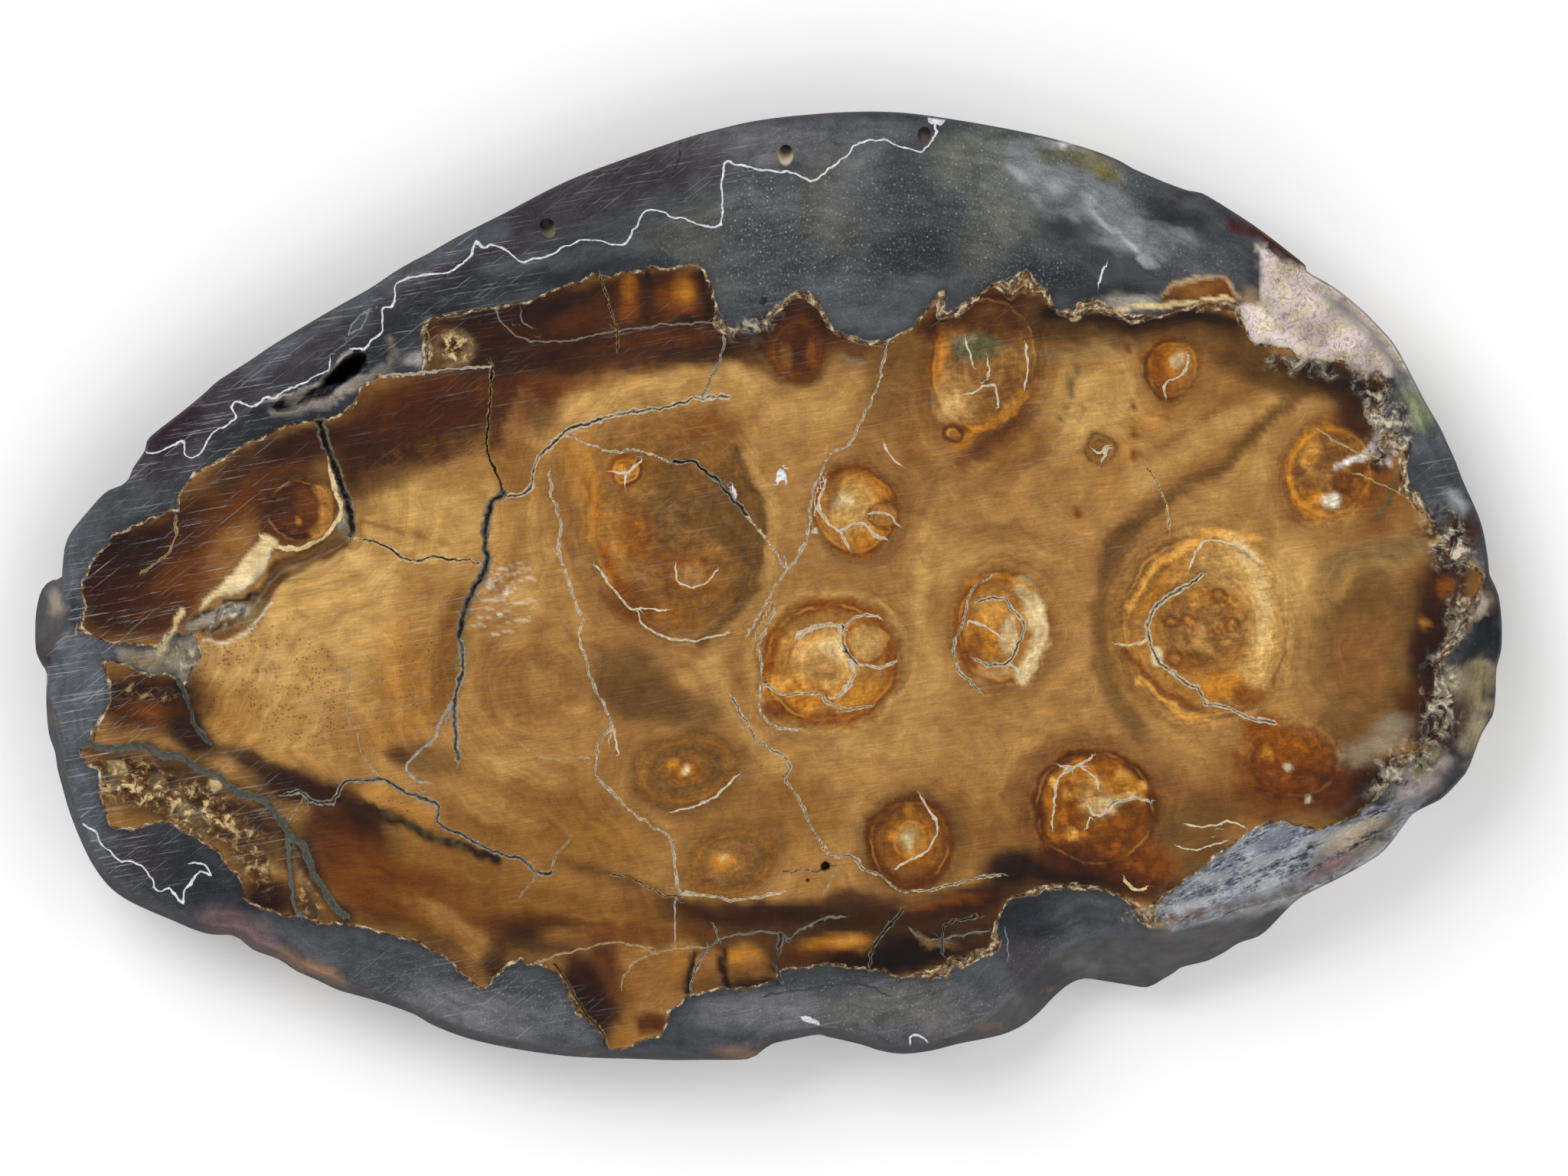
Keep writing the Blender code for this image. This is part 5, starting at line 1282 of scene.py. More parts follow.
def paint_crevice(canvas):
    canvas.area(OLIVE_BROWN, [
        (448, 700), (455, 712), (435, 728), (405, 735), (385, 745), (372, 760), (355, 785), (335, 800), (322, 822),
        (310, 832), (290, 838), (262, 822), (262, 812), (285, 800), (300, 790), (318, 778), (340, 770), (352, 745),
        (372, 728), (400, 716), (430, 706)], 1.0, 3)
    canvas.stroke(SEPIA, 7, [(448, 706), (410, 720), (380, 736), (360, 752), (345, 775)], 0.9)
    canvas.patch(DRAB, 325, 806, 26, 16, -40, 0.9)
    canvas.patch(DRAB, 390, 740, 14, 6, -20, 0.9)
    canvas.area(CREAM, [
        (345, 700), (362, 712), (352, 722), (350, 738), (340, 750), (325, 764), (300, 776), (278, 784), (262, 800),
        (268, 786), (285, 770), (300, 750), (320, 728), (332, 712)], 1.0, 3)
    canvas.stroke(IVORY, 2.5, [(352, 722), (350, 738), (340, 750), (325, 764), (300, 776)], 0.8)
    canvas.stroke(PALE_STONE, 7, [(250, 815), (275, 806), (300, 800), (318, 795)], 0.9)
    canvas.stroke(SOOT, 3, [(292, 790), (310, 784), (335, 778)], 0.9)
    canvas.stroke(SOOT, 3, [(255, 806), (275, 800)], 0.9)
    canvas.stroke(IVORY, 1.7, [(268, 832), (292, 840), (312, 836), (326, 822), (338, 803), (356, 788)], 0.8)
    canvas.patch(STONE_GREY, 447, 680, 7, 12)
    canvas.area(STONE_GREY, FILL_PATCH, 1.0, 4)
    canvas.patch(PUTTY, 232, 852, 22, 20, -30, 0.8)
    canvas.patch(DRAB, 185, 862, 24, 8, 0, 0.7)
    canvas.stroke(CREAM, 3, [(240, 795), (228, 820), (217, 838), (205, 850)], 0.9)


def paint_patches(canvas):
    canvas.patch(TAN, 592, 455, 22, 24, 0, 0.95)
    canvas.patch(RUSSET, 575, 440, 12, 20, 0, 0.6)
    canvas.patch(SEPIA, 566, 475, 18, 8)
    canvas.patch(PUTTY, 546, 460, 8, 16)
    for x, y, size in ((1065, 690, 4), (640, 762, 4), (655, 800, 3), (662, 770, 4)):
        canvas.patch(IVORY, x, y, size)
    for y, left, right in (
            (736, 655, 700), (741, 640, 662), (748, 648, 694), (757, 630, 656), (760, 664, 700), (766, 634, 648),
            (773, 650, 676), (780, 626, 660), (785, 668, 698), (792, 630, 646), (797, 655, 672), (806, 624, 642),
            (811, 650, 690), (820, 620, 634), (826, 646, 668)):
        canvas.stroke(IVORY, 1.5, [(left, y + 3), ((left + right) / 2, y), (right, y - 1)], 0.5)
    canvas.stroke(TOBACCO, 3, [(470, 680), (540, 700), (580, 712)], 0.7)
    canvas.stroke(BUFF, 5, [(548, 727), (566, 729)])
    canvas.stroke(OLIVE_SPOT, 4, [(602, 836), (603, 868)], 0.8)


def paint_core(points):
    canvas = Canvas(points, HONEY)
    paint_left_field(canvas)
    paint_middle(canvas)
    paint_right(canvas)
    paint_upper_right(canvas)
    paint_upper_plate(canvas)
    paint_left_lobe(canvas)
    paint_pear(canvas)
    paint_lower_band(canvas)
    paint_middle_stones(canvas)
    paint_great_stone(canvas)
    paint_lower_stones(canvas)
    paint_lower_right(canvas)
    paint_lower_left(canvas)
    paint_crevice(canvas)
    paint_patches(canvas)
    return canvas.colour


def paint_upper_rind(canvas):
    canvas.stroke(PLUM, 40, [(200, 590), (300, 500), (450, 410), (600, 325), (720, 262), (860, 205)], 0.9)
    canvas.patch(DARK_PLUM, 230, 562, 50, 22, -38)
    canvas.stroke(DEEP_SLATE, 26, [(300, 580), (420, 530), (520, 430), (620, 370), (720, 350), (860, 315)], 0.9)
    canvas.stroke(BLUE_SLATE, 14, [(330, 480), (450, 405), (560, 345), (650, 300)], 0.6)
    canvas.stroke(SMOKE, 12, [(640, 350), (760, 335), (850, 310)], 0.6)
    canvas.stroke(DEEP_SLATE, 20, [(330, 560), (420, 510), (470, 470)], 0.8)
    canvas.patch(ASH, 1000, 190, 110, 30, -4)
    canvas.patch(PLUM, 900, 220, 60, 30, -18, 0.7)
    canvas.patch(SMOKE, 1130, 172, 70, 16)
    canvas.patch(GREY_GREEN, 880, 305, 60, 26, -10, 0.6)
    canvas.patch(GREY_GREEN, 950, 320, 60, 80, 0, 0.7)
    canvas.patch(SLATE, 1000, 330, 60, 60, 0, 0.8)
    canvas.patch(SMOKE, 1010, 260, 70, 30, 0, 0.8)
    canvas.patch(GREY_GREEN, 1100, 260, 60, 70, 20)
    canvas.patch(ASH, 1120, 230, 30, 60, 24, 0.6)
    canvas.patch(SLATE, 1205, 275, 78, 70)
    canvas.patch(DEEP_SLATE, 1200, 330, 60, 30, 0, 0.8)
    canvas.patch(SMOKE, 1080, 390, 50, 34, 0, 0.8)
    canvas.patch(SMOKE, 1180, 400, 60, 34, -20, 0.8)
    canvas.patch(MOSS_GREY, 1270, 210, 60, 40)
    canvas.patch(MOSS_GREY, 1320, 260, 50, 50)
    canvas.patch(ASH, 1390, 235, 90, 50, 20)
    canvas.patch(MIST, 1360, 215, 50, 30, 20, 0.7)
    canvas.patch(MIST, 1450, 275, 60, 24, 24, 0.8)
    canvas.patch(CHALK, 1392, 190, 30, 8, 16, 0.6)
    canvas.patch(OLIVE_SPOT, 1415, 206, 44, 14, 22, 0.5)
    for x, y, size in ((1330, 230, 16), (1352, 262, 12), (1378, 240, 14), (1420, 262, 12), (1480, 300, 12), (1400, 285, 10)):
        canvas.patch(CHALK, x, y, size, size * 0.5, 30, 0.35)
    canvas.patch(MOSS, 1380, 200, 30, 14, 10, 0.8)
    canvas.patch(OLIVE_SPOT, 1446, 230, 18, 7, 18, 0.9)
    canvas.stroke(WHITE, 3, [(1378, 184), (1400, 186), (1425, 196)], 0.9)
    canvas.patch(GREY_GREEN, 1300, 330, 50, 40, 0, 0.8)
    canvas.patch(SLATE, 1400, 345, 90, 30, 4)
    canvas.patch(DEEP_SLATE, 1360, 360, 60, 20, 0, 0.8)
    canvas.patch(MIST, 1470, 315, 60, 16, 18)
    canvas.patch(CHALK, 1498, 342, 12, 6, 40, 0.9)
    canvas.stroke(CHALK, 3, [(1430, 280), (1460, 310), (1490, 335), (1510, 345), (1535, 325)], 0.6)
    canvas.patch(MIST, 1555, 312, 50, 14, 14, 0.8)
    canvas.stroke(CHALK, 3, [(1555, 300), (1580, 318), (1600, 330)], 0.6)
    canvas.stroke(PLUM, 4, [(1500, 290), (1530, 262), (1560, 240)], 0.9)
    canvas.patch(DEEP_SLATE, 1400, 300, 40, 12, 10, 0.7)
    canvas.patch(SMOKE, 1570, 345, 60, 24, 10)
    canvas.patch(DEEP_SLATE, 1540, 285, 70, 14, 20, 0.8)
    canvas.patch(DEEP_SLATE, 1450, 385, 60, 14, 0, 0.8)
    canvas.patch(SLATE, 1600, 320, 50, 26, 40, 0.9)
    canvas.area(DEEP_SLATE, [(1545, 415), (1600, 405), (1620, 400), (1600, 435), (1583, 442), (1555, 438)], 1.0, 5)
    canvas.patch(BONE, 560, 470, 30, 10, 0, 0.5)
    canvas.patch(PALE_STONE, 1470, 398, 40, 10, -6, 0.8)
    canvas.area(RUSSET, [
        (1512, 402), (1525, 383), (1539, 373), (1573, 366), (1601, 368), (1618, 392), (1600, 402), (1560, 404)], 1.0, 4)
    canvas.patch(TOBACCO, 1560, 380, 30, 8, -4, 0.8)
    canvas.stroke(CREAM, 3, [(1440, 408), (1490, 400), (1530, 398), (1580, 392), (1612, 392)], 0.9)
    canvas.stroke(TAN, 3, [(1515, 388), (1535, 374), (1573, 365), (1602, 368), (1618, 388)], 0.8)


def paint_right_rind(canvas):
    canvas.area(BONE, BONE_PATCH, 1.0, 6)
    canvas.patch(PINK, 1720, 440, 40, 14, 30, 0.6)
    canvas.patch(PINK, 1690, 390, 26, 12, 30, 0.5)
    canvas.patch(CHALK, 1740, 400, 40, 14, 36, 0.7)
    canvas.patch(STONE_GREY, 1660, 425, 26, 16, 30, 0.7)
    canvas.patch(STONE_GREY, 1780, 455, 24, 14, 40, 0.6)
    canvas.patch(TAN, 1640, 400, 26, 14, 60, 0.6)
    canvas.stroke(CHIP_RED, 8, [(1612, 292), (1645, 306), (1672, 326), (1702, 352)])
    canvas.patch(GREEN_TINT, 1852, 520, 16, 44, -24)
    canvas.patch(CHALK, 1835, 490, 12, 26, -30, 0.6)
    canvas.patch(SLATE, 1880, 605, 26, 40, -20)
    canvas.patch(BLUE_SLATE, 1868, 580, 24, 24, 0, 0.7)
    canvas.patch(MIST, 1905, 655, 12, 18, -20)
    canvas.patch(BARK, 1905, 695, 28, 26)
    canvas.patch(TAN, 1925, 790, 20, 54, -8)
    canvas.patch(BONE, 1930, 780, 10, 30, -8, 0.8)
    canvas.area(DEEP_SLATE, [
        (1900, 840), (1925, 810), (1950, 790), (1957, 800), (1960, 850), (1940, 865), (1915, 877), (1905, 865)], 1.0, 4)
    canvas.area(PUTTY, [
        (1880, 870), (1953, 865), (1953, 920), (1935, 960), (1920, 990), (1895, 900)], 1.0, 5)
    canvas.patch(OLIVE_SPOT, 1930, 900, 18, 34, 0, 0.4)
    canvas.patch(BARK, 1896, 945, 20, 40, 20, 0.9)
    canvas.patch(STONE_GREY, 1830, 990, 60, 26, -30)
    canvas.patch(BONE, 1860, 1020, 40, 20, -40, 0.6)
    canvas.patch(OLIVE_SPOT, 1860, 1005, 10, 10, 0, 0.8)
    canvas.patch(OLIVE_SPOT, 1875, 990, 8, 8, 0, 0.8)
    canvas.area(CHALK, CHALK_PATCH, 1.0, 6)
    canvas.patch(BLUE_SPECK, 1668, 1098, 36, 16, -20, 0.55)
    canvas.patch(BLUE_SPECK, 1600, 1130, 26, 10, -30, 0.45)
    canvas.patch(SMOKE, 1570, 1165, 50, 10, -20, 0.5)
    canvas.patch(CREAM, 1775, 1095, 44, 16, -24, 0.6)
    canvas.patch(PINK, 1740, 1132, 34, 9, -24, 0.8)
    canvas.stroke(STONE_GREY, 5, [(1590, 1192), (1640, 1182), (1700, 1162)], 0.8)
    canvas.stroke(RUST, 4, [(1525, 1200), (1550, 1199), (1572, 1194)], 0.7)
    canvas.patch(TAN, 1517, 1207, 14, 5)


def paint_lower_rind(canvas):
    canvas.patch(BLUE_SLATE, 100, 900, 50, 130)
    canvas.patch(BLUE_SLATE, 100, 720, 30, 60, 20)
    canvas.patch(SLATE, 150, 690, 60, 20, -36, 0.8)
    canvas.patch(BLUE_SLATE, 100, 1090, 34, 60, -20, 0.9)
    canvas.patch(DEEP_SLATE, 240, 1140, 90, 40, 24)
    canvas.patch(PLUM, 180, 1120, 40, 24, 30, 0.6)
    canvas.patch(MAUVE, 320, 1218, 60, 22, 20)
    canvas.patch(SAND, 404, 1262, 50, 10, 24, 0.9)
    canvas.patch(SMOKE, 400, 1235, 60, 16, 22, 0.7)
    canvas.patch(SLATE, 500, 1250, 80, 26, 18)
    canvas.patch(ASH, 640, 1322, 110, 30, 14)
    canvas.patch(SLATE, 700, 1285, 60, 20, 10)
    canvas.patch(SMOKE, 740, 1330, 50, 40, 0, 0.7)
    canvas.patch(SLATE, 890, 1345, 60, 26)
    canvas.patch(ASH, 1000, 1322, 90, 26, 0)
    canvas.patch(SAND, 970, 1377, 34, 6, 0, 0.8)
    canvas.patch(WALL_GREY, 1200, 1320, 130, 34)
    canvas.patch(MOSS_GREY, 1150, 1310, 80, 14, 0, 0.5)
    canvas.patch(SMOKE, 1300, 1290, 60, 40, 0, 0.7)
    canvas.patch(DEEP_SLATE, 1350, 1195, 70, 34)
    canvas.patch(SLATE, 1420, 1195, 60, 26, 10)
    canvas.patch(PLUM, 1345, 1260, 30, 40, 0, 0.6)
    canvas.patch(SMOKE, 1455, 1245, 80, 30)
    canvas.patch(WALL_GREY, 1440, 1268, 70, 14, 0, 0.8)
    canvas.patch(WALL_GREY, 1560, 1235, 80, 20, -16)
    canvas.patch(DEEP_SLATE, 1372, 1282, 34, 16, -30, 0.9)
    canvas.stroke(MIST, 3, [(1322, 1298), (1334, 1318), (1342, 1335)], 0.6)
    canvas.stroke(MIST, 3, [(1390, 1260), (1410, 1256), (1440, 1274), (1460, 1283)], 0.6)
    canvas.patch(ASH, 1560, 1215, 60, 10, -12, 0.6)
    canvas.patch(DARK_PLUM, 58, 845, 16, 22)
    canvas.patch(SMOKE, 62, 815, 18, 30, 0, 0.9)
    canvas.patch(IVORY, 71, 786, 11, 17, 0, 0.9)
    canvas.patch(DEEP_SLATE, 92, 800, 12, 20, 0, 0.8)


def paint_cavity_lips(canvas):
    canvas.patch(PALE_STONE, 445, 512, 60, 7, -24, 0.8)
    canvas.stroke(STONE_GREY, 4, [
        (355, 542), (372, 542), (383, 534), (401, 525), (423, 520), (444, 511), (465, 501), (480, 495),
        (495, 485), (512, 473), (510, 457), (507, 445)], 0.8)
    canvas.stroke(DEEP_SLATE, 6, [(366, 531), (395, 520), (430, 506)], 0.9)
    canvas.stroke(PALE_STONE, 2.5, [(372, 530), (398, 512), (420, 492), (440, 474), (462, 462)], 0.8)
    canvas.stroke(PALE_STONE, 2.5, [(352, 522), (372, 519), (396, 508)], 0.8)
    canvas.patch(SLATE, 470, 425, 10, 24, 30)
    canvas.patch(MIST, 560, 430, 10, 16, 0, 0.5)


def paint_rind(points):
    canvas = Canvas(points, SLATE)
    paint_lower_rind(canvas)
    paint_upper_rind(canvas)
    paint_right_rind(canvas)
    paint_cavity_lips(canvas)
    paint_crevice(canvas)
    return canvas.colour


# Fields that the material reads at the slab's points.
def stone_fields(points):
    """How far each point is inside a stone (0 to 1), its place between middle and rim, and from the rim."""
    mask = np.zeros(len(points))
    ring = np.zeros(len(points))
    edge = np.full(len(points), 9.0)
    clear = np.zeros(len(points))
    for name, (x, y, half_x, half_y, turn) in STONES.items():
        reach = patch_reach(points, x, y, half_x, half_y, turn)
        radius = math.sqrt(half_x * half_y) * MM_PER_PX
        weight = 1 - smooth_step(1.0, 1.4, reach)
        weight *= {"faint": 0.35, "pear": 0.7}.get(name, 1.0)
        stronger = weight > mask * 0.999
        ring = np.where(stronger, reach * radius, ring)
        mask = np.maximum(mask, weight)
        gap = (reach - 1) * radius
        closer = np.abs(gap) < np.abs(edge)
        edge = np.where(closer, gap, edge)
        clear = np.where(closer, STONE_RIMS.get(name, 0.8), clear)
    return mask, ring, edge, clear


def flow_field(points, core):
    """A height whose contours wrap round the stones and the core's edge, in millimetres."""
    softness = 30.0
    total = np.exp(-np.clip(core, 0, 400) / softness)
    for name, (x, y, half_x, half_y, turn) in STONES.items():
        if min(half_x, half_y) > 26:
            reach = patch_reach(points, x, y, half_x, half_y, turn)
            total += np.exp(-np.clip(reach - 1, 0, None) * math.sqrt(half_x * half_y) / softness)
    return -softness * np.log(total) * MM_PER_PX


def line_fields(points):
    """Place across the nearest thin line in half widths, nearness, darkness and colour."""
    across = np.full(len(points), 9.0)
    gap = np.full(len(points), 40.0)
    dark = np.zeros(len(points))
    tone = np.tile(light_of(TAN), (len(points), 1))
    for name, (half, darkness, _, colour, _) in LINES.items():
        distance, side = way_distance(points, CURVED_LINES[name], 40)
        closer = distance - half < gap
        across = np.where(closer, side * distance / half, across)
        dark = np.where(closer, darkness, dark)
        tone[closer] = light_of(colour)
        gap = np.where(closer, distance - half, gap)
    return across, 1 - smooth_step(3.0, 6.0, gap), dark, tone


def spot_field(points, spots):
    """Soft patches (x, y, half size across, half size down, turn, strength), the strongest at each point."""
    field = np.zeros(len(points))
    for x, y, half_x, half_y, turn, strength in spots:
        reach = patch_reach(points, x, y, half_x, half_y, turn)
        field = np.maximum(field, strength * (1 - smooth_step(0.5, 1.3, reach)))
    return field


DOTTED = [
    (350, 880, 90, 70, 20, 0.9), (420, 950, 90, 36, 14, 0.6), (560, 590, 110, 24, -12, 0.8),
    (440, 640, 60, 30, -20, 0.5), (490, 1050, 60, 14, 20, 0.8), (560, 890, 60, 60, 0, 0.3),
]
BUBBLED = [
    (1429, 1056, 82, 76, 16, 1.0), (1470, 1135, 80, 34, 10, 1.0), (1578, 818, 60, 52, 0, 0.9), (1737, 616, 62, 66, 20, 0.9),
    (1690, 990, 84, 56, 10, 0.8), (1050, 900, 64, 44, 10, 0.8), (1118, 667, 52, 54, 0, 0.6),
    (1290, 500, 70, 90, 8, 0.5), (1188, 1100, 52, 52, 0, 0.6), (1540, 760, 60, 40, -38, 0.7),
    (391, 668, 46, 42, 0, 0.2), (870, 690, 112, 136, -14, 0.45), (1300, 830, 56, 66, 0, 0.4), (817, 614, 20, 20, 0, 0.8),
]
RUBBLY = [
    (1815, 550, 26, 60, -20, 0.9), (1790, 505, 40, 20, 30, 0.8), (1890, 705, 34, 44, -30, 0.9),
    (1882, 920, 26, 70, 0, 0.8), (1838, 1000, 60, 30, -35, 0.8), (1905, 800, 20, 40, 0, 0.7),
    (290, 805, 50, 16, -20, 0.8), (232, 856, 30, 26, 0, 0.5), (1800, 590, 24, 20, 0, 0.8),
    (985, 425, 40, 14, -20, 0.5), (1700, 480, 60, 12, 10, 0.6), (1500, 1195, 50, 12, 0, 0.4),
]
CRUMBLY = [
    (190, 1028, 80, 28, 14, 0.85), (270, 1070, 50, 34, 40, 0.85), (404, 1180, 14, 30, -20, 0.8),
    (592, 455, 22, 24, 0, 1.0), (330, 1120, 20, 50, -20, 0.6), (190, 905, 60, 10, 6, 0.5),
]
DARK_EDGES = [
    (1440, 412, 230, 46, 0, 0.9), (1740, 505, 90, 46, 14, 1.0), (1880, 860, 44, 130, 0, 1.0),
    (1400, 1156, 140, 34, 0, 1.0), (1180, 1240, 180, 44, 0, 0.9), (620, 1250, 120, 36, 14, 0.9),
    (780, 1310, 50, 70, 20, 0.9), (180, 720, 120, 60, -38, 0.7), (760, 380, 230, 40, -12, 0.8),
    (200, 900, 90, 40, 0, 0.9), (400, 1190, 120, 40, 14, 0.8), (1020, 420, 90, 50, 0, 1.0),
    (960, 1280, 100, 26, 0, 0.8), (1790, 1030, 70, 50, -20, 0.9), (1240, 420, 60, 40, 0, 0.8),
]
GLITTERING = [
    (1205, 280, 90, 80, 0, 0.7), (1010, 310, 80, 110, 0, 1.0), (1120, 300, 90, 110, 0, 0.8),
    (1290, 250, 60, 110, 0, 1.0), (1400, 220, 110, 60, 20, 0.6), (1330, 350, 90, 40, 0, 0.7),
    (1560, 340, 70, 34, 0, 0.5), (900, 320, 60, 30, 0, 0.4), (1150, 1320, 220, 50, 0, 0.5),
    (640, 1310, 200, 50, 14, 0.4), (1450, 1250, 120, 40, 0, 0.3), (1100, 180, 120, 20, 0, 0.5),
]
SCRATCHED = [
    (120, 900, 90, 240, 0, 1.0), (480, 850, 200, 150, 0, 0.45), (640, 520, 110, 90, 0, 0.3),
    (620, 1300, 200, 60, 14, 0.5), (1120, 1320, 200, 50, 0, 0.4), (250, 720, 200, 80, -38, 0.7), (260, 560, 200, 90, -36, 1.0),
    (560, 380, 200, 80, -28, 0.9), (850, 240, 160, 70, -12, 0.6), (150, 1110, 110, 70, 30, 1.0),
    (640, 780, 60, 60, 0, 0.9), (600, 560, 160, 60, -10, 0.3), (300, 1060, 120, 90, 30, 0.7),
    (1150, 700, 500, 400, 0, 0.25), (880, 430, 100, 40, -8, 0.4), (1880, 620, 40, 60, 0, 0.6),
]


def write_field(mesh, name, values):
    field = mesh.attributes.new(name, "FLOAT", "POINT")
    field.data.foreach_set("value", values.astype(np.float32))


def write_colour(mesh, name, colours):
    field = mesh.attributes.new(name, "FLOAT_COLOR", "POINT")
    full = np.ones((len(colours), 4), dtype=np.float32)
    full[:, :3] = colours
    field.data.foreach_set("color", full.ravel())


def write_fields(mesh):
    """Everything that the material reads, at each of the slab's points."""
    places = np.empty(len(mesh.vertices) * 3, dtype=np.float32)
    mesh.vertices.foreach_get("co", places)
    places = places.reshape(-1, 3).astype(float)
    points = picture_points(places)
    flat = places * np.array([1, 1, 0.0])
    sway = np.stack([field_noise(flat, 0.004, 1), field_noise(flat, 0.004, 2)], axis=1)
    fine_sway = np.stack([field_noise(flat, 0.0015, 3, 2), field_noise(flat, 0.0015, 4, 2)], axis=1)
    waved = points + 6.0 * sway + 3.5 * fine_sway
    outer_points, inner_points = face_edge_points()
    rim = [picture_points(np.array([p[:]]))[0] for p in inner_points]
    face_depth = ring_side(points, rim, 60)
    height = places[:, 2]
    on_wall = smooth_step(0.0010, 0.0016, THICKNESS - height) * (1 - smooth_step(12.0, 20.0, face_depth))
    on_top = smooth_step(-3.0, -1.0, face_depth) * smooth_step(0.0012, 0.0025, height) * (1 - on_wall)
    core = ring_side(points + 2.5 * fine_sway, CORE_EDGE, 400)
    ragged = jittered(points, places)
    across, near, dark, tone = line_fields(ragged)
    _, rough = worn_drop(points, places)
    stone, ring, stone_edge, stone_clear = stone_fields(points + 2.5 * sway)
    # Painted shade: the cavity is painted towards black deeper down, and each pit is painted dark.
    hollow_shade = smooth_step(1.0, 9.0, ring_side(ragged, CAVITY_RIM, 40)) * smooth_step(0.0, 0.002, THICKNESS - height)
    for x, y, radius, _, darkness in PITS:
        reach = np.hypot(points[:, 0] - x, points[:, 1] - y) / radius
        hollow_shade = np.maximum(hollow_shade, darkness * (1 - smooth_step(0.6, 1.0, reach)))
    bored = np.zeros(len(points))
    bored_colour_and_shade = np.tile(light_of(DRAB), (len(points), 1))
    for (x, y), radius, _, _, colour in HOLES:
        reach = np.hypot(points[:, 0] - x, points[:, 1] - y) * M_PER_PX / radius
        here = (1 - smooth_step(3.0, 4.0, reach)) * smooth_step(0.0001, 0.0003, THICKNESS - height)
        bored_colour_and_shade[here > 0] = light_of(colour)
        bored = np.maximum(bored, here)
    # Painted shade: each hole's wall colour is painted darker the deeper it lies below the face.
    bored_colour_and_shade *= (1 - 0.92 * smooth_step(0.0006, 0.0019, THICKNESS - height))[:, None]
    crust = np.full(len(points), RIM_HALF_WIDTH)
    for x, y, reach, half in BROAD_RIM:
        share = 1 - smooth_step(0.4, 1.1, np.hypot(points[:, 0] - x, points[:, 1] - y) / reach)
        crust = np.maximum(crust, RIM_HALF_WIDTH + (half - RIM_HALF_WIDTH) * share)
    write_colour(mesh, "core_paint", paint_core(waved))
    torn = waved + 7.0 * fine_sway * smooth_step(1600, 1800, points[:, 0])[:, None]
    write_colour(mesh, "rind_paint", paint_rind(torn))
    write_colour(mesh, "line_tone", tone)
    write_colour(mesh, "bored_colour_and_shade", bored_colour_and_shade)
    write_field(mesh, "on_top", on_top)
    write_field(mesh, "core_side", np.clip(core, -60, 70) * MM_PER_PX)
    write_field(mesh, "crust", crust * MM_PER_PX)
    write_field(mesh, "line_across", across)
    write_field(mesh, "line_near", near)
    write_field(mesh, "line_dark", dark)
    write_field(mesh, "rough", rough)
    write_field(mesh, "stone", stone)
    write_field(mesh, "ring", ring)
    write_field(mesh, "stone_edge", stone_edge)
    write_field(mesh, "stone_clear", stone_clear)
    write_field(mesh, "rim_depth", ring_side(points, rim, 300) * MM_PER_PX)
    write_field(mesh, "bony", smooth_step(-5, 5, ring_side(waved, BONE_PATCH, 30)))
    write_field(mesh, "chalky", smooth_step(-6, 6, ring_side(waved, CHALK_PATCH, 30)))
    write_field(mesh, "bubbles", spot_field(waved, BUBBLED))
    write_field(mesh, "crumbs", spot_field(waved, CRUMBLY))
    write_field(mesh, "rubble", spot_field(ragged, RUBBLY))
    write_field(mesh, "edge_dark", spot_field(waved, DARK_EDGES))
    write_field(mesh, "flow", flow_field(waved, core))
    write_field(mesh, "hollow_shade", hollow_shade)
    write_field(mesh, "bored", bored)
    write_field(mesh, "dots", spot_field(waved, DOTTED))
    write_field(mesh, "glitter", spot_field(waved, GLITTERING))
    write_field(mesh, "scratches", spot_field(points, SCRATCHED))
    write_field(mesh, "back", (1 - smooth_step(0.0002, 0.0010, height)) * smooth_step(-1.0, 1.0, face_depth))


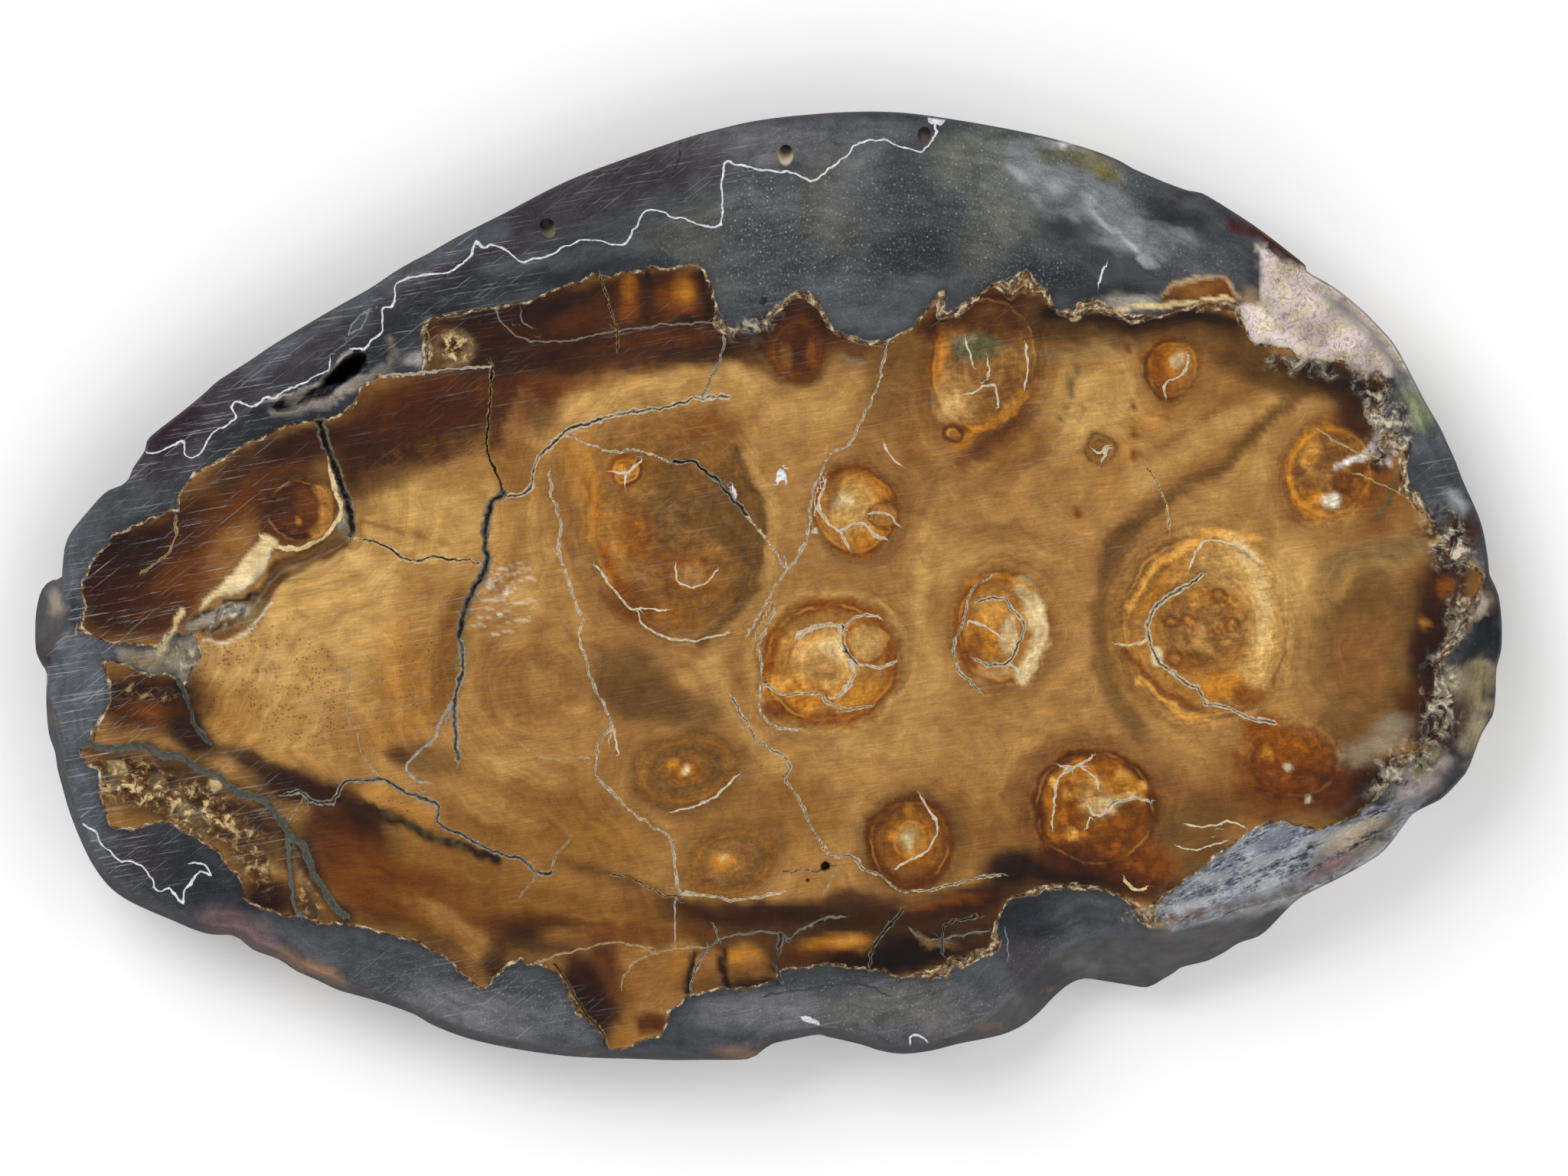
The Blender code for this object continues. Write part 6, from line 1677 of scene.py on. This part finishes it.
# Material.
class Graph:
    """Short calls for a node tree. A socket is passed as it is, and a number or colour is set as a value."""

    def __init__(self, tree):
        self.tree = tree

    def put(self, socket, value):
        if isinstance(value, bpy.types.NodeSocket):
            self.tree.links.new(value, socket)
        else:
            socket.default_value = value

    def field(self, name, output="Fac"):
        node = self.tree.nodes.new("ShaderNodeAttribute")
        node.attribute_name = name
        return node.outputs[output]

    def math(self, operation, first, second=0.0, third=0.0):
        node = self.tree.nodes.new("ShaderNodeMath")
        node.operation = operation
        for socket, value in zip(node.inputs, (first, second, third)):
            self.put(socket, value)
        return node.outputs[0]

    def step(self, low, high, value, start=0.0, end=1.0):
        """Start below low, end above high, and a smooth change between them."""
        node = self.tree.nodes.new("ShaderNodeMapRange")
        node.interpolation_type = "SMOOTHSTEP"
        for socket, item in zip(node.inputs[:5], (value, low, high, start, end)):
            self.put(socket, item)
        return node.outputs[0]

    def mix(self, share, first, second, blend="MIX"):
        node = self.tree.nodes.new("ShaderNodeMix")
        node.data_type = "RGBA"
        node.blend_type = blend
        node.clamp_factor = True
        self.put(node.inputs[0], share)
        self.put(node.inputs[6], first)
        self.put(node.inputs[7], second)
        return node.outputs[2]

    def scale(self, vector, amount):
        node = self.tree.nodes.new("ShaderNodeVectorMath")
        node.operation = "SCALE"
        self.put(node.inputs[0], vector[:3] if isinstance(vector, tuple) else vector)
        self.put(node.inputs[3], amount)
        return node.outputs[0]

    def combine(self, x, y, z):
        node = self.tree.nodes.new("ShaderNodeCombineXYZ")
        for socket, value in zip(node.inputs, (x, y, z)):
            self.put(socket, value)
        return node.outputs[0]

    def turned(self, vector, degrees, scale):
        """A vector turned about Z and then stretched, for streaks."""
        turn = self.tree.nodes.new("ShaderNodeVectorRotate")
        turn.rotation_type = "Z_AXIS"
        self.put(turn.inputs["Vector"], vector)
        turn.inputs["Angle"].default_value = math.radians(degrees)
        stretch = self.tree.nodes.new("ShaderNodeVectorMath")
        stretch.operation = "MULTIPLY"
        self.put(stretch.inputs[0], turn.outputs[0])
        stretch.inputs[1].default_value = scale
        return stretch.outputs[0]

    def noise(self, vector, scale, detail=4.0, roughness=0.55, distortion=0.0):
        node = self.tree.nodes.new("ShaderNodeTexNoise")
        for name, value in (("Vector", vector), ("Scale", scale), ("Detail", detail),
                            ("Roughness", roughness), ("Distortion", distortion)):
            self.put(node.inputs[name], value)
        return node.outputs["Fac"]

    def cells(self, vector, scale):
        """Distance to the nearest cell middle, and a random value of that cell."""
        node = self.tree.nodes.new("ShaderNodeTexVoronoi")
        self.put(node.inputs["Vector"], vector)
        self.put(node.inputs["Scale"], scale)
        return node.outputs["Distance"], node.outputs["Color"]


def colour_of(colour):
    return (*light_of(colour), 1.0)


def swing(g, value, amount):
    """A factor about 1 from a noise value about 0.5."""
    return g.math("MULTIPLY_ADD", g.math("SUBTRACT", value, 0.5), amount, 1.0)


def deepened(g, colour, factor):
    """A colour made darker or lighter, with green and blue falling faster than red."""
    warm = g.combine(factor, g.math("POWER", factor, 1.14), g.math("POWER", factor, 1.38))
    return g.mix(1.0, colour, warm, "MULTIPLY")


def band_noise(g, along, mm, across, drift, detail=4.0, roughness=0.55):
    """Noise that changes quickly with a height and slowly over the face."""
    x, y, _ = split(g, mm)
    place = g.combine(
        g.math("MULTIPLY", along, across), g.math("MULTIPLY", x, drift), g.math("MULTIPLY", y, drift))
    return g.noise(place, 1.0, detail, roughness)


def core_look(g, mm, paint):
    """The core's colour: flowing bands, rings in the stones, fine grain, mottling and brown dots."""
    bent = g.math("ADD", g.field("flow"), g.math("MULTIPLY", g.noise(mm, 0.25, 3.0), 3.0))
    wide = band_noise(g, bent, mm, 0.9, 0.06)
    fine = band_noise(g, bent, mm, 4.0, 0.22, 5.0, 0.65)
    polish = g.noise(g.turned(mm, -8, (0.35, 6.0, 1.0)), 1.0, 4.0, 0.6)
    stone = g.field("stone")
    wobble = g.math("MULTIPLY", g.noise(mm, 0.7, 4.0), 1.6)
    rings = band_noise(g, g.math("ADD", g.field("ring"), wobble), mm, 1.9, 0.10, 4.0, 0.6)
    mottle = g.noise(mm, 0.45, 7.0, 0.62, 0.3)
    cloud = g.noise(mm, 1.5, 6.0, 0.65, 0.6)
    factor = g.math("MULTIPLY", swing(g, wide, 1.0), swing(g, fine, 0.6))
    factor = g.math("MULTIPLY", factor, swing(g, mottle, 1.1))
    factor = g.math("MULTIPLY", factor, swing(g, polish, 0.9))
    factor = g.math("MULTIPLY", factor, swing(g, g.noise(mm, 4.0, 6.0, 0.8), 0.9))
    in_stone = g.math("MULTIPLY", stone, g.math("SUBTRACT", rings, 0.5))
    factor = g.math("MULTIPLY", factor, g.math("MULTIPLY_ADD", in_stone, 1.0, 1.0))
    in_stone = g.math("MULTIPLY", stone, g.math("SUBTRACT", cloud, 0.5))
    factor = g.math("MULTIPLY", factor, g.math("MULTIPLY_ADD", in_stone, 1.5, 1.0))

    warped = g.math("MULTIPLY", g.noise(mm, 0.9, 5.0, 0.6), 2.2)
    x, y, _ = split(g, mm)
    bubble, _ = g.cells(g.combine(g.math("ADD", x, warped), g.math("SUBTRACT", y, warped), 0.0), 0.85)
    shade = g.math("MULTIPLY", g.field("bubbles"), g.step(0.20, 0.70, bubble, -0.26, 0.34))
    factor = g.math("MULTIPLY", factor, g.math("SUBTRACT", 1.0, shade))
    colour = deepened(g, paint, factor)

    rim = g.math("ADD", g.field("stone_edge"), g.math("MULTIPLY", g.math("SUBTRACT", g.noise(mm, 0.5, 3.0), 0.5), 1.0))
    inner = g.step(0.05, 0.22, g.math("ABSOLUTE", g.math("ADD", rim, 0.25)), 1.0, 0.0)
    outer = g.step(0.04, 0.30, g.math("ABSOLUTE", g.math("SUBTRACT", rim, 0.12)), 1.0, 0.0)
    patchy = g.math("MULTIPLY", g.step(0.42, 0.60, g.noise(mm, 0.32, 3.0), 0.05, 1.0), g.field("stone_clear"))
    shady = g.math("MULTIPLY", g.step(0.60, 0.40, g.noise(mm, 0.28, 3.0, 0.5, 1.0), 0.1, 1.0), g.field("stone_clear"))
    colour = g.mix(g.math("MULTIPLY", g.math("MULTIPLY", inner, patchy), 0.75), colour, colour_of(ORANGE))
    colour = g.mix(g.math("MULTIPLY", g.math("MULTIPLY", outer, shady), 0.75), colour, colour_of(WALNUT))

    distance, random = g.cells(mm, 3.2)
    crowds = g.math("MULTIPLY", g.field("dots"), g.step(0.42, 0.60, g.noise(mm, 0.5, 4.0, 0.6)))
    chosen = g.math("LESS_THAN", first_of(g, random), crowds)
    dots = g.math("MULTIPLY", g.step(0.20, 0.50, distance, 1.0, 0.0), chosen)
    colour = g.mix(g.math("MULTIPLY", crowds, 0.3), colour, colour_of(TOBACCO))
    colour = g.mix(g.math("MULTIPLY", dots, 0.6), colour, colour_of(CHESTNUT))

    crumb = g.noise(mm, 0.85, 6.0, 0.7, 0.5)
    crumbs = g.mix(g.step(0.44, 0.50, crumb), colour_of(UMBER), colour_of(SEPIA))
    crumbs = g.mix(g.step(0.52, 0.56, crumb), crumbs, colour_of(TAN))
    crumbs = g.mix(g.step(0.56, 0.61, crumb), crumbs, colour_of(CREAM))
    return g.mix(g.field("crumbs"), colour, crumbs)


def rind_look(g, mm, paint):
    """The rind's colour: layered, cloudy slate with bright and dark specks, and two rough pale patches."""
    cloud = g.noise(mm, 0.4, 7.0, 0.65, 0.4)
    grain = g.noise(mm, 5.0, 6.0, 0.8)
    bent = g.math("ADD", g.field("rim_depth"), g.math("MULTIPLY", g.noise(mm, 0.18, 3.0), 4.0))
    layers = band_noise(g, bent, mm, 1.5, 0.10, 5.0, 0.65)
    factor = g.math("MULTIPLY", swing(g, cloud, 1.8), swing(g, grain, 1.9))
    factor = g.math("MULTIPLY", factor, swing(g, layers, 1.5))
    colour = g.scale(paint, g.math("MAXIMUM", factor, 0.1))
    distance, random = g.cells(mm, 2.7)
    bright = g.math("POWER", first_of(g, random), 2.5)
    bright = g.math("MULTIPLY", bright, g.math("MULTIPLY_ADD", g.field("glitter"), 0.65, 0.05))
    specks = g.math("MULTIPLY", g.step(0.10, 0.36, distance, 1.0, 0.0), bright)
    colour = g.mix(specks, colour, colour_of(CHALK))
    fine = g.step(0.52, 0.68, g.noise(mm, 3.6, 3.0, 0.7))
    fine = g.math("MULTIPLY", fine, g.math("MULTIPLY_ADD", g.field("glitter"), 0.6, 0.06))
    colour = g.mix(fine, colour, colour_of(MIST))
    colour = g.mix(g.math("MULTIPLY", g.field("bony"), 0.96), colour, bone_look(g, mm))
    return g.mix(g.math("MULTIPLY", g.field("chalky"), 0.96), colour, chalk_look(g, mm, paint))


def bone_look(g, mm):
    """Chunky cream, white and pink lumps with dark cracks between them."""
    warped = g.math("MULTIPLY", g.noise(mm, 0.9, 5.0, 0.6), 2.4)
    x, y, _ = split(g, mm)
    distance, random = g.cells(g.combine(g.math("ADD", x, warped), g.math("ADD", y, warped), 0.0), 0.36)
    tint = g.mix(g.step(0.60, 0.95, first_of(g, random), 0.0, 0.45), colour_of(BONE), colour_of(PINK))
    tint = g.mix(g.step(0.48, 0.56, g.noise(mm, 0.5, 6.0, 0.65)), tint, colour_of(IVORY))
    # Painted shade: each lump is painted lighter in its middle and darker at its edge, as a rounded lump would be lit.
    shade = g.math("MULTIPLY", g.step(0.3, 0.9, distance, 1.2, 0.82), swing(g, g.noise(mm, 2.0, 6.0, 0.7), 1.3))
    lumps = g.scale(tint, shade)
    ridge = g.math("ABSOLUTE", g.math("SUBTRACT", g.noise(mm, 0.8, 7.0, 0.65, 0.6), 0.5))
    return g.mix(g.step(0.004, 0.022, ridge, 0.6, 0.0), lumps, colour_of(CHIP_RED))


def chalk_look(g, mm, paint):
    """Streaks of white, blue and black specks that run with the edge."""
    streaks = g.turned(mm, -24, (0.45, 1.5, 1.0))
    broad = g.noise(streaks, 0.5, 6.0, 0.68, 0.4)
    sharp = g.noise(streaks, 2.2, 6.0, 0.8)
    colour = g.scale(paint, swing(g, g.noise(mm, 4.0, 6.0, 0.8), 1.3))
    blue = g.math("MULTIPLY", g.step(0.46, 0.58, broad), g.step(0.42, 0.56, sharp))
    colour = g.mix(g.math("MULTIPLY", blue, 0.85), colour, colour_of(BLUE_SPECK))
    black = g.step(0.50, 0.62, g.math("MULTIPLY_ADD", broad, 0.5, g.math("MULTIPLY", sharp, 0.5)), 0.0, 0.95)
    colour = g.mix(black, colour, colour_of(DEEP_SLATE))
    return g.mix(g.step(0.46, 0.38, sharp, 0.0, 0.8), colour, colour_of(WHITE))


def split(g, vector):
    node = g.tree.nodes.new("ShaderNodeSeparateXYZ")
    g.put(node.inputs[0], vector)
    return node.outputs


def first_of(g, colour):
    node = g.tree.nodes.new("ShaderNodeSeparateColor")
    g.put(node.inputs[0], colour)
    return node.outputs[0]


def scratch_mask(g, mm):
    """Fine polishing scratches in two directions, where the scratches field is strong."""
    near_level = g.noise(g.turned(mm, -10, (0.12, 4.6, 1.0)), 1.0, 6.0, 0.78)
    rising = g.noise(g.turned(mm, -38, (0.12, 6.0, 1.0)), 1.0, 4.0, 0.72)
    lines = g.math("MAXIMUM", g.step(0.565, 0.63, near_level), g.step(0.60, 0.67, rising))
    return g.math("MULTIPLY", lines, g.field("scratches"))


def tooth_material():
    """Polished fossil tooth: brown core, grey rind, pale lines and cracks, rough wall and sawn back."""
    material = bpy.data.materials.new("polished_fossil_tooth")
    material.use_nodes = True
    tree = material.node_tree
    shader = tree.nodes["Principled BSDF"]
    g = Graph(tree)
    place = tree.nodes.new("ShaderNodeTexCoord").outputs["Object"]
    mm = g.scale(place, 1000.0)
    flat_x, flat_y, _ = split(g, mm)
    flat = g.combine(flat_x, flat_y, 0.0)

    core = core_look(g, flat, g.field("core_paint", "Color"))
    rind = rind_look(g, flat, g.field("rind_paint", "Color"))
    ragged = g.math("MULTIPLY", g.math("SUBTRACT", g.noise(flat, 1.3, 6.0, 0.65), 0.5), 0.7)
    side = g.math("ADD", g.field("core_side"), ragged)
    face = g.mix(g.step(-0.05, 0.05, side), rind, core)
    inward = g.math("ADD", side, g.math("MULTIPLY", g.math("SUBTRACT", g.noise(flat, 0.4, 5.0, 0.6), 0.5), 2.8))
    darkest = g.math("MULTIPLY_ADD", g.field("edge_dark"), -0.58, 0.82)
    shade = g.math("MINIMUM", g.step(-0.4, 4.2, inward, darkest, 1.0), 1.0)
    face = g.mix(g.step(-0.02, 0.02, side), face, deepened(g, face, shade))
    outside = g.math("MULTIPLY_ADD", g.step(-1.2, 0.0, side), -0.35, 1.0)
    face = g.mix(g.step(-0.02, 0.02, side), g.scale(face, outside), face)
    crust_reach = g.math("DIVIDE", g.math("ABSOLUTE", side), g.field("crust"))
    broken = g.step(0.40, 0.50, g.noise(flat, 1.0, 6.0, 0.65), 0.12, 0.88)
    crust = g.math("MULTIPLY", g.step(0.6, 1.1, crust_reach, 1.0, 0.0), broken)
    layered = g.noise(g.combine(g.math("MULTIPLY", side, 2.4), flat_x, flat_y), 1.0, 6.0, 0.7)
    crust_colour = g.mix(g.step(0.40, 0.62, layered), colour_of(BARK), colour_of(TAN))
    crust_colour = g.mix(g.step(0.54, 0.62, layered), crust_colour, colour_of(IVORY))
    face = g.mix(crust, face, crust_colour)

    chunks = g.noise(flat, 0.7, 7.0, 0.68, 0.8)
    rubble = g.mix(g.step(0.46, 0.50, chunks), colour_of(UMBER), colour_of(STONE_GREY))
    rubble = g.mix(g.step(0.54, 0.58, chunks), rubble, colour_of(IVORY))
    patchwork = g.step(0.42, 0.56, g.noise(flat, 0.5, 5.0, 0.6, 0.5), 0.1, 1.0)
    face = g.mix(g.math("MULTIPLY", g.field("rubble"), patchwork), face, rubble)

    scratches = scratch_mask(g, flat)
    face = g.mix(g.math("MULTIPLY", scratches, 0.34), face, colour_of(WHITE))

    edge_noise = g.math("SUBTRACT", g.noise(flat, 2.6, 6.0, 0.7), 0.5)
    swell = g.math("SUBTRACT", g.noise(flat, 0.35, 3.0), 0.5)
    edge_noise = g.math("MULTIPLY_ADD", edge_noise, 1.5, g.math("MULTIPLY", swell, 1.2))
    across = g.math("ADD", g.math("ABSOLUTE", g.field("line_across")), edge_noise)
    near = g.field("line_near")
    dark = g.field("line_dark")
    line = g.math("MULTIPLY", g.step(0.80, 1.25, across, 1.0, 0.0), near)
    line_colour = g.scale(g.field("line_tone", "Color"), swing(g, g.noise(flat, 1.8, 6.0, 0.8), 2.6))
    middle = g.math("MULTIPLY_ADD", dark, -1.0, 1.1)
    line_colour = g.scale(line_colour, g.step(0.15, 0.75, across, middle, 1.12))
    face = g.mix(g.math("MULTIPLY", line, 0.88), face, line_colour)
    # Dark grey-brown down the middle of the darker lines.
    line_middle_colour = g.mix(g.step(0.48, 0.66, g.noise(flat, 1.6, 6.0, 0.75), 0.0, 0.8), colour_of(UMBER), colour_of(STONE_GREY))
    core_width = g.math("MULTIPLY_ADD", dark, 0.75, 0.0)
    gap = g.step(0.0, 0.25, g.math("SUBTRACT", core_width, across))
    gap = g.math("MULTIPLY", g.math("MULTIPLY", gap, near), g.step(0.0, 0.5, dark))
    face = g.mix(g.math("MULTIPLY", gap, 0.92), face, line_middle_colour)
    # Painted shade in the cavity and the pits.
    face = g.mix(g.math("MULTIPLY", g.field("hollow_shade"), 0.95), face, colour_of(BLACK))
    # Hole walls: their colour, with painted shade deeper down.
    face = g.mix(g.field("bored"), face, g.field("bored_colour_and_shade", "Color"))

    wall_noise = g.noise(g.turned(mm, 0, (1.0, 1.0, 2.2)), 0.5, 7.0, 0.65)
    wall_paint = g.mix(0.45, g.field("rind_paint", "Color"), colour_of(WALL_GREY))
    wall = g.scale(wall_paint, swing(g, wall_noise, 1.2))
    wall = g.mix(g.step(0.56, 0.70, g.noise(mm, 0.35, 5.0, 0.6), 0.0, 0.35), wall, colour_of(SAND))
    sawn = g.noise(g.turned(mm, 12, (0.1, 5.0, 1.0)), 1.0, 4.0, 0.6)
    sawn_colour = g.scale(g.mix(0.35, face, colour_of(DRAB)), swing(g, sawn, 0.5))
    other = g.mix(g.field("back"), wall, sawn_colour)
    colour = g.mix(g.field("on_top"), other, face)
    g.put(shader.inputs["Base Color"], colour)

    rough_places = g.math("MAXIMUM", g.field("rough"), g.math("SUBTRACT", 1.0, g.field("on_top")))
    rough_places = g.math("MAXIMUM", rough_places, g.math("MULTIPLY", line, 0.8))
    polish = g.math("MULTIPLY_ADD", g.noise(flat, 1.2, 4.0), 0.16, 0.24)
    polish = g.math("ADD", polish, g.math("MULTIPLY", scratches, 0.2))
    roughness = g.math("MULTIPLY_ADD", rough_places, 0.5, polish)
    g.put(shader.inputs["Roughness"], g.math("MINIMUM", roughness, 0.9))
    shader.inputs["Specular IOR Level"].default_value = 0.22

    bump_height = g.math("MULTIPLY", g.noise(mm, 3.0, 8.0, 0.7), g.math("MULTIPLY_ADD", rough_places, 1.0, 0.02))
    bump = tree.nodes.new("ShaderNodeBump")
    bump.inputs["Strength"].default_value = 0.6
    bump.inputs["Distance"].default_value = 0.0004
    g.put(bump.inputs["Height"], bump_height)
    g.put(shader.inputs["Normal"], bump.outputs[0])
    return material


# Stage.
def studio_light(name, energy, size, place, aim=(0.0, 0.0, 0.0)):
    data = bpy.data.lights.new(name, "AREA")
    data.energy = energy
    data.shape = "SQUARE"
    data.size = size
    light = bpy.data.objects.new(name, data)
    light.location = place
    light.rotation_mode = "QUATERNION"
    light.rotation_quaternion = (Vector(aim) - Vector(place)).to_track_quat("-Z", "Y")
    bpy.context.scene.collection.objects.link(light)


def stage_floor():
    bm = bmesh.new()
    bmesh.ops.create_grid(bm, x_segments=1, y_segments=1, size=2.0)
    floor = object_from(bm, "floor")
    material = bpy.data.materials.new("pale_floor")
    material.use_nodes = True
    shader = material.node_tree.nodes["Principled BSDF"]
    shader.inputs["Base Color"].default_value = (0.97, 0.97, 0.97, 1.0)
    shader.inputs["Roughness"].default_value = 0.9
    floor.data.materials.append(material)


def stage_camera(distance):
    """Looks straight down on the slab, framed as the photograph."""
    data = bpy.data.cameras.new("camera")
    data.sensor_width = 36.0
    data.lens = data.sensor_width * distance / (PHOTO_WIDTH * M_PER_PX)
    data.clip_start, data.clip_end = 0.05, 20.0
    camera = bpy.data.objects.new("camera", data)
    middle = at(PHOTO_WIDTH / 2, PHOTO_HEIGHT / 2)
    camera.location = (middle.x, middle.y, THICKNESS + distance)
    bpy.context.scene.collection.objects.link(camera)
    bpy.context.scene.camera = camera


class TOOTH_PG_slab(bpy.types.PropertyGroup):
    face_step: bpy.props.FloatProperty(
        name="Face step", description="Spacing of the points of the polished face away from lines",
        default=0.00058, min=0.0003, max=0.003, precision=5, unit="LENGTH", subtype="DISTANCE")
    line_reach: bpy.props.FloatProperty(
        name="Line reach", description="How far from a thin line the face is split finer, in picture pixels",
        default=6.0, min=0.0, max=30.0)
    back_step: bpy.props.FloatProperty(
        name="Back step", description="Spacing of the points of the sawn back",
        default=0.0025, min=0.0005, max=0.01, precision=5, unit="LENGTH", subtype="DISTANCE")
    wall_step: bpy.props.FloatProperty(
        name="Wall step", description="Spacing of the points round the wall",
        default=0.0007, min=0.0003, max=0.005, precision=5, unit="LENGTH", subtype="DISTANCE")
    wall_levels: bpy.props.IntProperty(
        name="Wall levels", description="Rings of the wall below its widest place",
        default=10, min=3, max=30)


class TOOTH_PG_stage(bpy.types.PropertyGroup):
    camera_distance: bpy.props.FloatProperty(
        name="Camera distance", description="Height of the camera above the polished face",
        default=1.4, min=0.3, max=5.0, unit="LENGTH", subtype="DISTANCE")
    key_energy: bpy.props.FloatProperty(
        name="Key light", description="Energy of the key light", default=5.6, min=0.0, max=50.0, subtype="POWER")
    world_strength: bpy.props.FloatProperty(
        name="World light", description="Strength of the even light all round", default=0.34, min=0.0, max=5.0)


class TOOTH_OT_build_slab(bpy.types.Operator):
    """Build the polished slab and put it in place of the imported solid"""

    bl_idname = "tooth.build_slab"
    bl_label = "Build slab"

    def execute(self, context):
        slab = slab_shape(context.scene.tooth_slab)
        write_fields(slab.data)
        slab.data.materials.clear()
        slab.data.materials.append(tooth_material())
        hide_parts("tooth_slice")
        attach(slab, "root")
        print("slab triangles", sum(len(p.vertices) - 2 for p in slab.data.polygons))
        return {"FINISHED"}


class TOOTH_OT_build_stage(bpy.types.Operator):
    """Build the floor, the lights and the camera"""

    bl_idname = "tooth.build_stage"
    bl_label = "Build stage"

    def execute(self, context):
        settings = context.scene.tooth_stage
        stage_floor()
        studio_light("key_light", settings.key_energy, 0.7, (-0.45, 0.45, 0.75))
        studio_light("fill_light", settings.key_energy * 0.55, 0.9, (0.60, -0.10, 0.70))
        studio_light("front_light", settings.key_energy * 0.45, 0.9, (0.0, -0.65, 0.65))
        world = bpy.data.worlds.new("studio")
        world.use_nodes = True
        background = world.node_tree.nodes["Background"]
        background.inputs["Color"].default_value = (1.0, 1.0, 1.0, 1.0)
        background.inputs["Strength"].default_value = settings.world_strength
        context.scene.world = world
        context.scene.view_settings.view_transform = "Standard"
        stage_camera(settings.camera_distance)
        return {"FINISHED"}


class TOOTH_PT_panel(bpy.types.Panel):
    """Settings and build buttons in the 3D view's sidebar"""

    bl_label = "Tooth Slice"
    bl_idname = "TOOTH_PT_panel"
    bl_space_type = "VIEW_3D"
    bl_region_type = "UI"
    bl_category = "Tooth Slice"

    def draw(self, context):
        layout = self.layout
        for settings, operator in (
                (context.scene.tooth_slab, "tooth.build_slab"), (context.scene.tooth_stage, "tooth.build_stage")):
            box = layout.box()
            for name in settings.__annotations__:
                box.prop(settings, name)
            box.operator(operator)


CLASSES = (TOOTH_PG_slab, TOOTH_PG_stage, TOOTH_OT_build_slab, TOOTH_OT_build_stage, TOOTH_PT_panel)


def register():
    for cls in CLASSES:
        bpy.utils.register_class(cls)
    bpy.types.Scene.tooth_slab = bpy.props.PointerProperty(type=TOOTH_PG_slab)
    bpy.types.Scene.tooth_stage = bpy.props.PointerProperty(type=TOOTH_PG_stage)


def unregister():
    del bpy.types.Scene.tooth_stage
    del bpy.types.Scene.tooth_slab
    for cls in reversed(CLASSES):
        bpy.utils.unregister_class(cls)


def main():
    register()
    bpy.ops.tooth.build_slab()
    bpy.ops.tooth.build_stage()


if __name__ == "__main__":
    main()
